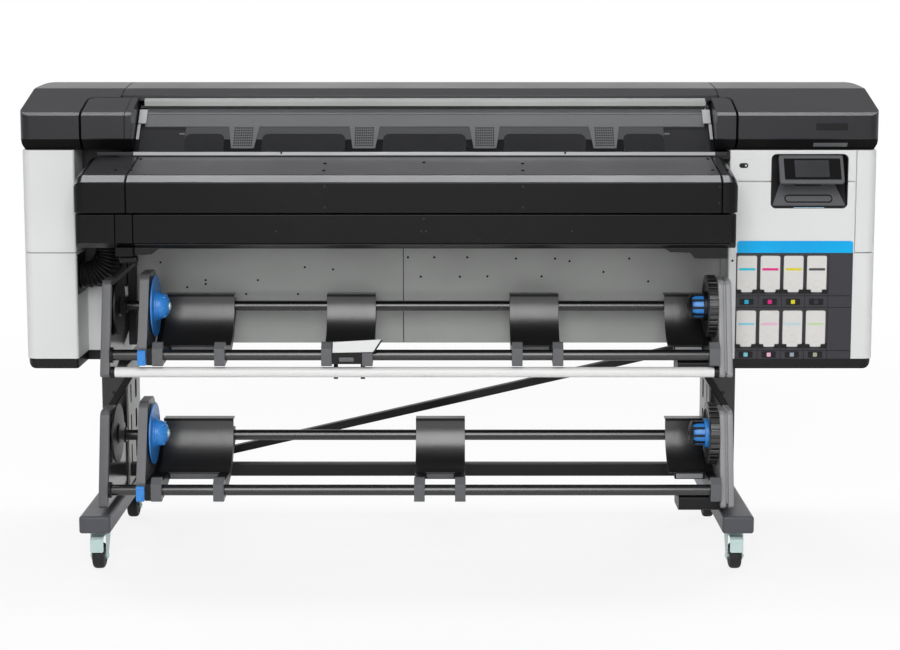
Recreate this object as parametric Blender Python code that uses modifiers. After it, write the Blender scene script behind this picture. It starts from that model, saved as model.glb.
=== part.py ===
"""Wide-format roll printer with a sheet cutter, on a wheeled stand with two roll stations.

Metres, +Z up, +X to the operator's right, the operator standing at -Y. The origin is on the floor
under the middle of the printer.
"""
import math

import bmesh
import bpy
from mathutils import Matrix, Vector

# Overall size, walls and fits
WIDTH = 2.584
DEPTH = 0.720
WALL = 0.003
SHEET = 0.002
TUBE_WALL = 0.003
EDGE_ROUND = 0.003
SMALL_EDGE_ROUND = 0.002
MERGE_DISTANCE = 0.00001
FIT = 0.0003
SLIDE_FIT = 0.0005
RUNNING_FIT = 0.0006

# Stand
CASTER_HEIGHT = 0.121
FOOT_WIDTH = 0.092
FOOT_HEIGHT = 0.052
FOOT_ROUND = 0.006
LEFT_LEG_LAP = 0.07595
RIGHT_LEG_LAP = 0.03455
COLUMN_WIDTH = 0.076
COLUMN_DEPTH = 0.220
COLUMN_SETBACK = 0.340
CROSSBAR_HEIGHT = 0.040
CROSSBAR_DEPTH = 0.030
CROSSBAR_RISE = 0.026
BRACE_SIZE = 0.025
BRACE_RISE = 0.002
BRACE_SEAT = 0.047

# Casters
WHEEL_DIAMETER = 0.076
WHEEL_WIDTH = 0.034
WHEEL_FACETS = 24
CASTER_INSET = 0.095
CASTER_TRAIL = 0.028
AXLE_RADIUS = 0.005
FORK_SHEET = 0.003
FORK_GAP = 0.003
SWIVEL_RADIUS = 0.024
SWIVEL_HEIGHT = 0.017
PEDAL_HEIGHT = 0.030

# End modules
BASE_HEIGHT_ABOVE_FLOOR = 0.553
BASE_TRIM = 0.030
BASE_INSET = 0.003
MODULE_HEIGHT = 0.668
MODULE_SETBACK = 0.300
LEFT_MODULE_WIDTH = 0.1603
POCKET_WIDTH = 0.1367
POCKET_SETBACK = 0.450
RIGHT_MODULE_WIDTH = 0.447
MODULE_CORNER = 0.022

# Ink bay and cartridges
BAY_MARGIN = 0.0245
BAY_WIDTH = 0.3535
BAY_HEIGHT = 0.325
BAY_DEPTH = 0.215
CARTRIDGE_WIDTH = 0.060
CARTRIDGE_HEIGHT = 0.112
CARTRIDGE_DEPTH = 0.200
CARTRIDGE_CUT = 0.016
CARTRIDGE_PITCH = 0.0706
CARTRIDGE_COLUMNS = 4
CARTRIDGE_LEFT = 0.0335
CARTRIDGE_ROWS_ABOVE_BASE = (0.235, 0.067)

# Control panel
TRAY_WIDTH = 0.2325
TRAY_LEFT = 0.125
TRAY_HEIGHT = 0.165
TRAY_BELOW_TOP = 0.012
TRAY_DEPTH = 0.055
TRAY_RAMP = 0.105
DISPLAY_WIDTH = 0.193
DISPLAY_LENGTH = 0.090
DISPLAY_THICKNESS = 0.014
DISPLAY_LEAN = math.radians(27)
DISPLAY_ARM = 0.0686
DISPLAY_ARM_RISE = 0.0306
DISPLAY_ARM_WIDTH = 0.070
BARREL_RADIUS = 0.0118
BUTTON_WIDTH = 0.027
BUTTON_HEIGHT = 0.014
BUTTON_X = 0.042
BUTTON_BELOW_TOP = 0.047
BUTTON_PROUD = 0.002
BUTTON_DEPTH = 0.006

# Top covers and window
COVER_SETBACK = 0.280
COVER_BEVEL_DEPTH = 0.030
COVER_BEVEL_HEIGHT = 0.036
COVER_FACE_TOP = 0.109
COVER_SLOPE_SETBACK = 0.500
COVER_SLOPE_TOP = 0.179
COVER_RIDGE_SETBACK = 0.620
COVER_TOP = 0.193
COVER_BACK_EDGE = 0.020
COVER_ROUND = 0.012
LEFT_CHEEK = 0.338
RIGHT_CHEEK = 0.490
TOP_COVER_SETBACK = 0.440
TOP_COVER_LIP = 0.022
WINDOW_SIDE_GAP = 0.003
WINDOW_SETBACK = 0.303
WINDOW_PANE = 0.004
WINDOW_BAR_HEIGHT = 0.024
WINDOW_BAR_DEPTH = 0.016
WINDOW_BAR_DROP = 0.0095

# Front covers
FRONT_COVER_LEFT = 0.202
FRONT_COVER_RIGHT = 0.455
FRONT_COVER_SETBACK = 0.065
FRONT_COVER_CHAMFER_DEPTH = 0.030
FRONT_COVER_CHAMFER_HEIGHT = 0.020
FRONT_COVER_FACE_HEIGHT = 0.088
FRONT_COVER_SLOPE = 0.039
FRONT_COVER_BELOW_PLATEN = 0.015
FRONT_COVER_ROUND = 0.018
FASCIA_SEAM = 0.005
FASCIA_HEIGHT = 0.082
FASCIA_LIP_DEPTH = 0.032
FASCIA_LIP_HEIGHT = 0.018
FASCIA_INSET = 0.004
FASCIA_ROUND = 0.010
MEDIA_SLOT = 0.050
MEDIA_SLOT_MARGIN = 0.030

# Print engine
PLATEN_BELOW_TOP = 0.0055
PLATEN_THICKNESS = 0.022
PLATEN_SETBACK = 0.295
BEAM_SETBACK = 0.520
BEAM_DEPTH = 0.080
BEAM_ABOVE_PLATEN = 0.085
BEAM_BELOW_PLATEN = 0.115
BEAM_WALL = 0.004
GUIDE_PROUD = 0.006
GUIDE_HEIGHT = 0.014
GUIDE_RISE = 0.045
CARRIAGE_LENGTH = 0.300
CARRIAGE_DEPTH = 0.144
CARRIAGE_HEIGHT = 0.074
CARRIAGE_NOSE = 0.034
CARRIAGE_PARK = 0.062
CARRIAGE_CLEARANCE = 0.0055
CUTTER_LENGTH = 0.062
CUTTER_DEPTH = 0.027
CUTTER_HEIGHT = 0.019
CUTTER_SETBACK = 0.338
CUTTER_PARK = 0.035
ROLLER_RADIUS = 0.0145
ROLLER_SETBACK = 0.455

# Sheet-metal pan behind the rolls
PAN_BOTTOM = 0.052
PAN_FRONT_HEIGHT = 0.498
PAN_FOLD_LOW = 0.055
PAN_FOLD_HIGH = 0.170
PAN_FOLD_DEPTH = 0.016

# Corrugated air hose
HOSE_RADIUS = 0.0425
HOSE_RIB = 0.0045
HOSE_BORE = 0.034
HOSE_BEND = 0.075
HOSE_STRAIGHT = 0.012
HOSE_RIBS = 16
HOSE_WALL_GAP = 0.0375
HOSE_BELOW_FASCIA = 0.115

# Roll stations
PLATE_LEFT = 0.033
PLATE_RIGHT = 0.0475
LEFT_PLATE_THICKNESS = 0.028
RIGHT_PLATE_THICKNESS = 0.040
PLATE_BACK_REACH = 0.030
UPPER_PLATE_FRONT_REACH = 0.055
UPPER_PLATE_RISE = 0.085
LOWER_PLATE_FRONT_REACH = 0.065
LOWER_PLATE_RISE = 0.080
PLATE_ROUND = 0.010
PLATE_TOP_ROUND = 0.030
PLATE_NOSE_ROUND = 0.022
RAIL_RADIUS = 0.016
RAIL_SIDES_LEVEL = 6
REAR_RAIL_BACK = 0.248
REAR_RAIL_RISE = 0.108
HUB_BACK = 0.100
ROLL_RADIUS = 0.125
CRADLE_WALL = 0.004
CRADLE_LIP = 0.036
CRADLE_WIDTH = 0.149
CRADLE_TOP = math.radians(4)
CRADLE_BOTTOM = math.radians(-82)
RIB_BED_END = math.radians(-78)
RIB_BELLY_START = math.radians(-75)
RIB_BELLY_END = math.radians(-35)
RIB_WIDTH = 0.030
RIB_RADIUS = 0.027
RIB_DEPTH = 0.026
HOLDER_OFFSET = 0.085
ARM_THICKNESS = 0.027
ARM_TOP = 0.105
ARM_BACK_REACH = 0.045
ARM_FRONT_REACH = 0.055
ARM_CHIN_REACH = 0.080
ARM_CHIN_RISE = 0.020
ARM_ROUND = 0.012
ARM_HOOK_ROUND = 0.016
ARM_TOP_ROUND = 0.030
HOLDER_CRADLE = 0.228
RIGHT_CRADLE = 0.136
FLANGE_RADIUS = 0.0915
FLANGE_DEPTH = 0.016
CORE_RADIUS = 0.039
CORE_LENGTH = 0.053
CORE_TIP = 0.005
CORE_BEVEL = 0.004
GEAR_RADIUS = 0.093
GEAR_WIDTH = 0.028
GEAR_TEETH = 28
GEAR_TOOTH = 0.006
LEVER_LENGTH = 0.046
LEVER_THICKNESS = 0.014
LEVER_WIDTH = 0.024
LOWER_RAIL_SETBACK = 0.055
LOWER_RAIL_RISE = 0.065
LOWER_HUB_RISE = 0.1474
UPPER_RAIL_SETBACK = 0.120
UPPER_RAIL_ABOVE_BASE = 0.075
UPPER_HUB_RISE = 0.1306
TENSION_BAR_RADIUS = 0.0153
TENSION_BAR_DROP = 0.0512
UPPER_SUPPORTS = (0.699, 1.259)
LOWER_SUPPORTS = (0.972,)

# Places worked out from the sizes above
FRONT = -DEPTH / 2
BACK = DEPTH / 2
LEFT = -WIDTH / 2
RIGHT = WIDTH / 2
FOOT_TOP = CASTER_HEIGHT + FOOT_HEIGHT
COLUMN_FRONT = FRONT + COLUMN_SETBACK
COLUMN_BACK = COLUMN_FRONT + COLUMN_DEPTH
BASE_Z = BASE_HEIGHT_ABOVE_FLOOR
SHELL_Z = BASE_Z + BASE_TRIM
MODULE_TOP = BASE_Z + MODULE_HEIGHT
MODULE_FRONT = FRONT + MODULE_SETBACK
LEFT_INNER = LEFT + LEFT_MODULE_WIDTH
POCKET_INNER = LEFT_INNER + POCKET_WIDTH
POCKET_FRONT = FRONT + POCKET_SETBACK
RIGHT_INNER = RIGHT - RIGHT_MODULE_WIDTH
LEFT_LEG_X = POCKET_INNER + COLUMN_WIDTH / 2 - LEFT_LEG_LAP
RIGHT_LEG_X = RIGHT_INNER - COLUMN_WIDTH / 2 + RIGHT_LEG_LAP
PLATEN_TOP = MODULE_TOP - PLATEN_BELOW_TOP
PLATEN_FRONT = FRONT + PLATEN_SETBACK
BEAM_FRONT = FRONT + BEAM_SETBACK
LEFT_CHEEK_X = LEFT + LEFT_CHEEK
RIGHT_CHEEK_X = RIGHT - RIGHT_CHEEK
PLATE_LEFT_X = LEFT_LEG_X + PLATE_LEFT
PLATE_RIGHT_X = RIGHT_LEG_X - PLATE_RIGHT

# Finishes: base colour, roughness, metallic
FINISHES = {
    "white_panel": ((0.73, 0.74, 0.75), 0.45, 0.0),
    "dark_cover": ((0.045, 0.047, 0.052), 0.42, 0.0),
    "black_plastic": ((0.012, 0.012, 0.013), 0.40, 0.0),
    "grey_plastic": ((0.075, 0.076, 0.082), 0.50, 0.0),
    "stand_paint": ((0.060, 0.062, 0.068), 0.45, 0.3),
    "black_paint": ((0.014, 0.014, 0.015), 0.42, 0.2),
    "sheet_metal": ((0.34, 0.34, 0.34), 0.45, 0.7),
    "aluminium": ((0.62, 0.62, 0.62), 0.30, 1.0),
    "zinc": ((0.45, 0.48, 0.48), 0.35, 1.0),
    "rubber": ((0.020, 0.020, 0.021), 0.70, 0.0),
    "blue_plastic": ((0.026, 0.205, 0.610), 0.38, 0.0),
    "cartridge_plastic": ((0.74, 0.73, 0.71), 0.48, 0.0),
    "smoked_glass": ((0.090, 0.095, 0.100), 0.08, 0.0),
    "bar_white": ((0.85, 0.85, 0.84), 0.35, 0.0),
}


def clear_scene():
    """Remove every object that the file opens with."""
    for item in list(bpy.data.objects):
        bpy.data.objects.remove(item, do_unlink=True)


def new_collection(name):
    """A collection under the scene's own."""
    made = bpy.data.collections.new(name)
    bpy.context.scene.collection.children.link(made)
    return made


def finish(name):
    """The Principled material of that name, made on first use."""
    found = bpy.data.materials.get(name)
    if found:
        return found
    colour, roughness, metallic = FINISHES[name]
    made = bpy.data.materials.new(name)
    made.use_nodes = True
    shader = made.node_tree.nodes["Principled BSDF"]
    shader.inputs["Base Color"].default_value = (*colour, 1.0)
    shader.inputs["Roughness"].default_value = roughness
    shader.inputs["Metallic"].default_value = metallic
    return made


def add_object(name, mesh, finish_name=None):
    """A sub-part with its material, or a wire guide when no finish is given."""
    made = bpy.data.objects.new(name, mesh)
    if finish_name:
        PARTS.objects.link(made)
        mesh.materials.append(finish(finish_name))
    else:
        CUTTERS.objects.link(made)
        made.hide_render = True
        made.display_type = "WIRE"
    return made


def place(axis, u, v, along):
    """The point at outline place (u, v), at a distance along the outline's own axis."""
    if axis == "X":
        return Vector((along, u, v))
    if axis == "Y":
        return Vector((u, along, v))
    return Vector((u, v, along))


def fillet(points, radii, steps=4):
    """An outline with its corners rounded: one radius for all, or one for each corner."""
    corners = [Vector(point) for point in points]
    count = len(corners)
    if not isinstance(radii, (list, tuple)):
        radii = [radii] * count
    rounded = []
    for index, corner in enumerate(corners):
        before = (corners[index - 1] - corner).normalized()
        after = (corners[(index + 1) % count] - corner).normalized()
        half = before.angle(after) / 2
        if radii[index] <= 0 or half > math.radians(88):
            rounded.append(tuple(corner))
            continue
        reach = radii[index] / math.tan(half)
        centre = corner + (before + after).normalized() * radii[index] / math.sin(half)
        start = corner + before * reach - centre
        turn = start.angle_signed(corner + after * reach - centre)
        for step in range(steps + 1):
            spin = Matrix.Rotation(-turn * step / steps, 2)
            rounded.append(tuple(centre + spin @ start))
    return rounded


def arc(centre, radius, first, last, steps):
    """Points of an arc, angles in radians from the outline's first axis."""
    angles = [first + (last - first) * step / steps for step in range(steps + 1)]
    return [(centre[0] + radius * math.cos(a), centre[1] + radius * math.sin(a)) for a in angles]


def prism_mesh(name, outline, axis, start, end, open_sides=(), open_ends=()):
    """A mesh extruded from an outline, less the sides and ends that stay open."""
    shape = bmesh.new()
    ring = [shape.verts.new(place(axis, u, v, start)) for u, v in outline]
    first = shape.faces.new(ring)
    made = bmesh.ops.extrude_face_region(shape, geom=[first])
    moved = [item for item in made["geom"] if isinstance(item, bmesh.types.BMVert)]
    last = next(item for item in made["geom"] if isinstance(item, bmesh.types.BMFace))
    bmesh.ops.translate(shape, verts=moved, vec=place(axis, 0, 0, end - start))
    bmesh.ops.recalc_face_normals(shape, faces=shape.faces[:])
    gone = [first] if "start" in open_ends else []
    gone += [last] if "end" in open_ends else []
    for index in open_sides:
        edge = shape.edges.get((ring[index], ring[(index + 1) % len(ring)]))
        gone += [face for face in edge.link_faces if face not in (first, last)]
    if gone:
        bmesh.ops.delete(shape, geom=gone, context="FACES")
    mesh = bpy.data.meshes.new(name)
    shape.to_mesh(mesh)
    shape.free()
    return mesh


def round_edges(item, width, segments=2, angle=35):
    """Bevel an object's sharp edges."""
    bevel = item.modifiers.new("round_edges", "BEVEL")
    bevel.width = width
    bevel.segments = segments
    bevel.limit_method = "ANGLE"
    bevel.angle_limit = math.radians(angle)
    return item


def thicken(item, wall):
    """Give an open surface its wall, inwards."""
    solid = item.modifiers.new("wall", "SOLIDIFY")
    solid.thickness = wall
    solid.offset = -1.0
    solid.solidify_mode = "NON_MANIFOLD"
    solid.nonmanifold_thickness_mode = "CONSTRAINTS"
    return item


def prism(name, finish_name, outline, axis, start, end, bevel=0.0):
    """A solid extruded from an outline along X, Y or Z."""
    made = add_object(name, prism_mesh(name, outline, axis, start, end), finish_name)
    return round_edges(made, bevel) if bevel else made


def shell(name, finish_name, outline, axis, start, end, wall, open_sides=(), open_ends=(), rounding=0.0):
    """A thin-walled cover extruded from its outer outline."""
    mesh = prism_mesh(name, outline, axis, start, end, open_sides, open_ends)
    made = add_object(name, mesh, finish_name)
    if rounding:
        round_edges(made, rounding, segments=3, angle=25)
    return thicken(made, wall)


def box(name, finish_name, low, high, bevel=0.0):
    """A block between two corners."""
    shape = bmesh.new()
    size = Vector(high) - Vector(low)
    centre = (Vector(high) + Vector(low)) / 2
    bmesh.ops.create_cube(shape, size=1.0, matrix=Matrix.Translation(centre) @ Matrix.Diagonal((*size, 1)))
    mesh = bpy.data.meshes.new(name)
    shape.to_mesh(mesh)
    shape.free()
    made = add_object(name, mesh, finish_name)
    return round_edges(made, bevel) if bevel else made


def cylinder(name, finish_name, axis, centre, radius, start, end, facets=24):
    """A round bar along X or Z between two places on its axis."""
    turn = Matrix.Rotation(math.radians(90), 4, "Y") if axis == "X" else Matrix.Identity(4)
    middle = place(axis, *centre, (start + end) / 2)
    shape = bmesh.new()
    bmesh.ops.create_cone(
        shape,
        cap_ends=True,
        segments=facets,
        radius1=radius,
        radius2=radius,
        depth=abs(end - start),
        matrix=Matrix.Translation(middle) @ turn,
    )
    mesh = bpy.data.meshes.new(name)
    shape.to_mesh(mesh)
    shape.free()
    mesh.shade_smooth()
    mesh.set_sharp_from_angle(angle=math.radians(40))
    return add_object(name, mesh, finish_name)


def turned(name, finish_name, profile, centre, steps=32, closed=False, phase=0.0):
    """A shape turned about a line along X, from (place on the axis, radius) points."""
    shape = bmesh.new()
    spin = Matrix.Rotation(phase, 3, "X")
    points = [shape.verts.new(spin @ Vector((along, 0, radius))) for along, radius in profile]
    pairs = list(zip(points, points[1:]))
    if closed:
        pairs.append((points[-1], points[0]))
    for pair in pairs:
        shape.edges.new(pair)
    mesh = bpy.data.meshes.new(name)
    shape.to_mesh(mesh)
    shape.free()
    made = add_object(name, mesh, finish_name)
    made.location = (0, *centre)
    screw = made.modifiers.new("turn", "SCREW")
    screw.axis = "X"
    screw.steps = steps
    screw.render_steps = steps
    screw.use_merge_vertices = True
    screw.merge_threshold = MERGE_DISTANCE
    screw.use_normal_calculate = True
    return made


def rail(name, finish_name, centre, radius, start, end):
    """A straight round rail along X: a curve with a bevel and filled caps."""
    curve = bpy.data.curves.new(name, "CURVE")
    curve.dimensions = "3D"
    curve.bevel_depth = radius
    curve.bevel_resolution = RAIL_SIDES_LEVEL
    curve.use_fill_caps = True
    line = curve.splines.new("POLY")
    line.points.add(1)
    line.points[0].co = (start, *centre, 1)
    line.points[1].co = (end, *centre, 1)
    made = bpy.data.objects.new(name, curve)
    curve.materials.append(finish(finish_name))
    PARTS.objects.link(made)
    return made


def combine(item, operation, *others):
    """Join guides to an object, or cut them out of it."""
    for other in others:
        step = item.modifiers.new(operation.lower(), "BOOLEAN")
        step.operation = operation
        step.solver = "EXACT"
        step.object = other
    return item


def pivot_at(item, point):
    """Put a moving piece's origin on its joint without moving its shape."""
    item.data.transform(Matrix.Translation(item.location - Vector(point)))
    item.location = point
    return item


def build_leg(side, leg_x):
    """A foot tube with its column, welded together."""
    foot_outline = fillet(
        [
            (leg_x - FOOT_WIDTH / 2, CASTER_HEIGHT),
            (leg_x + FOOT_WIDTH / 2, CASTER_HEIGHT),
            (leg_x + FOOT_WIDTH / 2, FOOT_TOP),
            (leg_x - FOOT_WIDTH / 2, FOOT_TOP),
        ],
        FOOT_ROUND,
        steps=2,
    )
    leg = shell(
        f"{side}_leg", "stand_paint", foot_outline, "Y", FRONT, BACK, TUBE_WALL, open_ends=("end",)
    )
    column_outline = [
        (leg_x - COLUMN_WIDTH / 2, COLUMN_FRONT),
        (leg_x + COLUMN_WIDTH / 2, COLUMN_FRONT),
        (leg_x + COLUMN_WIDTH / 2, COLUMN_BACK),
        (leg_x - COLUMN_WIDTH / 2, COLUMN_BACK),
    ]
    bottom = FOOT_TOP - TUBE_WALL / 2
    column = shell(
        f"{side}_column", None, column_outline, "Z", bottom, BASE_Z - FIT, TUBE_WALL,
        open_ends=("start", "end"),
    )
    return combine(leg, "UNION", column)


def build_stand():
    """Both legs, the crossbar between them and the diagonal brace that rises to the pan's floor."""
    build_leg("left", LEFT_LEG_X)
    build_leg("right", RIGHT_LEG_X)
    left = LEFT_LEG_X + COLUMN_WIDTH / 2 + FIT
    right = RIGHT_LEG_X - COLUMN_WIDTH / 2 - FIT
    bar_front = COLUMN_FRONT + CROSSBAR_DEPTH
    bar_low = FOOT_TOP + CROSSBAR_RISE
    box(
        "stand_crossbar",
        "black_paint",
        (left, bar_front, bar_low),
        (right, bar_front + CROSSBAR_DEPTH, bar_low + CROSSBAR_HEIGHT),
        EDGE_ROUND,
    )
    brace_front = POCKET_FRONT + PAN_FOLD_DEPTH
    low = FOOT_TOP + BRACE_RISE
    high = BASE_Z + PAN_BOTTOM - FIT
    seat = right - BRACE_SEAT
    slope = (high - low - BRACE_SIZE) / (seat - left)
    foot_end = low + slope * (right - left)
    brace = [(left, low), (left, low + BRACE_SIZE), (seat, high), (right, high), (right, foot_end)]
    brace_back = brace_front + BRACE_SIZE
    prism("diagonal_brace", "black_paint", brace, "Y", brace_front, brace_back, SMALL_EDGE_ROUND)


def build_caster(name, leg_x, swivel_y, braked):
    """A fork that swivels under the foot and the wheel that rolls in it."""
    wheel_y = swivel_y - CASTER_TRAIL
    axle_z = WHEEL_DIAMETER / 2 * math.cos(math.pi / WHEEL_FACETS)
    top = CASTER_HEIGHT - FIT
    crown_low = axle_z + WHEEL_DIAMETER / 2 + FORK_GAP
    crown_high = top - SWIVEL_HEIGHT + FORK_SHEET
    half = WHEEL_WIDTH / 2 + FORK_GAP + FORK_SHEET
    crown_front = wheel_y - AXLE_RADIUS * 3
    crown_back = swivel_y + SWIVEL_RADIUS + FORK_SHEET
    inside = half - FORK_SHEET / 2
    fork = box(
        f"{name}_fork",
        "zinc",
        (leg_x - inside, crown_front, crown_low),
        (leg_x + inside, crown_back, crown_high),
    )
    head = cylinder(
        f"{name}_head", None, "Z", (leg_x, swivel_y), SWIVEL_RADIUS, top - SWIVEL_HEIGHT, top
    )
    joined = [head]
    ear = AXLE_RADIUS * 2.4
    cheek = [
        (crown_front + FORK_SHEET / 2, crown_high - FORK_SHEET * 1.5),
        (wheel_y - ear, axle_z),
        (wheel_y - ear / 2, axle_z - ear),
        (wheel_y + ear / 2, axle_z - ear),
        (wheel_y + ear, axle_z),
        (crown_back - FORK_SHEET, crown_high - FORK_SHEET * 1.5),
    ]
    for label, edge in (("left", -half), ("right", half - FORK_SHEET)):
        start = leg_x + edge
        joined.append(prism(f"{name}_{label}_cheek", None, cheek, "X", start, start + FORK_SHEET))
    axle = (wheel_y, axle_z)
    joined.append(cylinder(f"{name}_axle", None, "X", axle, AXLE_RADIUS, leg_x - inside, leg_x + inside, 16))
    if braked:
        face = wheel_y - WHEEL_DIAMETER / 2 - FORK_GAP
        pedal = [
            (crown_front + FORK_SHEET * 2, crown_high - FORK_SHEET * 2),
            (face, crown_high - FORK_SHEET * 2.5),
            (face - FORK_SHEET, crown_high - PEDAL_HEIGHT),
            (face, crown_high - PEDAL_HEIGHT),
            (face + FORK_SHEET, crown_low + FORK_SHEET),
            (crown_front + FORK_SHEET * 2, crown_low + FORK_SHEET * 1.5),
        ]
        pedal_half = WHEEL_WIDTH / 2
        joined.append(prism(f"{name}_pedal", None, pedal, "X", leg_x - pedal_half, leg_x + pedal_half))
    combine(fork, "UNION", *joined)
    pivot_at(fork, (leg_x, swivel_y, top))
    half = WHEEL_WIDTH / 2
    radius = WHEEL_DIAMETER / 2
    bore = AXLE_RADIUS + RUNNING_FIT
    profile = [
        (-half, bore),
        (-half, radius * 0.74),
        (-half * 0.74, radius * 0.93),
        (-half * 0.45, radius),
        (half * 0.45, radius),
        (half * 0.74, radius * 0.93),
        (half, radius * 0.74),
        (half, bore),
    ]
    wheel = turned(
        f"{name}_wheel", "rubber", profile, axle, WHEEL_FACETS, closed=True, phase=math.pi / WHEEL_FACETS
    )
    wheel.location.x = leg_x


def left_plan(inset=0.0):
    """Plan outline of the left module, with the pocket that the air hose stands in."""
    points = [
        (LEFT + inset, BACK - inset),
        (LEFT + inset, MODULE_FRONT + inset),
        (LEFT_INNER - inset, MODULE_FRONT + inset),
        (LEFT_INNER - inset, POCKET_FRONT + inset),
        (POCKET_INNER - inset, POCKET_FRONT + inset),
        (POCKET_INNER - inset, BACK - inset),
    ]
    return fillet(points, [0.0, MODULE_CORNER, WALL * 2, 0.0, 0.0, 0.0])


def right_plan(inset=0.0):
    """Plan outline of the right module."""
    points = [
        (RIGHT_INNER + inset, BACK - inset),
        (RIGHT_INNER + inset, MODULE_FRONT + inset),
        (RIGHT - inset, MODULE_FRONT + inset),
        (RIGHT - inset, BACK - inset),
    ]
    return fillet(points, [0.0, WALL * 2, MODULE_CORNER, 0.0])


def stadium(centre, width, height, steps=5):
    """A flat outline with round ends."""
    reach = (width - height) / 2
    right_end = arc((centre[0] + reach, centre[1]), height / 2, -math.pi / 2, math.pi / 2, steps)
    left_end = arc((centre[0] - reach, centre[1]), height / 2, math.pi / 2, math.pi * 1.5, steps)
    return right_end + left_end


def bay_box():
    """The ink bay's left, right, low and high edges on the module's front."""
    left = RIGHT_INNER + BAY_MARGIN
    low = SHELL_Z + FIT
    return left, left + BAY_WIDTH, low, low + BAY_HEIGHT


def tray_box():
    """The display recess's left, right, low and high edges on the module's front."""
    left = RIGHT_INNER + TRAY_LEFT
    high = MODULE_TOP - TRAY_BELOW_TOP
    return left, left + TRAY_WIDTH, high - TRAY_HEIGHT, high


def build_modules():
    """The two end modules: painted shells standing on dark base trays."""
    shell(
        "left_module_shell", "white_panel", left_plan(), "Z", SHELL_Z, MODULE_TOP, WALL, open_ends=("start",)
    )
    trim = dict(axis="Z", start=BASE_Z, end=SHELL_Z - FIT, wall=WALL, open_ends=("end",))
    shell("left_module_base", "black_plastic", left_plan(BASE_INSET), **trim)
    shell("right_module_base", "black_plastic", right_plan(BASE_INSET), **trim)
    right = shell(
        "right_module_shell", "white_panel", right_plan(), "Z", SHELL_Z, MODULE_TOP, WALL,
        open_ends=("start",),
    )
    outside = MODULE_FRONT - WALL
    inside = MODULE_FRONT + WALL * 2
    left, far, low, high = bay_box()
    bay_cut = box(
        "bay_cut", None, (left - FIT, outside, low - WALL), (far + FIT, inside, high + FIT)
    )
    left, far, low, high = tray_box()
    tray_cut = box(
        "tray_cut", None, (left - FIT, outside, low - FIT), (far + FIT, inside, high + FIT)
    )
    button_cut = prism(
        "button_cut", None, button_outline(SLIDE_FIT), "Y", outside, inside
    )
    combine(right, "DIFFERENCE", bay_cut, tray_cut, button_cut)


def cartridge_outline(column, row, grow=0.0):
    """Front outline of one ink cartridge: its lower corners are cut off."""
    bay_left, _, _, _ = bay_box()
    x = bay_left + CARTRIDGE_LEFT + column * CARTRIDGE_PITCH
    half = CARTRIDGE_WIDTH / 2 + grow
    low = BASE_Z + CARTRIDGE_ROWS_ABOVE_BASE[row] - grow
    high = low + CARTRIDGE_HEIGHT + 2 * grow
    return [
        (x - half, high),
        (x - half, low + CARTRIDGE_CUT),
        (x - half + CARTRIDGE_CUT, low),
        (x + half - CARTRIDGE_CUT, low),
        (x + half, low + CARTRIDGE_CUT),
        (x + half, high),
    ]


def build_ink_bay():
    """The bay block with one slot for each cartridge, and the cartridges."""
    left, far, low, high = bay_box()
    front = MODULE_FRONT + FIT
    bay = box("cartridge_bay", "grey_plastic", (left, front, low), (far, front + BAY_DEPTH, high))
    cuts = []
    for row in range(len(CARTRIDGE_ROWS_ABOVE_BASE)):
        for column in range(CARTRIDGE_COLUMNS):
            number = row * CARTRIDGE_COLUMNS + column + 1
            hollow = cartridge_outline(column, row, SLIDE_FIT)
            back = front + CARTRIDGE_DEPTH + FIT
            cuts.append(prism(f"slot_cut_{number}", None, hollow, "Y", front - WALL, back))
            body = cartridge_outline(column, row)
            cartridge = prism(
                f"ink_cartridge_{number}", "cartridge_plastic", body, "Y", front, front + CARTRIDGE_DEPTH
            )
            pivot_at(cartridge, (*body[0][:1], front, body[0][1]))
    combine(bay, "DIFFERENCE", *cuts)


def button_outline(grow=0.0):
    """Front outline of the power button."""
    centre = (RIGHT_INNER + BUTTON_X, MODULE_TOP - BUTTON_BELOW_TOP)
    return stadium(centre, BUTTON_WIDTH + 2 * grow, BUTTON_HEIGHT + 2 * grow)


def display_pivot():
    """Where the display's hinge barrel lies, just clear of the recess's ramp."""
    _, _, low, _ = tray_box()
    ramp = Vector((TRAY_DEPTH, TRAY_RAMP)).normalized()
    out = Vector((-ramp.y, ramp.x))
    foot = Vector((MODULE_FRONT + FIT, low)) + ramp * TRAY_RAMP * 0.78
    return foot + out * (BARREL_RADIUS + FIT + WALL)


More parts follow.
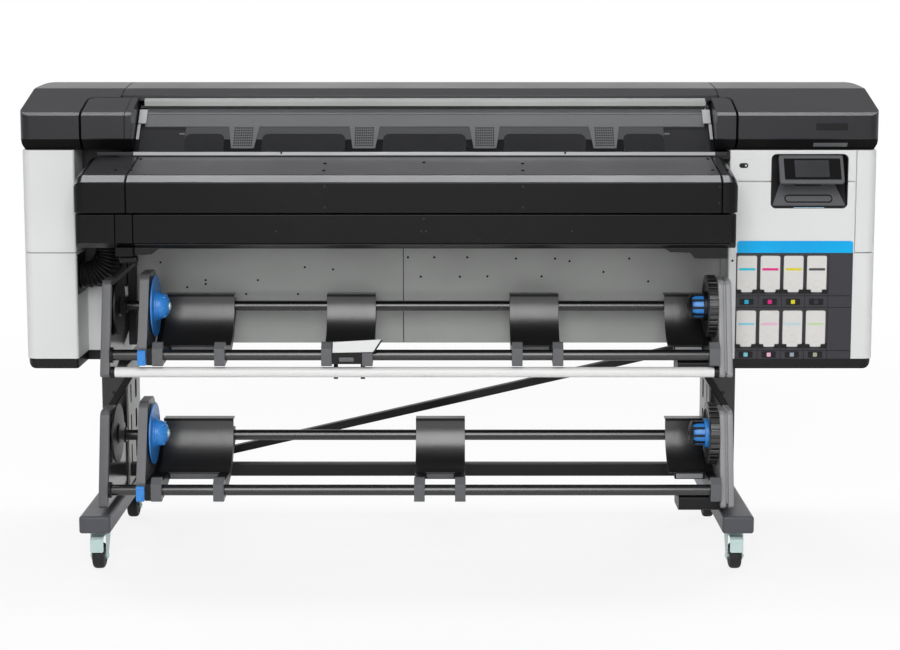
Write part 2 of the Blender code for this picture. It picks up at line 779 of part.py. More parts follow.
def build_control_panel():
    """The recess, the tilting display on its hinge arm, and the power button."""
    left, far, low, high = tray_box()
    front = MODULE_FRONT + FIT
    recess = [
        (front, low),
        (front + TRAY_DEPTH, low + TRAY_RAMP),
        (front + TRAY_DEPTH, high),
        (front, high),
    ]
    shell("display_tray", "grey_plastic", recess, "X", left, far, WALL, open_sides=(3,))
    pivot = display_pivot()
    up = Vector((math.sin(DISPLAY_LEAN), math.cos(DISPLAY_LEAN)))
    rear = Vector((up.y, -up.x))
    base = pivot - rear * DISPLAY_ARM - up * DISPLAY_ARM_RISE
    slab = [
        base,
        base + up * DISPLAY_LENGTH,
        base + up * DISPLAY_LENGTH + rear * DISPLAY_THICKNESS,
        base + rear * DISPLAY_THICKNESS,
    ]
    middle = (left + far) / 2
    half = DISPLAY_WIDTH / 2
    face = [tuple(point) for point in slab]
    display = prism("display", "black_plastic", face, "X", middle - half, middle + half, EDGE_ROUND)
    half = DISPLAY_ARM_WIDTH / 2
    start = pivot - rear * (DISPLAY_ARM - DISPLAY_THICKNESS / 2)
    thick = up * BARREL_RADIUS * 0.8
    bar = [tuple(point) for point in (start - thick, pivot - thick, pivot + thick, start + thick)]
    arm = prism("display_arm", None, bar, "X", middle - half, middle + half)
    half += WALL
    barrel = cylinder("display_barrel", None, "X", pivot, BARREL_RADIUS, middle - half, middle + half)
    combine(display, "UNION", arm, barrel)
    pivot_at(display, (middle, *pivot))
    button = prism(
        "power_button", "black_plastic", button_outline(), "Y", MODULE_FRONT - BUTTON_PROUD,
        MODULE_FRONT + BUTTON_DEPTH,
    )
    pivot_at(button, (RIGHT_INNER + BUTTON_X, MODULE_FRONT, MODULE_TOP - BUTTON_BELOW_TOP))


def cover_profile():
    """Side outline of the dark top covers, from the front foot over the ridge to the back."""
    seat = MODULE_TOP + FIT
    return [
        (FRONT + COVER_SETBACK + COVER_BEVEL_DEPTH, seat),
        (FRONT + COVER_SETBACK, MODULE_TOP + COVER_BEVEL_HEIGHT),
        (FRONT + COVER_SETBACK, MODULE_TOP + COVER_FACE_TOP),
        (FRONT + COVER_SLOPE_SETBACK, MODULE_TOP + COVER_SLOPE_TOP),
        (FRONT + COVER_RIDGE_SETBACK, MODULE_TOP + COVER_TOP),
        (BACK - COVER_BACK_EDGE, MODULE_TOP + COVER_TOP),
        (BACK, MODULE_TOP + COVER_TOP - COVER_BACK_EDGE),
        (BACK, seat),
    ]


def bent_sheet(name, finish_name, points, start, end, wall, toward):
    """Sheet folded along a line of (y, z) points, thickened to the side of one more point."""
    shape = bmesh.new()
    line = [shape.verts.new(place("X", y, z, start)) for y, z in points]
    edges = [shape.edges.new(pair) for pair in zip(line, line[1:])]
    made = bmesh.ops.extrude_edge_only(shape, edges=edges)
    moved = [item for item in made["geom"] if isinstance(item, bmesh.types.BMVert)]
    bmesh.ops.translate(shape, verts=moved, vec=(end - start, 0, 0))
    bmesh.ops.recalc_face_normals(shape, faces=shape.faces[:])
    shape.faces.ensure_lookup_table()
    face = shape.faces[0]
    reach = place("X", *toward, face.calc_center_median().x) - face.calc_center_median()
    outward = face.normal.dot(reach) > 0
    mesh = bpy.data.meshes.new(name)
    shape.to_mesh(mesh)
    shape.free()
    item = thicken(add_object(name, mesh, finish_name), wall)
    item.modifiers["wall"].offset = 1.0 if outward else -1.0
    return item


def slope_height(setback):
    """Height of the top covers' slope at a distance behind the front."""
    rise = COVER_SLOPE_TOP - COVER_FACE_TOP
    run = COVER_SLOPE_SETBACK - COVER_SETBACK
    return MODULE_TOP + COVER_FACE_TOP + rise * (setback - COVER_SETBACK) / run


def build_top():
    """The end covers, the rear top cover between them and the hinged window."""
    profile = cover_profile()
    seat_side = len(profile) - 1
    left = LEFT_CHEEK_X
    right = RIGHT_CHEEK_X
    shell(
        "left_end_cover", "dark_cover", profile, "X", LEFT, left, WALL,
        open_sides=(seat_side,), open_ends=("end",), rounding=COVER_ROUND,
    )
    shell(
        "right_end_cover", "dark_cover", profile, "X", right, RIGHT, WALL,
        open_sides=(seat_side,), open_ends=("start",), rounding=COVER_ROUND,
    )
    edge_z = slope_height(TOP_COVER_SETBACK)
    edge_y = FRONT + TOP_COVER_SETBACK
    back_z = MODULE_TOP + FIT
    fold = [(edge_y, edge_z - TOP_COVER_LIP), (edge_y, edge_z), *profile[3:7], (BACK, back_z)]
    inside = (BACK - COVER_BACK_EDGE * 2, MODULE_TOP)
    bent_sheet(
        "rear_top_cover", "dark_cover", fold, left + FIT, right - FIT, WALL, inside
    )
    hinge = Vector((edge_y - FIT - WALL, edge_z - WINDOW_BAR_DROP))
    foot = Vector((FRONT + WINDOW_SETBACK, PLATEN_TOP + FIT))
    bar_low = hinge.y - WINDOW_BAR_HEIGHT
    bar_front = hinge.x - WINDOW_BAR_DEPTH
    pane_top = bar_low - WINDOW_PANE
    outline = [
        tuple(foot),
        (bar_front + WINDOW_PANE * 0.2, pane_top),
        (bar_front, bar_low),
        (bar_front + WINDOW_BAR_DEPTH * 0.3, hinge.y),
        tuple(hinge),
        (hinge.x, bar_low),
        (bar_front + WINDOW_PANE * 1.6, pane_top),
        (foot.x + WINDOW_PANE * 1.4, foot.y),
    ]
    window = prism(
        "window", "smoked_glass", outline, "X", left + WINDOW_SIDE_GAP, right - WINDOW_SIDE_GAP
    )
    pivot_at(window, (0, *hinge))


def build_front():
    """The front cover over the paper path and the lower fascia under it."""
    left = LEFT + FRONT_COVER_LEFT
    right = RIGHT - FRONT_COVER_RIGHT
    front = FRONT + FRONT_COVER_SETBACK
    edge_lean = WALL * FRONT_COVER_SLOPE / (PLATEN_SETBACK - FRONT_COVER_SETBACK)
    back = PLATEN_FRONT - FIT - edge_lean * 2
    top = PLATEN_TOP - FRONT_COVER_BELOW_PLATEN
    edge = top - FRONT_COVER_SLOPE
    face_top = edge - FRONT_COVER_CHAMFER_HEIGHT
    face_low = face_top - FRONT_COVER_FACE_HEIGHT
    outline = [
        (back, top),
        (front + FRONT_COVER_CHAMFER_DEPTH, edge),
        (front, face_top),
        (front, face_low),
        (back, face_low),
    ]
    shell(
        "front_cover", "dark_cover", outline, "X", left, right, WALL,
        open_sides=(3, 4), rounding=FRONT_COVER_ROUND,
    )
    high = face_low - FASCIA_SEAM
    low = high - FASCIA_HEIGHT
    rear = POCKET_FRONT - FIT
    outline = [
        (rear, high),
        (front + FASCIA_INSET, high),
        (front + FASCIA_INSET, low),
        (front + FASCIA_LIP_DEPTH, low - FASCIA_LIP_HEIGHT),
        (rear, low - FASCIA_LIP_HEIGHT),
    ]
    fascia = shell(
        "lower_fascia", "dark_cover", outline, "X", left + FASCIA_INSET, right - FASCIA_INSET, WALL,
        open_sides=(0, 4), rounding=FASCIA_ROUND,
    )
    floor = low - FASCIA_LIP_HEIGHT
    slot = box(
        "media_slot",
        None,
        (LEFT_CHEEK_X + MEDIA_SLOT_MARGIN, rear - MEDIA_SLOT, floor - WALL),
        (RIGHT_CHEEK_X - MEDIA_SLOT_MARGIN, rear + WALL, floor + WALL * 2),
    )
    combine(fascia, "DIFFERENCE", slot)
    return floor


def build_print_engine():
    """The platen and guide beam, the print carriage, the sheet cutter and the drive roller."""
    start = POCKET_INNER + FIT
    end = RIGHT_INNER - FIT
    low = PLATEN_TOP - PLATEN_THICKNESS
    beam_back = BEAM_FRONT + BEAM_DEPTH
    outline = [
        (PLATEN_FRONT, low),
        (BEAM_FRONT, low),
        (BEAM_FRONT, PLATEN_TOP - BEAM_BELOW_PLATEN),
        (beam_back, PLATEN_TOP - BEAM_BELOW_PLATEN),
        (beam_back, PLATEN_TOP + BEAM_ABOVE_PLATEN),
        (BEAM_FRONT, PLATEN_TOP + BEAM_ABOVE_PLATEN),
        (BEAM_FRONT, PLATEN_TOP),
        (PLATEN_FRONT, PLATEN_TOP),
    ]
    beam = shell(
        "print_beam", "aluminium", outline, "X", start, end, BEAM_WALL, open_ends=("start", "end")
    )
    far = RIGHT - CARRIAGE_PARK
    guide_low = PLATEN_TOP + GUIDE_RISE
    guide = box(
        "carriage_guide",
        None,
        (start + BEAM_WALL, BEAM_FRONT - GUIDE_PROUD, guide_low),
        (far, BEAM_FRONT + BEAM_WALL / 2, guide_low + GUIDE_HEIGHT),
    )
    combine(beam, "UNION", guide)
    back = BEAM_FRONT - GUIDE_PROUD - FIT
    front = back - CARRIAGE_DEPTH
    floor = MODULE_TOP + CARRIAGE_CLEARANCE
    body = [
        (front, floor),
        (back, floor),
        (back, floor + CARRIAGE_HEIGHT),
        (back - CARRIAGE_DEPTH / 2, floor + CARRIAGE_HEIGHT),
        (front, floor + CARRIAGE_NOSE),
    ]
    carriage = prism("print_carriage", "black_plastic", body, "X", far - CARRIAGE_LENGTH, far, EDGE_ROUND)
    pivot_at(carriage, (far - CARRIAGE_LENGTH / 2, back, floor))
    near = LEFT_CHEEK_X + CUTTER_PARK
    cutter_front = FRONT + CUTTER_SETBACK
    cutter_low = PLATEN_TOP + FIT
    cutter = box(
        "sheet_cutter",
        "black_plastic",
        (near, cutter_front, cutter_low),
        (near + CUTTER_LENGTH, cutter_front + CUTTER_DEPTH, cutter_low + CUTTER_HEIGHT),
        SMALL_EDGE_ROUND,
    )
    pivot_at(cutter, (near, cutter_front, cutter_low))
    centre = (FRONT + ROLLER_SETBACK, low - FIT - ROLLER_RADIUS)
    roller = cylinder("drive_roller", "rubber", "X", centre, ROLLER_RADIUS, start + FIT, end - FIT, 20)
    pivot_at(roller, (0, *centre))


def build_pan():
    """The folded sheet-metal pan between the modules: its front is the grey wall behind the rolls."""
    low = BASE_Z + PAN_BOTTOM
    fold = [
        (POCKET_FRONT, low + PAN_FRONT_HEIGHT),
        (POCKET_FRONT, low + PAN_FOLD_HIGH),
        (POCKET_FRONT + PAN_FOLD_DEPTH, low + PAN_FOLD_LOW),
        (POCKET_FRONT + PAN_FOLD_DEPTH / 2, low),
        (BACK, low),
        (BACK, MODULE_TOP),
    ]
    inside = (POCKET_FRONT + DEPTH / 5, MODULE_TOP - MODULE_HEIGHT / 3)
    bent_sheet(
        "media_pan", "sheet_metal", fold, POCKET_INNER + FIT, RIGHT_INNER - FIT, SHEET, inside
    )


def hose_point(distance, length):
    """A point of the hose's middle line: out of the module, round one bend and up."""
    start = Vector((LEFT_INNER + FIT, length["height"]))
    quarter = HOSE_BEND * math.pi / 2
    if distance < HOSE_STRAIGHT:
        return start + Vector((distance, 0))
    turn = min((distance - HOSE_STRAIGHT) / HOSE_BEND, math.pi / 2)
    swing = Vector((math.sin(turn), 1 - math.cos(turn))) * HOSE_BEND
    rise = max(distance - HOSE_STRAIGHT - quarter, 0)
    return start + Vector((HOSE_STRAIGHT, 0)) + swing + Vector((0, rise))


def tube_mesh(name, points, radii, sides_level):
    """A closed tube mesh along points, with its own radius at each one."""
    curve = bpy.data.curves.new(name, "CURVE")
    curve.dimensions = "3D"
    curve.bevel_depth = 1.0
    curve.bevel_resolution = sides_level
    curve.use_fill_caps = True
    line = curve.splines.new("POLY")
    line.points.add(len(points) - 1)
    for knot, point, radius in zip(line.points, points, radii):
        knot.co = (*point, 1)
        knot.radius = radius
    guide = bpy.data.objects.new(f"{name}_line", curve)
    CUTTERS.objects.link(guide)
    bpy.context.view_layer.update()
    evaluated = guide.evaluated_get(bpy.context.evaluated_depsgraph_get())
    mesh = bpy.data.meshes.new_from_object(evaluated)
    bpy.data.objects.remove(guide, do_unlink=True)
    shape = bmesh.new()
    shape.from_mesh(mesh)
    bmesh.ops.remove_doubles(shape, verts=shape.verts[:], dist=MERGE_DISTANCE)
    bmesh.ops.recalc_face_normals(shape, faces=shape.faces[:])
    shape.to_mesh(mesh)
    shape.free()
    return mesh


def build_hose(fascia_low):
    """The corrugated air hose between the left module and the fascia, with its bore."""
    length = {"height": fascia_low - HOSE_BELOW_FASCIA}
    top = HOSE_BELOW_FASCIA - HOSE_BEND - FIT
    total = HOSE_STRAIGHT + HOSE_BEND * math.pi / 2 + top
    depth = POCKET_FRONT - HOSE_WALL_GAP - HOSE_RADIUS

    def line_at(distance):
        along = hose_point(distance, length)
        return (along.x, depth, along.y)

    steps = HOSE_RIBS * 2
    ends = HOSE_STRAIGHT / 2
    stations = [ends + (total - 2 * ends) * step / steps for step in range(steps + 1)]
    points = [line_at(0)] + [line_at(station) for station in stations] + [line_at(total)]
    low = HOSE_RADIUS - HOSE_RIB
    waves = [HOSE_RADIUS if step % 2 else low for step in range(steps + 1)]
    hose = add_object("air_hose", tube_mesh("air_hose", points, [low, *waves, low], 2), "rubber")
    bore_steps = 10
    bore_stations = [ends + (total - 2 * ends) * step / bore_steps for step in range(bore_steps + 1)]
    first = Vector(line_at(0)) - Vector((HOSE_RIB, 0, 0))
    last = Vector(line_at(total)) + Vector((0, 0, HOSE_RIB))
    bore_points = [first] + [line_at(station) for station in bore_stations] + [last]
    bore_radii = [HOSE_BORE] * len(bore_points)
    bore = add_object("hose_bore", tube_mesh("hose_bore", bore_points, bore_radii, 1))
    combine(hose, "DIFFERENCE", bore)


class Station:
    """Places in one roll station, in (y, z): its two rails and the roll's axis."""

    def __init__(self, name, setback, height, hub_rise):
        self.name = name
        self.rail = Vector((FRONT + setback, height))
        self.rear = self.rail + Vector((REAR_RAIL_BACK, REAR_RAIL_RISE))
        self.hub = self.rail + Vector((HUB_BACK, hub_rise))


def rail_cuts(station, label, start, end):
    """Guides that cut the two rail holes through a piece between two places along X."""
    bore = RAIL_RADIUS + RUNNING_FIT
    ends = (start - WALL, end + WALL)
    return [
        cylinder(f"{station.name}_{label}_rail_cut", None, "X", station.rail, bore, *ends),
        cylinder(f"{station.name}_{label}_rear_cut", None, "X", station.rear, bore, *ends),
    ]


def cradle_outline(station):
    """Section of a cradle: a trough round the roll with a lip over the rear rail."""
    inner = arc(station.hub, ROLL_RADIUS, CRADLE_TOP, CRADLE_BOTTOM, 9)
    outer = arc(station.hub, ROLL_RADIUS + CRADLE_WALL, CRADLE_BOTTOM, 0.0, 9)
    lip_z = inner[0][1]
    lip_y = inner[0][0] + CRADLE_LIP
    return inner + outer + [(outer[-1][0], lip_z - CRADLE_WALL), (lip_y, lip_z - CRADLE_WALL), (lip_y, lip_z)]


def rib_outline(station):
    """Section of a cradle's rib, which clamps the front rail and hooks over the rear one."""
    rail_y, rail_z = station.rail
    rear_y, rear_z = station.rear
    middle = ROLL_RADIUS + CRADLE_WALL / 2
    high = math.asin((rear_z + RIB_RADIUS * 0.8 - station.hub.y) / middle)
    bed = arc(station.hub, middle, high, RIB_BED_END, 8)
    belly = arc(station.hub, ROLL_RADIUS + RIB_DEPTH, RIB_BELLY_START, RIB_BELLY_END, 4)
    return [
        (rail_y - RIB_RADIUS, rail_z - RIB_RADIUS),
        (rail_y + RIB_RADIUS, rail_z - RIB_RADIUS),
        *belly,
        (rear_y + RIB_RADIUS, rear_z - RIB_RADIUS * 0.8),
        (rear_y + RIB_RADIUS, rear_z + RIB_RADIUS * 0.8),
        *bed,
        (rail_y + RIB_RADIUS * 0.7, rail_z + RIB_RADIUS),
        (rail_y - RIB_RADIUS, rail_z + RIB_RADIUS),
    ]


def build_support(station, number, left):
    """A cradle on two ribs, which slides along both rails."""
    right = left + CRADLE_WIDTH
    name = f"{station.name}_support_{number}"
    support = prism(name, "black_plastic", cradle_outline(station), "X", left, right)
    section = rib_outline(station)
    ribs = [
        prism(f"{name}_left_rib", None, section, "X", left - FIT, left + RIB_WIDTH),
        prism(f"{name}_right_rib", None, section, "X", right - RIB_WIDTH, right + FIT),
    ]
    combine(support, "UNION", *ribs)
    combine(support, "DIFFERENCE", *rail_cuts(station, f"support_{number}", left, right))
    pivot_at(support, (left, *station.rail))


def arm_outline(station):
    """Side outline of the holder arm that carries the left hub on both rails."""
    rail_y, rail_z = station.rail
    rear_y, rear_z = station.rear
    hub_y, hub_z = station.hub
    points = [
        (rail_y - RIB_RADIUS, rail_z - RIB_RADIUS),
        (rail_y + RIB_RADIUS, rail_z - RIB_RADIUS),
        (rear_y + RIB_RADIUS, rear_z - RIB_RADIUS),
        (rear_y + RIB_RADIUS, rear_z + RIB_RADIUS),
        (hub_y + ARM_BACK_REACH, hub_z + ARM_TOP),
        (hub_y - ARM_FRONT_REACH, hub_z + ARM_TOP),
        (hub_y - ARM_CHIN_REACH, hub_z + ARM_CHIN_RISE),
        (rail_y - RIB_RADIUS, rail_z + RIB_RADIUS),
    ]
    foot, hook, top = ARM_ROUND, ARM_HOOK_ROUND, ARM_TOP_ROUND
    return fillet(points, [foot, foot, hook, hook, top, top, top, foot], steps=3)


def build_holder(station):
    """The sliding left holder with its wide cradle, its hub and its lock lever."""
    name = station.name
    arm_left = PLATE_LEFT_X + HOLDER_OFFSET
    arm_right = arm_left + ARM_THICKNESS
    holder = prism(
        f"{name}_left_holder", "black_plastic", arm_outline(station), "X", arm_left, arm_right
    )
    trough_left = arm_right + FLANGE_DEPTH + FIT
    trough_right = arm_right + HOLDER_CRADLE
    section = rib_outline(station)
    added = [
        prism(f"{name}_near_rib", None, section, "X", arm_right - WALL, trough_left + RIB_WIDTH / 2),
        prism(f"{name}_trough", None, cradle_outline(station), "X", trough_left, trough_right),
        prism(f"{name}_far_rib", None, section, "X", trough_right - RIB_WIDTH, trough_right + FIT),
    ]
    combine(holder, "UNION", *added)
    combine(holder, "DIFFERENCE", *rail_cuts(station, "holder", arm_left, trough_right))
    pivot_at(holder, (arm_left, *station.rail))
    back = arm_right + FIT
    rim = back + FLANGE_DEPTH
    tip = back + CORE_LENGTH
    profile = [
        (tip, 0.0),
        (tip, CORE_RADIUS * 0.26),
        (tip - CORE_TIP, CORE_RADIUS * 0.31),
        (tip - CORE_TIP, CORE_RADIUS * 0.78),
        (tip - CORE_TIP - CORE_BEVEL, CORE_RADIUS * 0.90),
        (back + FLANGE_DEPTH * 0.6, CORE_RADIUS),
        (back + FLANGE_DEPTH * 0.5, FLANGE_RADIUS * 0.55),
        (rim - FLANGE_DEPTH * 0.25, FLANGE_RADIUS * 0.88),
        (rim, FLANGE_RADIUS),
        (rim - FLANGE_DEPTH * 0.4, FLANGE_RADIUS),
        (back, FLANGE_RADIUS * 0.55),
        (back, 0.0),
    ]
    turned(f"{name}_left_hub", "blue_plastic", profile, station.hub)
    build_lever(station, arm_left)


def build_lever(station, arm_left):
    """The lock lever on the front of the holder arm, hinged at its upper end."""
    half = LEVER_THICKNESS / 2
    pivot = station.rail + Vector((-RIB_RADIUS - FIT - half, RIB_RADIUS / 2))
    tail = pivot.y - LEVER_LENGTH + half
    outline = arc(pivot, half, 0.0, math.pi, 6)
    outline += [
        (pivot.x - half, tail + half),
        (pivot.x - half * 0.4, tail),
        (pivot.x + half * 0.6, tail),
        (pivot.x + half, tail + half),
    ]
    start = arm_left + (ARM_THICKNESS - LEVER_WIDTH) / 2
    lever = prism(f"{station.name}_lock_lever", "blue_plastic", outline, "X", start, start + LEVER_WIDTH)
    pivot_at(lever, (start, *pivot))


def gear_outline(centre):
    """Outline of the ribbed hand wheel on the drive side."""
    points = []
    step = 2 * math.pi / GEAR_TEETH
    for tooth in range(GEAR_TEETH):
        for share, radius in (
            (0.0, GEAR_RADIUS - GEAR_TOOTH), (0.45, GEAR_RADIUS - GEAR_TOOTH),
            (0.55, GEAR_RADIUS), (0.90, GEAR_RADIUS),
        ):
            angle = (tooth + share) * step
            points.append((centre[0] + radius * math.cos(angle), centre[1] + radius * math.sin(angle)))
    return points


def build_right_hub(station):
    """The ribbed wheel and core cone that drive the roll."""
    far = PLATE_RIGHT_X - FIT
    near = far - GEAR_WIDTH
    name = f"{station.name}_right_hub"
    wheel = prism(name, "black_plastic", gear_outline(station.hub), "X", near, far)
    tip = near - CORE_LENGTH
    profile = [
        (near + WALL, 0.0),
        (near + WALL, CORE_RADIUS * 1.04),
        (tip + CORE_LENGTH * 0.3, CORE_RADIUS),
        (tip, CORE_RADIUS * 0.86),
        (tip, 0.0),
    ]
    core = turned(f"{name}_core", None, profile, station.hub, 24)
    combine(wheel, "UNION", core)
    pivot_at(wheel, (far, *station.hub))


def build_station(station, plate, supports):
    """Side plates, rails, holder, supports and hubs of one roll station."""
    name = station.name
    left = PLATE_LEFT_X
    right = PLATE_RIGHT_X
    outer = left - LEFT_PLATE_THICKNESS
    prism(f"{name}_left_plate", "stand_paint", plate, "X", outer, left, SMALL_EDGE_ROUND)
    far_plate = prism(f"{name}_right_plate", "stand_paint", plate, "X", right, right + RIGHT_PLATE_THICKNESS)
    trough = prism(
        f"{name}_right_trough", None, cradle_outline(station), "X", right - RIGHT_CRADLE, right + WALL
    )
    section = rib_outline(station)
    near_rib = prism(
        f"{name}_right_rib", None, section, "X", right - RIB_WIDTH, right + WALL
    )
    combine(far_plate, "UNION", trough, near_rib)
    combine(far_plate, "DIFFERENCE", *rail_cuts(station, "right_plate", right - RIGHT_CRADLE, right - WALL))
    rail(f"{name}_front_rail", "black_paint", station.rail, RAIL_RADIUS, left + FIT, right - FIT)
    rail(f"{name}_rear_rail", "black_paint", station.rear, RAIL_RADIUS, left + FIT, right - FIT)
    build_holder(station)
    build_right_hub(station)
    for number, offset in enumerate(supports, start=1):
        build_support(station, number, left + offset - CRADLE_WIDTH / 2)


def build_stations():
    """The upper supply station, the lower take-up station and the loose tension bar."""
    upper = Station("upper", UPPER_RAIL_SETBACK, BASE_Z + UPPER_RAIL_ABOVE_BASE, UPPER_HUB_RISE)
    lower = Station("lower", LOWER_RAIL_SETBACK, FOOT_TOP + LOWER_RAIL_RISE, LOWER_HUB_RISE)
    bar = upper.rail - Vector((0, TENSION_BAR_DROP))
    rear = POCKET_FRONT - FIT
    upper_plate = fillet(
        [
            (bar.x - RIB_RADIUS * 0.8, bar.y - RIB_RADIUS * 0.5),
            (bar.x + RIB_RADIUS * 3, bar.y - RIB_RADIUS * 0.5),
            (rear, upper.rear.y - RIB_RADIUS * 3),
            (rear, upper.rear.y + RIB_RADIUS * 0.8),
            (upper.rear.x - RIB_RADIUS, upper.rear.y + RIB_RADIUS),
            (upper.hub.x + PLATE_BACK_REACH, upper.hub.y + UPPER_PLATE_RISE),
            (upper.hub.x - UPPER_PLATE_FRONT_REACH, upper.hub.y + UPPER_PLATE_RISE),
        ],
        [PLATE_ROUND, 0.0, 0.0, PLATE_ROUND, 0.0, PLATE_TOP_ROUND, PLATE_NOSE_ROUND],
        steps=3,
    )
    rear = COLUMN_FRONT - FIT
    lower_plate = fillet(
        [
            (lower.rail.x - RIB_RADIUS * 0.8, FOOT_TOP + RIB_RADIUS / 2),
            (rear, FOOT_TOP + RIB_RADIUS / 2),
            (rear, lower.rear.y + RIB_RADIUS),
            (lower.hub.x + PLATE_BACK_REACH, lower.hub.y + LOWER_PLATE_RISE),
            (lower.hub.x - LOWER_PLATE_FRONT_REACH, lower.hub.y + LOWER_PLATE_RISE),
        ],
        [PLATE_ROUND, 0.0, PLATE_ROUND, PLATE_TOP_ROUND, PLATE_NOSE_ROUND],
        steps=3,
    )
    build_station(upper, upper_plate, UPPER_SUPPORTS)
    build_station(lower, lower_plate, LOWER_SUPPORTS)
    ends = (PLATE_LEFT_X + FIT, PLATE_RIGHT_X - FIT)
    rail("tension_bar", "bar_white", bar, TENSION_BAR_RADIUS, *ends)


def build_casters():
    """Four casters, the two front ones with a brake pedal."""
    for side, leg_x in (("left", LEFT_LEG_X), ("right", RIGHT_LEG_X)):
        build_caster(f"front_{side}_caster", leg_x, FRONT + CASTER_INSET, True)
        build_caster(f"rear_{side}_caster", leg_x, BACK - CASTER_INSET + CASTER_TRAIL, False)


clear_scene()
PARTS = new_collection("roll_printer")
CUTTERS = new_collection("roll_printer_cutters")
build_stand()
build_casters()
build_modules()
build_ink_bay()
build_control_panel()
build_top()
FASCIA_LOW = build_front()
build_print_engine()
build_pan()
build_hose(FASCIA_LOW)
build_stations()
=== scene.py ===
"""Looks of a wide-format roll printer on its wheeled stand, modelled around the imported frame.

Metres, +Z up, +X to the operator's right. The operator stands at -Y.
"""
import logging
import math
from collections.abc import Callable, Iterator, Sequence
from contextlib import contextmanager
from dataclasses import dataclass
from enum import Enum
from functools import cache

import bmesh
import bpy
from mathutils import Matrix, Vector


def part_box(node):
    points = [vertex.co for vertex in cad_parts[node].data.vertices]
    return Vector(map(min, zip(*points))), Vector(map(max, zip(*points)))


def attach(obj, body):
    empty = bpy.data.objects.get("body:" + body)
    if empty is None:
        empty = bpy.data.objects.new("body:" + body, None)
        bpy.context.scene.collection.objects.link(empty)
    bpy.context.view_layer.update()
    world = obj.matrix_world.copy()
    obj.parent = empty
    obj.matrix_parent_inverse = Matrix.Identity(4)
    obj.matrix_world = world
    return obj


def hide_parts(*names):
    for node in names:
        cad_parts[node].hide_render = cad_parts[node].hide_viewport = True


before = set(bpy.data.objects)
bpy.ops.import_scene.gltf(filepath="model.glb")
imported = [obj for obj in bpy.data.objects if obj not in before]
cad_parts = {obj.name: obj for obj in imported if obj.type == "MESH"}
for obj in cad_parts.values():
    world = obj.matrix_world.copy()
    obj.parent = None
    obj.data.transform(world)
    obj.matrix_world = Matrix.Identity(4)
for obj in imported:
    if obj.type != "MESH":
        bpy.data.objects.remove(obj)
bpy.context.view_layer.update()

LOG = logging.getLogger("roll_printer")

Pair = tuple[float, float]
Triple = tuple[float, float, float]
Piece = bpy.types.Object

CARRIER = "printer"
PANEL_GAP = 0.002
MERGE = 0.00002
TINY = 0.0004
CLEAR = 0.01
REACH = 0.02
SKY = 2.0
FORWARD = Vector((0, -1, 0))


class Axis(Enum):
    """The world axis that an outline is drawn along, across (y, z), (x, z) or (x, y)."""

    X = 0
    Y = 1
    Z = 2

    def at(self, u: float, v: float, along: float) -> Vector:
        """The point at (u, v) in the outline's plane and at a distance along the axis."""
        return Vector(((along, u, v), (u, along, v), (u, v, along))[self.value])


class Cut(Enum):
    """How a tool body works on a piece."""

    AWAY = "DIFFERENCE"
    ADD = "UNION"
    KEEP = "INTERSECT"


@dataclass(frozen=True)
class Edge:
    """A rounding: its width, its steps and the least turn of an edge that gets it, in degrees."""

    width: float
    steps: int = 2
    turn: float = 28


class Edges:
    """Every edge rounding that is used on more than one kind of piece, and the larger single ones."""

    FILM = Edge(0.0002)
    LENS = Edge(0.0003)
    SKIN = Edge(0.0004)
    PLATE = Edge(0.0005)
    LIP = Edge(0.0006)
    CARD = Edge(0.0008)
    BAR = Edge(0.0010)
    MOULD = Edge(0.0012)
    CASE = Edge(0.0015)
    STRUT = Edge(0.0020)
    PEDAL = Edge(0.0008, 3)
    CAP = Edge(0.0012, 3)
    HANDLE = Edge(0.0015, 3)
    SHELL = Edge(0.0016, 3)
    LEVER = Edge(0.0018, 3)
    BLOCK = Edge(0.0020, 3)
    BUTTON = Edge(0.0025, 3)
    CASTING = Edge(0.0030, 3)
    BEZEL = Edge(0.0028, 4)
    ARM = Edge(0.0040, 4)
    TWIN_PLATE = Edge(0.0042, 4)
    GRIP = Edge(0.0080, 5)
    SHEET = Edge(0.0005, 2, 50)
    BAND = Edge(0.0005, 2, 60)
    STEP = Edge(0.0006, 2, 50)
    LINK = Edge(0.0008, 2, 40)
    COLUMN = Edge(0.0008, 2, 50)
    CHEEK = Edge(0.0010, 2, 50)
    FOOT = Edge(0.0010, 2, 60)
    PAN = Edge(0.0012, 2, 3)
    CLAMP = Edge(0.0012, 2, 24)
    RIB = Edge(0.0012, 2, 40)
    COVER = Edge(0.0012, 2, 50)
    FASCIA = Edge(0.0020, 2, 20)
    FOLD = Edge(0.0028, 3, 20)
    BASE = Edge(0.0030, 2, 50)


@dataclass(frozen=True)
class Span:
    """A node's lowest and highest corners at rest."""

    low: Vector
    high: Vector

    @classmethod
    def of(cls, node: str) -> "Span":
        """The span of a CAD node, by name."""
        return cls(*(Vector(corner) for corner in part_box(node)))

    @property
    def middle(self) -> Vector:
        """The middle of the span."""
        return (self.low + self.high) / 2


def linear(red: int, green: int, blue: int) -> Triple:
    """A screen colour turned to scene values."""

    def one(level: int) -> float:
        """One channel in scene-linear values."""
        share = level / 255
        return share / 12.92 if share <= 0.04045 else ((share + 0.055) / 1.055) ** 2.4

    return one(red), one(green), one(blue)


def deselect() -> None:
    """Select nothing."""
    bpy.ops.object.select_all(action="DESELECT")


def discard(piece: Piece) -> None:
    """Remove a piece that is used up."""
    bpy.data.objects.remove(piece, do_unlink=True)


def choose(*pieces: Piece) -> None:
    """Select these pieces alone, with the first one active."""
    deselect()
    for piece in pieces:
        piece.select_set(True)
    bpy.context.view_layer.objects.active = pieces[0]


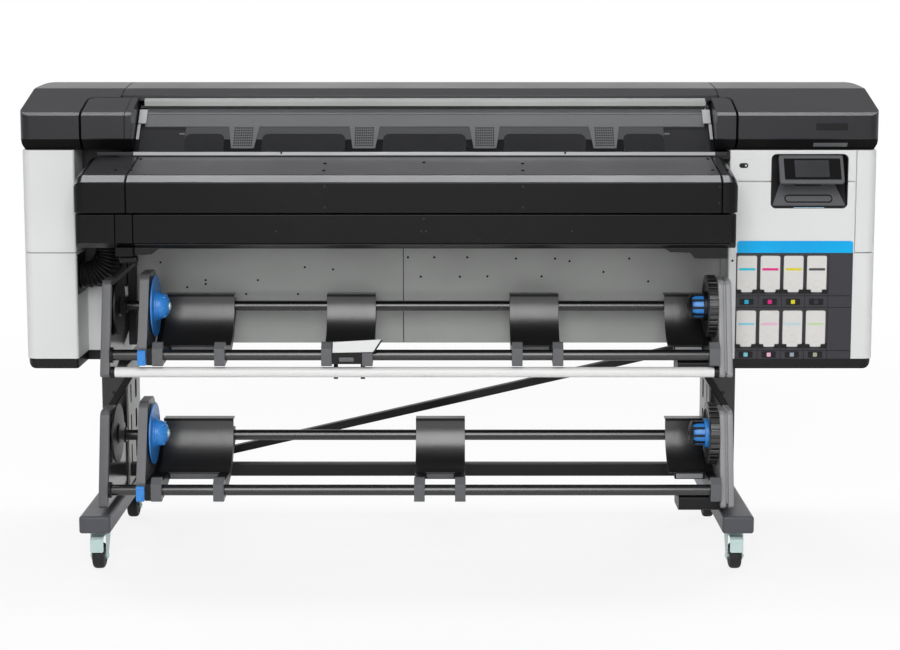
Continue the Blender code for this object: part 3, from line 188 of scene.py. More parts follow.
@contextmanager
def editing(piece: Piece, kind: str = "FACE") -> Iterator[bmesh.types.BMesh]:
    """Edit mode on one piece with nothing selected.

    Args:
        piece: The piece to edit.
        kind: VERT, EDGE or FACE, the kind of element that is selected.

    Returns:
        The edit mesh, good until the next operator.
    """
    choose(piece)
    bpy.ops.object.mode_set(mode="EDIT")
    bpy.ops.mesh.select_mode(type=kind)
    bpy.ops.mesh.select_all(action="DESELECT")
    yield bmesh.from_edit_mesh(piece.data)
    bpy.ops.object.mode_set(mode="OBJECT")


def close_up(piece: Piece) -> None:
    """Merge doubled points and turn every face outward."""
    with editing(piece):
        bpy.ops.mesh.select_all(action="SELECT")
        bpy.ops.mesh.remove_doubles(threshold=MERGE)
        bpy.ops.mesh.normals_make_consistent(inside=False)


def named(name: str) -> Piece:
    """Give the piece that was just added its name."""
    piece = bpy.context.object
    piece.name = name
    piece.data.name = name
    return piece


def drawn(name: str, outline: Sequence[Pair], axis: Axis, start: float, end: float) -> Piece:
    """A body with a flat outline, drawn out along an axis.

    Args:
        name: Name of the piece.
        outline: Corners in the plane across the axis.
        axis: The axis to draw along.
        start: Where the body starts on the axis.
        end: Where it ends.

    Returns:
        The closed body.
    """
    deselect()
    bpy.ops.mesh.primitive_circle_add(vertices=len(outline), fill_type="NGON", location=(0, 0, 0))
    piece = named(name)
    for vertex, (u, v) in zip(piece.data.vertices, outline):
        vertex.co = axis.at(u, v, start)
    with editing(piece):
        bpy.ops.mesh.select_all(action="SELECT")
        bpy.ops.mesh.extrude_region_move(TRANSFORM_OT_translate={"value": axis.at(0, 0, end - start)})
        bpy.ops.mesh.select_all(action="SELECT")
        bpy.ops.mesh.normals_make_consistent(inside=False)
    return piece


def block(name: str, low: Sequence[float], high: Sequence[float]) -> Piece:
    """A box between two corners, to be shaped further.

    Args:
        name: Name of the piece.
        low: Lowest corner.
        high: Highest corner.

    Returns:
        The box.
    """
    deselect()
    bpy.ops.mesh.primitive_cube_add(size=1.0, location=(0, 0, 0))
    piece = named(name)
    size = Vector(high) - Vector(low)
    middle = (Vector(high) + Vector(low)) / 2
    for vertex in piece.data.vertices:
        vertex.co = middle + Vector(part * length for part, length in zip(vertex.co, size))
    return piece


def arc(centre: Pair, radius: float, start: float, end: float, steps: int) -> list[Pair]:
    """Points on an arc, both ends included."""
    angles = [math.radians(start + (end - start) * step / steps) for step in range(steps + 1)]
    return [(centre[0] + radius * math.cos(turn), centre[1] + radius * math.sin(turn)) for turn in angles]


def ring(centre: Pair, radius: float, sides: int) -> list[Pair]:
    """A round outline with that many sides."""
    return arc(centre, radius, 0, 360, sides)[:-1]


def rounded(points: Sequence[Pair], radii: float | Sequence[float], steps: int = 6) -> list[Pair]:
    """An outline with its corners rounded.

    Args:
        points: Corners in order.
        radii: One radius for all corners, or one for each.
        steps: Steps in each rounded corner.

    Returns:
        The outline's points.
    """
    each = [radii] * len(points) if isinstance(radii, (int, float)) else list(radii)
    outline: list[Pair] = []
    for index, radius in enumerate(each):
        corner = Vector(points[index])
        if radius <= 0:
            outline.append(tuple(corner))
            continue
        back = (Vector(points[index - 1]) - corner).normalized()
        ahead = (Vector(points[(index + 1) % len(points)]) - corner).normalized()
        half = back.angle(ahead) / 2
        middle = corner + (back + ahead).normalized() * radius / math.sin(half)
        first = corner + back * radius / math.tan(half) - middle
        sweep = -first.angle_signed(corner + ahead * radius / math.tan(half) - middle)
        begin = math.atan2(first.y, first.x)
        for step in range(steps + 1):
            turn = begin + sweep * step / steps
            outline.append((middle.x + radius * math.cos(turn), middle.y + radius * math.sin(turn)))
    return outline


def rectangle(low: Pair, high: Pair, radius: float, steps: int = 6) -> list[Pair]:
    """A rectangle's outline with rounded corners."""
    return rounded([low, (high[0], low[1]), high, (low[0], high[1])], radius, steps)


def sheet_outline(line: Sequence[Pair], wall: float) -> list[Pair]:
    """The outline of a bent sheet.

    Args:
        line: Corners along one face of the sheet.
        wall: Thickness, laid on the left of the line, or on its right if below zero.

    Returns:
        The closed outline.
    """
    points = [Vector(point) for point in line]
    ways = [(after - before).normalized() for before, after in zip(points, points[1:])]
    normals = [Vector((-way.y, way.x)) for way in ways]
    far = []
    for index, point in enumerate(points):
        before = normals[max(index - 1, 0)]
        after = normals[min(index, len(normals) - 1)]
        far.append(tuple(point + (before + after) * wall / (1 + before.dot(after))))
    return [tuple(point) for point in points] + far[::-1]


def rod(
    name: str, axis: Axis, centre: Pair, radius: float, start: float, end: float, sides: int = 48
) -> Piece:
    """A round bar along an axis, to be shaped further."""
    return drawn(name, ring(centre, radius, sides), axis, start, end)


def turned(
    name: str, profile: Sequence[Pair], axis: Axis, centre: Pair, steps: int = 64, closed: bool = False
) -> Piece:
    """A body turned about an axis.

    Args:
        name: Name of the piece.
        profile: (place along the axis, radius) in order.
        axis: The axis of turning.
        centre: Where the axis lies in the plane across it.
        steps: Facets round the axis.
        closed: Whether the profile's last point joins its first, as in a ring.

    Returns:
        The turned body.
    """
    deselect()
    bpy.ops.mesh.primitive_circle_add(vertices=len(profile), fill_type="NOTHING", location=(0, 0, 0))
    piece = named(name)
    for vertex, (along, radius) in zip(piece.data.vertices, profile):
        vertex.co = axis.at(centre[0] + radius, centre[1], along)
    ends = {0, len(profile) - 1}
    with editing(piece, "EDGE") as shape:
        if not closed:
            for edge in shape.edges:
                edge.select_set({vertex.index for vertex in edge.verts} == ends)
            bpy.ops.mesh.delete(type="EDGE")
        bpy.ops.mesh.select_all(action="SELECT")
        bpy.ops.mesh.spin(
            steps=steps, angle=2 * math.pi, center=axis.at(*centre, 0), axis=axis.at(0, 0, 1)
        )
    close_up(piece)
    return piece


def applied(piece: Piece, kind: str, **settings: object) -> Piece:
    """Add a modifier with these settings and apply it.

    Args:
        piece: The piece to change.
        kind: The modifier's type.
        settings: Its properties by name.

    Returns:
        The same piece.
    """
    step = piece.modifiers.new(kind.lower(), kind)
    for key, value in settings.items():
        setattr(step, key, value)
    choose(piece)
    bpy.ops.object.modifier_apply(modifier=step.name)
    return piece


def soften(piece: Piece, edge: Edge) -> Piece:
    """Give a piece's edges a rounding."""
    return applied(
        piece, "BEVEL", width=edge.width, segments=edge.steps, limit_method="ANGLE",
        angle_limit=math.radians(edge.turn), use_clamp_overlap=True,
    )


def round_edges(
    piece: Piece, width: float, segments: int, wanted: Callable[[Vector, Vector], bool]
) -> Piece:
    """Round the edges that a test picks.

    Args:
        piece: The piece to change.
        width: Width of the rounding.
        segments: Steps across it.
        wanted: Says of an edge's two ends whether it is rounded.

    Returns:
        The same piece.
    """
    with editing(piece, "EDGE") as shape:
        for edge in shape.edges:
            edge.select_set(wanted(edge.verts[0].co, edge.verts[1].co))
        bpy.ops.mesh.bevel(offset=width, segments=segments, affect="EDGES", clamp_overlap=True)
    return piece


def work(piece: Piece, how: Cut, *tools: Piece) -> Piece:
    """Cut a piece with tool bodies, which are used up.

    Args:
        piece: The piece to change.
        how: What the tools do.
        tools: Bodies that don't overlap each other.

    Returns:
        The same piece.
    """
    tool = together("tool", *tools)
    applied(piece, "BOOLEAN", operation=how.value, solver="EXACT", object=tool)
    discard(tool)
    return piece


def together(name: str, *pieces: Piece) -> Piece:
    """Join pieces into one object.

    Args:
        name: Name of the whole.
        pieces: Pieces to join.

    Returns:
        The whole.
    """
    choose(*pieces)
    if len(pieces) > 1:
        bpy.ops.object.join()
    return named(name)


def moved(piece: Piece, name: str, change: Matrix) -> Piece:
    """A copy with its own mesh, moved or mirrored.

    Args:
        piece: The piece to copy.
        name: Name of the copy.
        change: The move that its points get.

    Returns:
        The copy.
    """
    mesh = piece.data.copy()
    mesh.transform(change)
    if change.determinant() < 0:
        mesh.flip_normals()
    mesh.name = name
    twin = bpy.data.objects.new(name, mesh)
    bpy.context.collection.objects.link(twin)
    return twin


def shift(x: float = 0.0, y: float = 0.0, z: float = 0.0) -> Matrix:
    """The move by these distances."""
    return Matrix.Translation((x, y, z))


def spread(piece: Piece, name: str, moves: Sequence[Matrix]) -> Piece:
    """Copy a piece by each of some moves and join the copies.

    Args:
        piece: The piece, which is used up.
        name: Name of the whole.
        moves: The moves that the copies get.

    Returns:
        The whole.
    """
    copies = [moved(piece, "copy", move) for move in moves]
    discard(piece)
    return together(name, *copies)


def parted(piece: Piece, name: str, height: float) -> Piece:
    """Part a piece at a height.

    Args:
        piece: The piece, which keeps what lies above.
        name: Name of the part below.
        height: Where the cut runs.

    Returns:
        The part below.
    """
    below = moved(piece, name, Matrix.Identity(4))
    for part, upward in ((piece, 1), (below, -1)):
        with editing(part):
            bpy.ops.mesh.select_all(action="SELECT")
            bpy.ops.mesh.bisect(
                plane_co=(0, 0, height), plane_no=(0, 0, upward), use_fill=True, clear_inner=True
            )
    return below


@dataclass(frozen=True)
class ScrewHead:
    """A round screw head with a hexagon recess."""

    radius: float = 0.0042
    height: float = 0.0016
    recess: float = 0.0011
    sides: int = 18
    crown: float = 0.3
    rim: float = 0.18
    key_rim: float = 0.34

    def at(self, name: str, places: Sequence[Vector], facing: Vector) -> Piece:
        """One object with a head at each place.

        Args:
            name: Name of the object.
            places: Points on the surface under the heads.
            facing: The way that the heads look.

        Returns:
            The joined heads.
        """
        deselect()
        bpy.ops.mesh.primitive_cylinder_add(
            vertices=self.sides, radius=self.radius, depth=self.height * 2, location=(0, 0, 0)
        )
        head = named(name)
        with editing(head) as shape:
            for face in shape.faces:
                face.select_set(face.normal.z > 0.9)
            bpy.ops.mesh.inset(thickness=self.radius * self.rim)
            bpy.ops.transform.translate(value=(0, 0, self.height * self.crown))
            bpy.ops.mesh.inset(thickness=self.radius * self.key_rim)
            bpy.ops.mesh.extrude_region_move(
                TRANSFORM_OT_translate={"value": (0, 0, -self.recess)}
            )
        turn = facing.to_track_quat("Z", "Y").to_matrix().to_4x4()
        return spread(head, name, [Matrix.Translation(place) @ turn for place in places])


class Kind(Enum):
    """What a finish's relief looks like."""

    MOULDED = "moulded"
    BRUSHED = "brushed"
    SMOOTH = "smooth"


WIDE_SCALE = 3.5
FINE_SCALE = 420.0
FINE_SHARE = 0.35
TONE_RANGE = (0.45, 0.85)
BRUSH_STRETCH = (0.02, 1.0, 1.0)
COAT_ROUGHNESS = 0.12
ROUGHNESS_SPREAD = (0.92, 1.12)
RELIEF_SHARE = 0.3


def wire(group: bpy.types.NodeTree, kind: str, **values: object) -> bpy.types.Node:
    """Add a node and set its plain properties.

    Args:
        group: The tree to add to.
        kind: The node's type.
        values: Properties by name.

    Returns:
        The node.
    """
    node = group.nodes.new(kind)
    for key, value in values.items():
        setattr(node, key, value)
    return node


def new_group(
    name: str, inputs: dict[str, str], outputs: dict[str, str]
) -> tuple[bpy.types.NodeTree, bpy.types.Node, bpy.types.Node]:
    """An empty shader group with its sockets.

    Args:
        name: Name of the group.
        inputs: Socket types by name.
        outputs: Socket types by name.

    Returns:
        The group, its input node and its output node.
    """
    group = bpy.data.node_groups.new(name, "ShaderNodeTree")
    for label, kind in inputs.items():
        group.interface.new_socket(name=label, in_out="INPUT", socket_type=kind)
    for label, kind in outputs.items():
        group.interface.new_socket(name=label, in_out="OUTPUT", socket_type=kind)
    return group, group.nodes.new("NodeGroupInput"), group.nodes.new("NodeGroupOutput")


@cache
def tone_group() -> bpy.types.NodeTree:
    """Slow drift of colour and roughness over a surface, with fine specks."""
    group, source, result = new_group(
        "surface_tone",
        {
            "Vector": "NodeSocketVector", "Colour": "NodeSocketColor", "Worn": "NodeSocketColor",
            "Low": "NodeSocketFloat", "High": "NodeSocketFloat",
        },
        {"Colour": "NodeSocketColor", "Roughness": "NodeSocketFloat"},
    )
    wide = wire(group, "ShaderNodeTexNoise")
    fine = wire(group, "ShaderNodeTexNoise")
    for node, scale, detail in ((wide, WIDE_SCALE, 4.0), (fine, FINE_SCALE, 2.0)):
        node.inputs["Scale"].default_value = scale
        node.inputs["Detail"].default_value = detail
        group.links.new(source.outputs["Vector"], node.inputs["Vector"])
    blend = wire(group, "ShaderNodeMath", operation="MULTIPLY_ADD")
    blend.inputs[1].default_value = FINE_SHARE
    spread_out = wire(group, "ShaderNodeMapRange")
    spread_out.inputs["From Min"].default_value, spread_out.inputs["From Max"].default_value = TONE_RANGE
    mix = wire(group, "ShaderNodeMix", data_type="RGBA")
    rough = wire(group, "ShaderNodeMapRange")
    for start, end in (
        (fine.outputs["Fac"], blend.inputs[0]), (wide.outputs["Fac"], blend.inputs[2]),
        (blend.outputs[0], spread_out.inputs["Value"]), (spread_out.outputs["Result"], mix.inputs["Factor"]),
        (source.outputs["Colour"], mix.inputs["A"]), (source.outputs["Worn"], mix.inputs["B"]),
        (spread_out.outputs["Result"], rough.inputs["Value"]),
        (source.outputs["Low"], rough.inputs["To Min"]), (source.outputs["High"], rough.inputs["To Max"]),
        (mix.outputs["Result"], result.inputs["Colour"]),
        (rough.outputs["Result"], result.inputs["Roughness"]),
    ):
        group.links.new(start, end)
    return group


@cache
def relief_group(kind: Kind) -> bpy.types.NodeTree:
    """The height of a surface's fine relief.

    Args:
        kind: Moulded grain, brushed lines, or faint waviness on a smooth surface.

    Returns:
        A group with a Vector and a Scale in and a Height out.
    """
    group, source, result = new_group(
        f"{kind.value}_relief",
        {"Vector": "NodeSocketVector", "Scale": "NodeSocketFloat"},
        {"Height": "NodeSocketFloat"},
    )
    stretch = wire(group, "ShaderNodeVectorMath", operation="MULTIPLY")
    stretch.inputs[1].default_value = BRUSH_STRETCH if kind is Kind.BRUSHED else (1.0, 1.0, 1.0)
    noise = wire(group, "ShaderNodeTexNoise")
    noise.inputs["Detail"].default_value = 1.0 if kind is Kind.SMOOTH else 3.0
    links = group.links
    links.new(source.outputs["Vector"], stretch.inputs[0])
    links.new(stretch.outputs[0], noise.inputs["Vector"])
    links.new(source.outputs["Scale"], noise.inputs["Scale"])
    if kind is Kind.MOULDED:
        cells = wire(group, "ShaderNodeTexVoronoi", feature="SMOOTH_F1")
        add = wire(group, "ShaderNodeMath", operation="ADD")
        links.new(source.outputs["Vector"], cells.inputs["Vector"])
        links.new(source.outputs["Scale"], cells.inputs["Scale"])
        links.new(cells.outputs["Distance"], add.inputs[0])
        links.new(noise.outputs["Fac"], add.inputs[1])
        links.new(add.outputs[0], result.inputs["Height"])
    else:
        links.new(noise.outputs["Fac"], result.inputs["Height"])
    return group


@dataclass(frozen=True)
class Finish:
    """One surface finish: its slot name, colour, gloss and relief."""

    name: str
    slot: str
    colour: Triple
    roughness: float
    metallic: float = 0.0
    kind: Kind = Kind.MOULDED
    relief: float = 0.12
    relief_size: float = 0.0011
    drift: float = 0.10
    worn: Triple | None = None
    coat: float = 0.0
    alpha: float = 1.0
    specular: float = 0.5
    glow: float = 0.0

    def material(self) -> bpy.types.Material:
        """The finish as a material, made once."""
        return bpy.data.materials.get(self.name) or self.build()

    def build(self) -> bpy.types.Material:
        """Wire the finish: tone into colour and roughness, relief into the normal.

        Returns:
            The new material.
        """
        material = bpy.data.materials.new(self.name)
        material.use_nodes = True
        tree = material.node_tree
        shader = tree.nodes["Principled BSDF"]
        shader.inputs["Metallic"].default_value = self.metallic
        shader.inputs["Coat Weight"].default_value = self.coat
        shader.inputs["Coat Roughness"].default_value = COAT_ROUGHNESS
        shader.inputs["Alpha"].default_value = self.alpha
        shader.inputs["Specular IOR Level"].default_value = self.specular
        place = wire(tree, "ShaderNodeTexCoord")
        tone = wire(tree, "ShaderNodeGroup", node_tree=tone_group())
        worn = self.worn or tuple(channel * (1 - self.drift) for channel in self.colour)
        tone.inputs["Colour"].default_value = (*self.colour, 1)
        tone.inputs["Worn"].default_value = (*worn, 1)
        low, high = ROUGHNESS_SPREAD
        tone.inputs["Low"].default_value = self.roughness * low
        tone.inputs["High"].default_value = min(self.roughness * high, 1.0)
        relief = wire(tree, "ShaderNodeGroup", node_tree=relief_group(self.kind))
        relief.inputs["Scale"].default_value = 1 / self.relief_size
        bump = wire(tree, "ShaderNodeBump")
        bump.inputs["Strength"].default_value = self.relief
        bump.inputs["Distance"].default_value = self.relief_size * RELIEF_SHARE
        links = tree.links
        links.new(place.outputs["Object"], tone.inputs["Vector"])
        links.new(place.outputs["Object"], relief.inputs["Vector"])
        links.new(tone.outputs["Colour"], shader.inputs["Base Color"])
        links.new(tone.outputs["Roughness"], shader.inputs["Roughness"])
        links.new(relief.outputs["Height"], bump.inputs["Height"])
        links.new(bump.outputs["Normal"], shader.inputs["Normal"])
        if self.glow:
            links.new(tone.outputs["Colour"], shader.inputs["Emission Color"])
            shader.inputs["Emission Strength"].default_value = self.glow
        return material


class Finishes:
    """Every finish on the printer."""

    WHITE = Finish("white_panel_paint", "white_panel", linear(231, 232, 232), 0.42, relief=0.05, drift=0.03)
    DARK = Finish("dark_cover_plastic", "dark_cover", linear(46, 46, 49), 0.30, relief=0.08, specular=0.38)
    # Darkened copy of the dark cover plastic for the front cover and fascia: painted shade on their forward
    # faces.
    SHADED_FRONT = Finish("front_cover_painted_shade", "dark_cover", linear(21, 21, 23), 0.25, relief=0.06, specular=0.20)
    # Lightened copy of the dark cover plastic for the front slope: painted light where it faces up.
    LIT_SLOPE = Finish("front_slope_painted_light", "dark_cover", linear(66, 66, 68), 0.36, relief=0.08, specular=0.4)
    BLACK = Finish("black_moulding", "black_plastic", linear(20, 20, 22), 0.38, relief=0.12, specular=0.3)
    # Matt black for the slope screws and for the black trims and sheets that paint shade.
    MATT_AND_SHADE = Finish(
        "matt_black_and_painted_shade", "black_plastic", linear(12, 12, 13), 0.60, relief=0.12, specular=0.12
    )
    GLOSS = Finish(
        "glossy_black_moulding", "black_plastic", linear(32, 32, 33), 0.31, kind=Kind.SMOOTH,
        relief=0.03, relief_size=0.02, specular=1.0,
    )
    GREY = Finish("grey_moulding", "grey_plastic", linear(98, 99, 102), 0.36, relief=0.12)
    MID_GREY = Finish("mid_grey_moulding", "grey_plastic", linear(148, 149, 151), 0.42, relief=0.10)
    LIGHT_GREY = Finish("light_grey_moulding", "grey_plastic", linear(158, 159, 161), 0.42, relief=0.10)
    BAY = Finish("bay_moulding", "grey_plastic", linear(57, 56, 62), 0.46, relief=0.14, specular=0.4)
    STAND = Finish("stand_powder_coat", "stand_paint", linear(84, 85, 91), 0.36, 0.2, relief=0.20)
    CASTING = Finish("dark_casting", "stand_paint", linear(98, 98, 101), 0.30, relief=0.10)
    PLATE = Finish("light_casting", "stand_paint", linear(150, 150, 152), 0.30, relief=0.10)
    BLACK_PAINT = Finish(
        "black_powder_coat", "black_paint", linear(24, 24, 26), 0.20, relief=0.06, specular=0.7
    )
    RAIL = Finish("rail_powder_coat", "black_paint", linear(20, 20, 22), 0.25, relief=0.04, specular=1.0)
    SHEET = Finish(
        "zinc_coated_sheet", "sheet_metal", linear(164, 166, 164), 0.46, 0.3, relief=0.05,
        relief_size=0.004, drift=0.12,
    )
    SILVER = Finish(
        "brushed_aluminium", "aluminium", linear(188, 189, 191), 0.34, 0.4, kind=Kind.BRUSHED,
        relief=0.08, relief_size=0.0008,
    )
    ZINC = Finish(
        "zinc_plating", "zinc", linear(222, 242, 240), 0.34, 0.35, kind=Kind.SMOOTH, relief=0.06,
        relief_size=0.004, worn=linear(196, 220, 217),
    )
    RUBBER = Finish("tyre_rubber", "rubber", linear(28, 28, 29), 0.62, relief=0.2, relief_size=0.0006)
    HOSE = Finish("hose_plastic", "rubber", linear(26, 26, 28), 0.34, relief=0.08)
    BLUE = Finish("blue_moulding", "blue_plastic", linear(56, 142, 224), 0.32, relief=0.08, drift=0.06)
    STRIP = Finish(
        "blue_strip_film", "blue_plastic", linear(0, 188, 250), 0.34, kind=Kind.SMOOTH, relief=0.03,
        relief_size=0.01, worn=linear(0, 164, 234), specular=0.3,
    )
    CARTRIDGE = Finish(
        "cartridge_shell", "cartridge_plastic", linear(226, 224, 221), 0.46, relief=0.06, drift=0.03
    )
    GLASS = Finish(
        "smoked_pane", "smoked_glass", linear(44, 45, 47), 0.06, kind=Kind.SMOOTH, relief=0.01,
        relief_size=0.05, alpha=0.22,
    )
    SCREEN = Finish(
        "screen_glass", "smoked_glass", linear(14, 14, 16), 0.10, kind=Kind.SMOOTH, relief=0.01,
        relief_size=0.05,
    )
    BAR = Finish("white_bar_coat", "bar_white", linear(236, 236, 235), 0.32, relief=0.05, drift=0.02)
    STEEL = Finish("screw_steel", "zinc", linear(40, 40, 43), 0.34, 0.4, kind=Kind.SMOOTH, relief=0.05)


def dress(piece: Piece, finish: Finish, body: str = CARRIER, *nodes: str, turn: float = 32) -> Piece:
    """Give a finished piece its shading, material and place in the model.

    Args:
        piece: The piece.
        finish: Its finish.
        body: The CAD body that it moves with.
        nodes: CAD nodes that it stands for.
        turn: Least turn of an edge that stays crisp, in degrees.

    Returns:
        The same piece.
    """
    choose(piece)
    bpy.ops.object.shade_smooth_by_angle(angle=math.radians(turn))
    applied(piece, "WEIGHTED_NORMAL", keep_sharp=True, weight=60)
    piece.data.materials.clear()
    piece.data.materials.append(finish.material())
    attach(piece, body)
    if nodes:
        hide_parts(*nodes)
    LOG.info("%s in %s on %s", piece.name, finish.name, body)
    return piece


def refinish(node: str, finish: Finish) -> None:
    """Give a CAD node that stays on show a full finish."""
    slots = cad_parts[node].data.materials
    slots.clear()
    slots.append(finish.material())
    LOG.info("%s kept, in %s", node, finish.name)


def shaped(
    name: str, outline: Sequence[Pair], axis: Axis, ends: Pair, edge: Edge, finish: Finish,
    body: str = CARRIER, *nodes: str,
) -> Piece:
    """A drawn body with rounded edges, dressed."""
    return dress(soften(drawn(name, outline, axis, *ends), edge), finish, body, *nodes)


def boxed(
    name: str, low: Sequence[float], high: Sequence[float], edge: Edge, finish: Finish,
    body: str = CARRIER,
) -> Piece:
    """A box with rounded edges, dressed."""
    return dress(soften(block(name, low, high), edge), finish, body)


def round_base(base: Piece, floor: Span, outer: float, inner: float, radius: float) -> None:
    """Round the lower outer edge of a module's base trim.

    Args:
        base: The trim.
        floor: Where it lies in height.
        outer: X of its outer end.
        inner: X at its inner end.
        radius: Radius of the rounding.
    """
    far = inner + math.copysign(REACH, inner - outer)
    outer -= math.copysign(TINY, inner - outer)
    low, high = floor.low.z, floor.high.z + REACH
    outline = rounded([(outer, low), (far, low), (far, high), (outer, high)], [radius, 0, 0, 0], 8)
    work(base, Cut.KEEP, drawn("base_ends", outline, Axis.Y, -SKY, SKY))
    soften(base, Edges.BASE)


@dataclass(frozen=True)
class LeftModule:
    """The narrow end module with the pocket that the hose leaves from."""

    corner: float = 0.030
    rear_corner: float = 0.012
    inner_corner: float = 0.008
    pocket_corner: float = 0.004
    rim_corner: float = 0.003
    seam_height: float = 0.9085
    base_inset: float = 0.003
    base_round: float = 0.026
    port_depth: float = 0.0018
    port_height: float = 0.130
    port_inset: float = 0.012
    port_corner: float = 0.008
    post_lap: float = 0.0045
    post_reach: float = 0.020
    post_gap: float = 0.007
    shade_block_gap: float = 0.004
    shade_block_inset: float = 0.006

    def plan(self, inset: float = 0.0) -> list[Pair]:
        """The module's outline seen from above, drawn in by an inset."""
        span = Span.of("left_module_shell")
        wall = Span.of("air_hose").low.x - inset
        pocket = Span.of("media_pan").low.y + inset
        low, high = span.low, span.high
        points = [
            (low.x + inset, high.y - inset), (low.x + inset, low.y + inset), (wall, low.y + inset),
            (wall, pocket), (high.x - inset, pocket), (high.x - inset, high.y - inset),
        ]
        radii = [self.rear_corner, self.corner, self.inner_corner, self.pocket_corner]
        return rounded(points, [*radii, self.rim_corner, self.rim_corner])

    def build(self) -> None:
        """Model both white panels, the base trim, the hose's port and the black block that paints the shade
        in the pocket.
        """
        span, floor = Span.of("left_module_shell"), Span.of("left_module_base")
        half = PANEL_GAP / 2
        lower = (span.low.z, self.seam_height - half)
        upper = (self.seam_height + half, span.high.z - TINY)
        white = Finishes.WHITE
        node = "left_module_shell"
        shaped("left_module_lower", self.plan(), Axis.Z, lower, Edges.CASE, white, CARRIER, node)
        shaped("left_module_upper", self.plan(), Axis.Z, upper, Edges.CASE, white)
        base = drawn("left_module_trim", self.plan(self.base_inset), Axis.Z, floor.low.z, floor.high.z)
        round_base(base, floor, span.low.x + self.base_inset, span.high.x, self.base_round)
        dress(base, Finishes.BLACK, CARRIER, "left_module_base")
        hose, pan = Span.of("air_hose"), Span.of("media_pan")
        wall = hose.low.x
        port = rectangle(
            (span.low.y + self.port_inset, self.seam_height - self.port_height),
            (hose.high.y + self.port_inset, self.seam_height - self.port_corner), self.port_corner,
        )
        depth = (wall - self.port_depth, wall + self.port_depth)
        shaped("hose_port", port, Axis.X, depth, Edges.CARD, Finishes.BLACK)
        boxed(
            "hose_post", (span.high.x - self.post_lap, hose.high.y + self.post_gap, pan.low.z),
            (span.high.x + self.post_reach, pan.low.y - TINY, hose.high.z), Edges.BLOCK, Finishes.BLACK,
        )
        # A black block paints the shade in the pocket behind the hose.
        boxed(
            "pocket_liner", (wall + TINY, hose.high.y + self.shade_block_gap, hose.low.z - self.port_depth),
            (span.high.x - self.shade_block_inset, pan.low.y - TINY, span.high.z - TINY),
            Edges.BLOCK, Finishes.BLACK,
        )


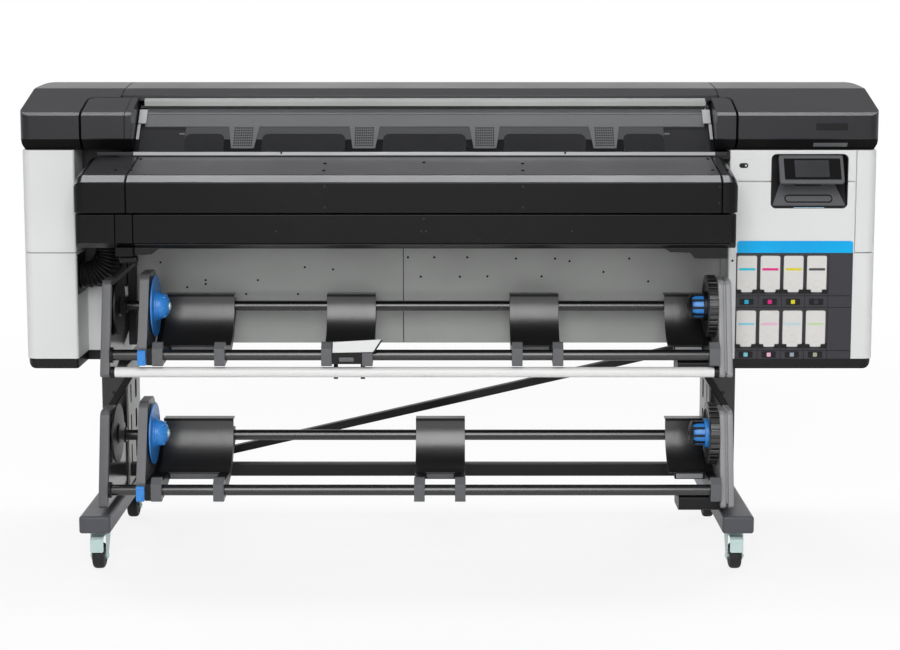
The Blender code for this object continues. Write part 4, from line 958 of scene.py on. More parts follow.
@dataclass(frozen=True)
class RightModule:
    """The wide end module that carries the ink bay and the control panel."""

    corner: float = 0.030
    inner_rear_corner: float = 0.003
    inner_corner: float = 0.005
    rear_corner: float = 0.012
    seam_x: float = 1.2265
    seam_start: float = 0.0245
    seam_high: float = 1.126
    seam_low: float = 0.9095
    groove: float = 0.0042
    groove_depth: float = 0.010
    base_inset: float = 0.003
    base_round: float = 0.028
    tray_corner: float = 0.016
    button_travel: float = 0.0025
    strip_inset: float = 0.002
    strip_top: float = 0.9455
    strip_proud: float = 0.0014
    strip_foot_corner: float = 0.001
    strip_top_corner: float = 0.009
    screw: float = 0.0035
    screws: tuple[Pair, ...] = ((0.8575, 0.885), (0.860, 0.603))

    def plan(self, inset: float = 0.0) -> list[Pair]:
        """The module's outline seen from above, drawn in by an inset."""
        span = Span.of("right_module_shell")
        low, high = span.low, span.high
        points = [
            (low.x + inset, high.y - inset), (low.x + inset, low.y + inset),
            (high.x - inset, low.y + inset), (high.x - inset, high.y - inset),
        ]
        return rounded(points, [self.inner_rear_corner, self.inner_corner, self.corner, self.rear_corner])

    def side_seam(self) -> Piece:
        """A tool for the seam that runs from the front round the outer side to the back."""
        span = Span.of("right_module_shell")
        half = self.groove / 2
        low = Vector((self.seam_x, span.low.y - REACH, self.seam_low - half))
        high = Vector((span.high.x + REACH, span.high.y + REACH, self.seam_low + half))
        core = drawn("seam_core", self.plan(self.groove_depth), Axis.Z, low.z - REACH, high.z + REACH)
        return work(block("seam_tool", low, high), Cut.AWAY, core)

    def openings(self) -> list[Piece]:
        """Tools for the ink bay, the control panel and the power button."""
        span, bay = Span.of("right_module_shell"), Span.of("cartridge_bay")
        tray, button = Span.of("display_tray"), Span.of("power_button")
        front = span.low.y - REACH
        room = Vector((TINY, TINY, TINY))
        low, high = button.low - room, button.high + room
        pill = rectangle((low.x, low.z), (high.x, high.z), (button.high.z - button.low.z) / 2)
        panel = rectangle((tray.low.x, tray.low.z), (tray.high.x, tray.high.z), self.tray_corner)
        return [
            block("bay_tool", (bay.low.x - TINY, front, span.low.z - REACH), bay.high + room),
            drawn("tray_tool", panel, Axis.Y, front, tray.high.y + TINY),
            drawn("button_tool", pill, Axis.Y, front, button.high.y + self.button_travel),
        ]

    def build(self) -> None:
        """Model the white shell with its openings and seams, its base trim and the blue strip."""
        span = Span.of("right_module_shell")
        front = span.low.y
        shell = drawn("right_module_panel", self.plan(), Axis.Z, span.low.z, span.high.z - TINY)
        soften(shell, Edges.CASE)
        work(shell, Cut.AWAY, *self.openings())
        half = self.groove / 2
        deep = front + self.groove_depth
        for low, high in (
            ((self.seam_x - half, self.seam_low - half), (self.seam_x + half, span.high.z + REACH)),
            ((span.low.x + self.seam_start, self.seam_high - half), (self.seam_x, self.seam_high + half)),
        ):
            tool = block("seam_tool", (low[0], front - REACH, low[1]), (high[0], deep, high[1]))
            work(shell, Cut.AWAY, tool)
        work(shell, Cut.AWAY, self.side_seam())
        dress(shell, Finishes.WHITE, CARRIER, "right_module_shell")
        floor, bay = Span.of("right_module_base"), Span.of("cartridge_bay")
        base = drawn("right_module_trim", self.plan(self.base_inset), Axis.Z, floor.low.z, floor.high.z)
        round_base(base, floor, span.high.x - self.base_inset, span.low.x, self.base_round)
        dress(base, Finishes.BLACK, CARRIER, "right_module_base")
        low = (bay.low.x + self.strip_inset, bay.high.z + TINY)
        high = (self.seam_x - self.strip_inset * 2, self.strip_top)
        corners = rounded(
            [low, (high[0], low[1]), high, (low[0], high[1])],
            [self.strip_foot_corner] * 2 + [self.strip_top_corner] * 2,
        )
        depth = (front - self.strip_proud, front + TINY)
        shaped("blue_strip", corners, Axis.Y, depth, Edges.LIP, Finishes.STRIP)
        places = [Vector((x, front, z)) for x, z in self.screws]
        screws = ScrewHead(radius=self.screw).at("right_module_screws", places, FORWARD)
        dress(screws, Finishes.STEEL)


@dataclass(frozen=True)
class InkBay:
    """The dark cartridge bay and its eight cartridges."""

    columns: int = 4
    corner_cut: float = 0.0130
    corner_rise: float = 0.0080
    top_round: float = 0.006
    clearance: float = 0.0006
    groove: float = 0.0020
    groove_depth: float = 0.0035
    grooves: tuple[float, ...] = (0.7773, 0.742, 0.609)
    lip: float = 0.0035
    lip_rise: float = 0.0125
    lip_proud: float = 0.0026
    lip_depth: float = 0.004
    lip_corner: float = 0.0015
    tab: float = 0.0125
    tab_proud: float = 0.0007
    tab_levels: Pair = (0.7587, 0.5960)
    plate: Pair = (0.043, 0.0195)
    plate_proud: float = 0.0004
    plate_corner: float = 0.002
    stripe: Pair = (0.049, 0.0072)
    stripe_drop: float = 0.0415
    stripe_proud: float = 0.0006
    stripe_corner: float = 0.0012
    ring_rise: float = 0.026
    ring: tuple[Pair, ...] = ((-0.001, 0.0102), (0.0007, 0.0106), (0.0007, 0.0114), (-0.001, 0.0118))

    STRIPES = (
        linear(22, 200, 226), linear(236, 22, 142), linear(232, 220, 34), linear(70, 66, 70),
        linear(150, 214, 232), linear(244, 192, 216), linear(198, 222, 230), linear(205, 226, 176),
    )
    TABS = (
        linear(0, 176, 218), linear(228, 0, 132), linear(228, 214, 0), linear(40, 40, 44),
        linear(128, 206, 222), linear(242, 178, 208), linear(150, 165, 176), linear(166, 172, 150),
    )

    def outline(self, span: Span, grow: float = 0.0) -> list[Pair]:
        """A cartridge's front outline with cut lower corners, grown by a margin."""
        low = (span.low.x - grow, span.low.z - grow)
        high = (span.high.x + grow, span.high.z + grow)
        cut, step = self.corner_cut, low[1] + self.corner_rise
        points = [
            (low[0] + cut, low[1]), (high[0] - cut, low[1]), (high[0] - cut, step), (high[0], step),
            high, (low[0], high[1]), (low[0], step), (low[0] + cut, step),
        ]
        corner = self.corner_rise / 4
        return rounded(points, [corner] * 4 + [self.top_round] * 2 + [corner] * 2, 4)

    def spans(self) -> list[Span]:
        """The spans of the eight cartridges in order."""
        return [Span.of(f"ink_cartridge_{number}") for number in range(1, 2 * self.columns + 1)]

    def build(self) -> None:
        """Model the bay with its pockets and grooves, its lips and tabs, then the cartridges."""
        bay, spans = Span.of("cartridge_bay"), self.spans()
        front, room = bay.low.y, self.clearance
        body = block("ink_bay", bay.low, bay.high)
        pockets = [
            drawn("pocket", self.outline(span, room), Axis.Y, front - CLEAR, span.high.y + room)
            for span in spans
        ]
        work(body, Cut.AWAY, *pockets)
        near, deep = front - CLEAR, front + self.groove_depth
        half = self.groove / 2
        pitch = spans[1].middle.x - spans[0].middle.x
        for column in range(self.columns):
            x = spans[0].middle.x + pitch / 2 + pitch * column
            low, high = bay.low.z - CLEAR, bay.high.z + CLEAR
            work(body, Cut.AWAY, block("line", (x - half, near, low), (x + half, deep, high)))
        for z in self.grooves:
            low, high = bay.low.x - CLEAR, bay.high.x + CLEAR
            work(body, Cut.AWAY, block("line", (low, near, z - half), (high, deep, z + half)))
        dress(body, Finishes.BAY, CARRIER, "cartridge_bay")
        self.build_lips(front)
        self.build_tabs(front)
        for number, span in enumerate(spans, start=1):
            self.build_cartridge(number, span)

    def build_lips(self, front: float) -> None:
        """Model the corner brackets that hold the cartridges' lower ends, on the bay's front."""
        lips = []
        inset = self.corner_cut + self.lip
        for span in self.spans():
            low = (span.low.x - self.lip, span.low.z - self.lip)
            high = (span.high.x + self.lip, span.low.z + self.lip_rise)
            outline = rectangle(low, high, self.lip_corner, 3)
            cup = drawn("cup", outline, Axis.Y, front - self.lip_proud, front + self.lip_depth)
            room = drawn("room", self.outline(span, self.clearance), Axis.Y, front - REACH, front + REACH)
            middle = block(
                "middle", (span.low.x + inset, front - REACH, span.low.z - REACH),
                (span.high.x - inset, front + REACH, span.high.z),
            )
            work(cup, Cut.AWAY, room)
            work(cup, Cut.AWAY, middle)
            lips.append(soften(cup, Edges.LIP))
        dress(together("bay_cups", *lips), Finishes.BLACK)

    def build_tabs(self, front: float) -> None:
        """Model the small colour squares under the cartridges, each on its dark plate."""
        half = self.tab / 2
        wide, tall = self.plate[0] / 2, self.plate[1] / 2
        outline = rectangle((-wide, -tall), (wide, tall), self.plate_corner, 3)
        plate = drawn("plate", outline, Axis.Y, front - self.plate_proud, front + TINY)
        spots = [
            (span.middle.x, self.tab_levels[number // self.columns])
            for number, span in enumerate(self.spans())
        ]
        plates = spread(plate, "colour_tab_plates", [shift(x=x, z=z) for x, z in spots])
        dress(plates, Finishes.BLACK)
        depth = (front - self.tab_proud, front + TINY)
        for number, ((x, z), colour) in enumerate(zip(spots, self.TABS), start=1):
            outline = rectangle((x - half, z - half), (x + half, z + half), self.lip_corner, 3)
            paint = Finish(f"tab_colour_{number}", "cartridge_plastic", colour, 0.40, drift=0.05)
            shaped(f"colour_tab_{number}", outline, Axis.Y, depth, Edges.LENS, paint)

    def build_cartridge(self, number: int, span: Span) -> None:
        """Model one cartridge with its colour stripe and its press ring.

        Args:
            number: Its place in the bay, from 1.
            span: Where it is.
        """
        body = f"ink_cartridge_{number}"
        shell = drawn(f"cartridge_{number}_shell", self.outline(span), Axis.Y, span.low.y, span.high.y)
        soften(shell, Edges.SHELL)
        x, front = span.middle.x, span.low.y
        profile = [(front + along, radius) for along, radius in self.ring]
        ring_place = (x, span.low.z + self.ring_rise)
        work(shell, Cut.AWAY, turned("press_ring", profile, Axis.Y, ring_place, 32, closed=True))
        dress(shell, Finishes.CARTRIDGE, body, body)
        wide, tall = self.stripe[0] / 2, self.stripe[1] / 2
        z = span.high.z - self.stripe_drop
        outline = rectangle((x - wide, z - tall), (x + wide, z + tall), self.stripe_corner, 3)
        colour = self.STRIPES[number - 1]
        paint = Finish(f"stripe_colour_{number}", "cartridge_plastic", colour, 0.38, drift=0.05)
        depth = (front - self.stripe_proud, front + TINY)
        shaped(f"cartridge_{number}_stripe", outline, Axis.Y, depth, Edges.FILM, paint, body)


@dataclass(frozen=True)
class ControlPanel:
    """The recess, the tilting display and the power button."""

    wall: float = 0.003
    corner: float = 0.016
    ramp: float = 0.105
    ramp_taper: float = 0.64
    ramp_shares: Pair = (0.02, 0.97)
    ramp_skin: float = 0.0012
    slots: tuple[tuple[str, float, Pair, float, Finish], ...] = (
        ("panel_slot_rim", 0.0730, (0.10, 0.34), 0.0016, Finishes.BLACK),
        ("panel_slot", 0.0690, (0.14, 0.30), 0.0024, Finishes.GREY),
    )
    slot_round: float = 0.47
    slot_lift: float = 0.0008
    light_half: float = 0.046
    light_height: float = 0.0012
    lean: float = 27.0
    thickness: float = 0.014
    length: float = 0.090
    arm_reach: float = 0.0686
    arm_rise: float = 0.0306
    arm_width: float = 0.070
    arm_share: float = 0.8
    arm_lap: float = 0.002
    barrel: float = 0.0118
    bezel_round: float = 0.007
    glass_margins: tuple[float, float, float, float] = (0.014, 0.010, 0.009, 0.011)
    glass_round: float = 0.003
    glass_gap: float = 0.0002
    glass_recess: float = 0.0009
    glass_depth: Pair = (0.0003, 0.002)
    lit_margins: tuple[float, float, float, float] = (0.046, 0.0185, 0.044, 0.017)
    lit_round: float = 0.001
    lit_depth: Pair = (0.0001, 0.0012)
    pill_gap: float = 0.0001
    dot: tuple[Pair, ...] = ((-0.0005, 0.0), (-0.0005, 0.0026), (0.001, 0.0030), (0.001, 0.0))

    def build(self) -> None:
        """Model the recess, the display and the button."""
        self.build_recess()
        self.build_display()
        self.build_button()

    def build_recess(self) -> None:
        """Model the black recess with its ramp, its slot plate and its light line."""
        tray = Span.of("display_tray")
        front = Span.of("right_module_shell").low.y + TINY
        step = front + self.wall
        outline = rectangle((tray.low.x, tray.low.z), (tray.high.x, tray.high.z), self.corner)
        body = drawn("panel_recess", outline, Axis.Y, front, tray.high.y)
        back, top = tray.high.y - self.wall, tray.high.z - self.wall
        low = tray.low.z + self.wall
        foot, head = low + self.wall, tray.low.z + self.ramp
        hollow = [
            (front - REACH, low), (step, low), (step, foot), (back, head), (back, top), (front - REACH, top)
        ]
        cavity = drawn("cavity", hollow, Axis.X, tray.low.x + self.wall, tray.high.x - self.wall)
        round_edges(
            cavity, self.corner - self.wall, 5,
            lambda a, b: abs(a.z - b.z) < TINY and abs(a.x - b.x) < TINY and a.z > top - self.wall,
        )
        work(body, Cut.AWAY, cavity)
        dress(body, Finishes.BLACK, CARRIER, "display_tray")
        rise = Vector((back - step, head - foot))
        out = Vector((-rise.y, rise.x)).normalized()

        def on_ramp(share: float, proud: float) -> Pair:
            """The (y, z) of a place up the ramp, standing proud of it."""
            return tuple(Vector((step, foot)) + rise * share + out * proud)

        middle, inset = tray.middle.x, self.wall * 2
        plate = sheet_outline([on_ramp(share, TINY) for share in self.ramp_shares], self.ramp_skin)
        ramp = drawn("panel_ramp", plate, Axis.X, tray.low.x + inset, tray.high.x - inset)
        for vertex in ramp.data.vertices:
            if vertex.co.z > tray.low.z + self.ramp / 2:
                vertex.co.x = middle + (vertex.co.x - middle) * self.ramp_taper
        dress(soften(ramp, Edges.SKIN), Finishes.GREY)
        for name, half, shares, proud, finish in self.slots:
            outline = sheet_outline([on_ramp(share, self.slot_lift) for share in shares], proud)
            pill = drawn(name, outline, Axis.X, middle - half, middle + half)
            radius = rise.length * (shares[1] - shares[0]) * self.slot_round
            round_edges(pill, radius, 6, lambda a, b: abs((a - b).dot(Vector((0, *out)))) > TINY)
            dress(soften(pill, Edges.SKIN), finish)
        glow = Finish("panel_light_lens", "smoked_glass", linear(170, 214, 232), 0.3, drift=0.05, glow=0.25)
        boxed(
            "panel_light", (middle - self.light_half, front - TINY, low - self.light_height),
            (middle + self.light_half, step, low + TINY / 2), Edges.LENS, glow,
        )

    def build_display(self) -> None:
        """Model the tilting display: bezel, glass, lit area and hinge arm."""
        span, body = Span.of("display"), "display"
        lean = math.radians(self.lean)
        up = Vector((math.sin(lean), math.cos(lean)))
        rear = Vector((up.y, -up.x))
        half = (span.high.x - span.low.x) / 2
        place = shift(span.middle.x, span.low.y, span.high.z - up.y * self.length) @ Matrix(
            ((1, 0, 0, 0), (0, up.x, rear.x, 0), (0, up.y, rear.y, 0), (0, 0, 0, 1))
        )

        def slab(
            name: str, margins: Sequence[float], grow: float, radius: float, start: float, end: float
        ) -> Piece:
            """A rounded plate in the display's own plane, from one depth to another."""
            left, low, right, high = (margin + grow for margin in margins)
            outline = rectangle((left - half, low), (half - right, self.length - high), radius)
            flat = drawn(name, outline, Axis.Z, start, end)
            flat.data.transform(place)
            close_up(flat)
            return flat

        bezel = slab("display_bezel", (0, 0, 0, 0), 0, self.bezel_round, 0, self.thickness)
        soften(bezel, Edges.BEZEL)
        window = slab("pocket", self.glass_margins, 0, self.glass_round, -REACH, self.glass_recess)
        work(bezel, Cut.AWAY, window)
        thick, root = self.barrel * self.arm_share, self.thickness - self.arm_lap
        rise, far = self.arm_rise, self.arm_reach
        arm = [(rise - thick, root), (rise + thick, root), (rise + thick, far), (rise - thick, far)]
        bar = drawn("arm", arm, Axis.X, -self.arm_width / 2, self.arm_width / 2)
        reach = self.arm_width / 2 + self.wall
        barrel = rod("barrel", Axis.X, (rise, far), self.barrel, -reach, reach, 32)
        for part in (bar, barrel):
            part.data.transform(place)
            close_up(part)
        work(bar, Cut.ADD, barrel)
        dress(bezel, Finishes.GREY, body, "display")
        dress(soften(bar, Edges.CARD), Finishes.BLACK, body)
        glass = slab("display_glass", self.glass_margins, self.glass_gap, self.glass_round, *self.glass_depth)
        dress(soften(glass, Edges.LENS), Finishes.SCREEN, body)
        lit = slab("display_lit", self.lit_margins, 0, self.lit_round, *self.lit_depth)
        picture = Finish(
            "lit_screen", "smoked_glass", linear(74, 75, 78), 0.2, kind=Kind.SMOOTH, relief=0.01,
            relief_size=0.05, worn=linear(44, 45, 48), glow=0.08,
        )
        dress(soften(lit, Edges.FILM), picture, body)

    def build_button(self) -> None:
        """Model the power button's pill and its white dot."""
        span, node = Span.of("power_button"), "power_button"
        radius = (span.high.z - span.low.z) / 2 - self.pill_gap
        outline = rectangle((span.low.x, span.low.z), (span.high.x, span.high.z), radius)
        depth = (span.low.y, span.high.y)
        shaped("power_pill", outline, Axis.Y, depth, Edges.CAP, Finishes.BLACK, node, node)
        profile = [(span.low.y + along, width) for along, width in self.dot]
        dot = turned("power_dot", profile, Axis.Y, (span.high.x - radius, span.middle.z), 24)
        dress(dot, Finishes.BAR, node)


@dataclass(frozen=True)
class CoverProfile:
    """The section that the end covers and the rear cover share, measured from its lower front."""

    bevel_depth: float = 0.030
    bevel_height: float = 0.0357
    face_top: float = 0.1087
    fold_drop: float = 0.0048
    fold_depth: float = 0.0137
    slope_back: float = 0.220
    slope_top: float = 0.1787
    ridge_back: float = 0.340
    back_edge: float = 0.020

    def outline(self, drop: float = 0.0) -> list[Pair]:
        """The section in (y, z), sunk by a drop for a piece that lies under it."""
        span = Span.of("left_end_cover")
        y, z = span.low.y, span.low.z
        back, top = span.high.y, span.high.z
        fold = y + self.fold_depth
        return [
            (y + self.bevel_depth, z), (y + drop, z + self.bevel_height),
            (y + drop, z + self.face_top - self.fold_drop - drop), (fold, self.slope(fold) - drop),
            (y + self.slope_back, z + self.slope_top - drop), (y + self.ridge_back, top - drop),
            (back - self.back_edge, top - drop), (back - drop, top - self.back_edge), (back - drop, z),
        ]

    def slope(self, y: float) -> float:
        """The height of the front slope at a place in depth."""
        span = Span.of("left_end_cover")
        share = (y - span.low.y) / self.slope_back
        return span.low.z + self.face_top + (self.slope_top - self.face_top) * share


@dataclass(frozen=True)
class TopCovers:
    """The end covers with their cheeks, and the rear cover between them."""

    profile: CoverProfile = CoverProfile()
    end_round: float = 0.036
    back_share: float = 0.6
    top_round: float = 0.022
    lean_round: float = 0.015
    facets: int = 18
    crisp: float = 8
    end_lean: float = 0.013
    edge: float = 0.0085
    lap: float = 0.05
    gap: float = 0.007
    left_gap: float = -1.1035
    right_gap: float = 0.8590
    seam_left: float = -1.0100
    seam_right: float = 0.8280
    cheek_back: float = 0.0650
    cheek_round: float = 0.030
    cheek_seam: float = 0.020
    cheek_heights: Pair = (1.0, 1.6)
    groove: float = 0.002
    groove_depth: float = 0.0025
    shade_trim_drop: float = 0.003
    rear_lip: float = 0.018
    rear_sheet: float = 0.003
    plate: tuple[float, float, float, float] = (1.098, 1.281, 1.194, 1.302)
    plate_corner: float = 0.002
    plate_proud: float = 0.0012
    tab_shares: Pair = (0.30, 0.62)
    tab_proud: float = 0.0016
    tab_laps: Pair = (0.004, 0.002)

    def build(self) -> None:
        """Model both end covers, both cheeks and the rear cover."""
        left, right = Span.of("left_end_cover"), Span.of("right_end_cover")
        self.build_end("left", left.low.x, self.seam_left, self.left_gap - self.gap)
        self.build_end("right", right.high.x, self.seam_right, self.right_gap + self.gap)
        self.build_cheek("left", self.left_gap, left.high.x)
        self.build_cheek("right", self.right_gap, right.low.x)
        self.build_rear(self.seam_left + PANEL_GAP, self.seam_right - PANEL_GAP)
        self.build_plate()

    def part_shade_trim(self, piece: Piece, name: str, floor: float) -> Piece:
        """Part the matt black strip under a cover's face from it, measured from the cover's floor; the strip
        paints the shade on the downward lower bevel.
        """
        return parted(piece, name, floor + self.profile.bevel_height - self.shade_trim_drop)

    def build_end(self, side: str, outer: float, seam: float, notch: float) -> None:
        """Model one end cover, with a notch in front that its cheek fills.

        Args:
            side: left or right.
            outer: X of its outer end.
            seam: X where it meets the rear cover.
            notch: X where the notch starts.
        """
        span = Span.of("left_end_cover")
        low, top = span.low, span.high.z
        front, back = low.y - REACH, span.high.y + REACH
        inward = math.copysign(1, seam - outer)
        far = seam + inward * self.lap
        lean = inward * self.end_lean
        rim = outer - inward * TINY / 2
        cover = drawn(f"{side}_cover_shell", self.profile.outline(), Axis.X, *sorted((outer, far)))
        over, under, near = top + TINY / 2, low.z - CLEAR, low.y - TINY / 2
        heights = (low.z + TINY - self.lap, top + self.lap)
        ends = rounded(
            [
                (far, under), (rim + lean, under), (rim + lean, low.z),
                (rim, low.z + self.profile.bevel_height), (rim, over), (far, over),
            ],
            [0, 0, 0, self.lean_round, self.top_round, 0], self.facets,
        )
        work(cover, Cut.KEEP, drawn("ends", ends, Axis.Y, front, back))
        plan = rounded(
            [(far, near), (rim, near), (rim, span.high.y), (far, span.high.y)],
            [0, self.end_round, self.end_round * self.back_share, 0], self.facets,
        )
        work(cover, Cut.KEEP, drawn("plan", plan, Axis.Z, *heights))
        ridge = low.y + self.profile.slope_back - TINY
        fold = low.y + self.profile.fold_depth + TINY
        round_edges(
            cover, self.edge, 1,
            lambda a, b: all(abs(spot.z - self.profile.slope(spot.y)) < TINY for spot in (a, b))
            and min(a.y, b.y) < ridge and max(a.y, b.y) > fold
            and (abs(a.x - far) > TINY or abs(b.x - far) > TINY),
        )
        plan = rounded(
            [
                (notch, front), (notch, self.cheek_back), (seam, self.cheek_back), (seam, back),
                (far + lean, back), (far + lean, front),
            ],
            [0, self.cheek_round, 0, 0, 0, 0],
        )
        work(cover, Cut.AWAY, drawn("notch", plan, Axis.Z, *heights))
        soften(cover, Edges.COVER)
        # The matt black strip parted off below paints the shade on the cover's downward lower bevel.
        trim = self.part_shade_trim(cover, f"{side}_cover_trim", low.z + TINY)
        dress(cover, Finishes.DARK, CARRIER, f"{side}_end_cover", turn=self.crisp)
        dress(trim, Finishes.MATT_AND_SHADE)

    def build_cheek(self, side: str, outer: float, inner: float) -> None:
        """Model the cheek beside the window, the left one with a seam.

        Args:
            side: left or right.
            outer: X at the gap to the end cover.
            inner: X beside the window.
        """
        low = Span.of("left_end_cover").low
        cheek = drawn(f"{side}_cheek", self.profile.outline(), Axis.X, *sorted((outer, inner)))
        front, back = low.y - REACH, self.cheek_back - self.gap
        radius = self.cheek_round - self.gap
        far = inner + math.copysign(REACH, inner - outer)
        plan = rounded([(outer, front), (outer, back), (far, back), (far, front)], [0, radius, 0, 0])
        work(cheek, Cut.KEEP, drawn("plan", plan, Axis.Z, *self.cheek_heights))
        if side == "left":
            x, half = inner - self.cheek_seam, self.groove / 2
            floor, ceiling = self.cheek_heights
            tool = block("seam", (x - half, front, floor), (x + half, back + CLEAR, ceiling))
            core = drawn("core", self.profile.outline(self.groove_depth), Axis.X, x - self.lap, x + self.lap)
            work(cheek, Cut.AWAY, work(tool, Cut.AWAY, core))
        soften(cheek, Edges.CHEEK)
        # The matt black strip parted off below paints the shade on the cheek's downward lower bevel.
        trim = self.part_shade_trim(cheek, f"{side}_cheek_trim", low.z)
        dress(cheek, Finishes.DARK, turn=self.crisp)
        dress(trim, Finishes.MATT_AND_SHADE)

    def build_rear(self, left: float, right: float) -> None:
        """Model the folded rear cover between the end covers.

        Args:
            left: X of its left end.
            right: X of its right end.
        """
        span = Span.of("rear_top_cover")
        edge = span.low.y
        outline, rise = self.profile.outline(), self.profile.slope(edge)
        line = [(edge, rise - self.rear_lip), (edge, rise), *outline[4:8], (outline[8][0], span.low.z)]
        cover = drawn("rear_cover_sheet", sheet_outline(line, -self.rear_sheet), Axis.X, left, right)
        soften(cover, Edges.FOLD)
        keep_left = Span.of("left_end_cover").high.x + TINY
        keep_right = Span.of("right_end_cover").low.x - TINY
        for low, high in ((left - REACH, keep_left), (keep_right, right + REACH)):
            work(cover, Cut.AWAY, block("corner", (low, edge - REACH, 0.0), (high, self.cheek_back, SKY)))
        dress(cover, Finishes.DARK, CARRIER, "rear_top_cover", turn=self.crisp)

    def build_plate(self) -> None:
        """Model the bare plate on the right end cover and the grey tab under it."""
        x0, z0, x1, z1 = self.plate
        front = Span.of("right_end_cover").low.y
        outline = rectangle((x0, z0), (x1, z1), self.plate_corner, 3)
        depth = (front - self.plate_proud, front + TINY)
        shaped("cover_plate", outline, Axis.Y, depth, Edges.PLATE, Finishes.BLACK)
        foot, face = (Vector(point) for point in self.profile.outline()[:2])
        line = [tuple(foot.lerp(face, share)) for share in self.tab_shares]
        ends = (x0 - self.tab_laps[0], x1 + self.tab_laps[1])
        tab = sheet_outline(line, self.tab_proud)
        shaped("cover_tab", tab, Axis.X, ends, Edges.PLATE, Finishes.GREY)


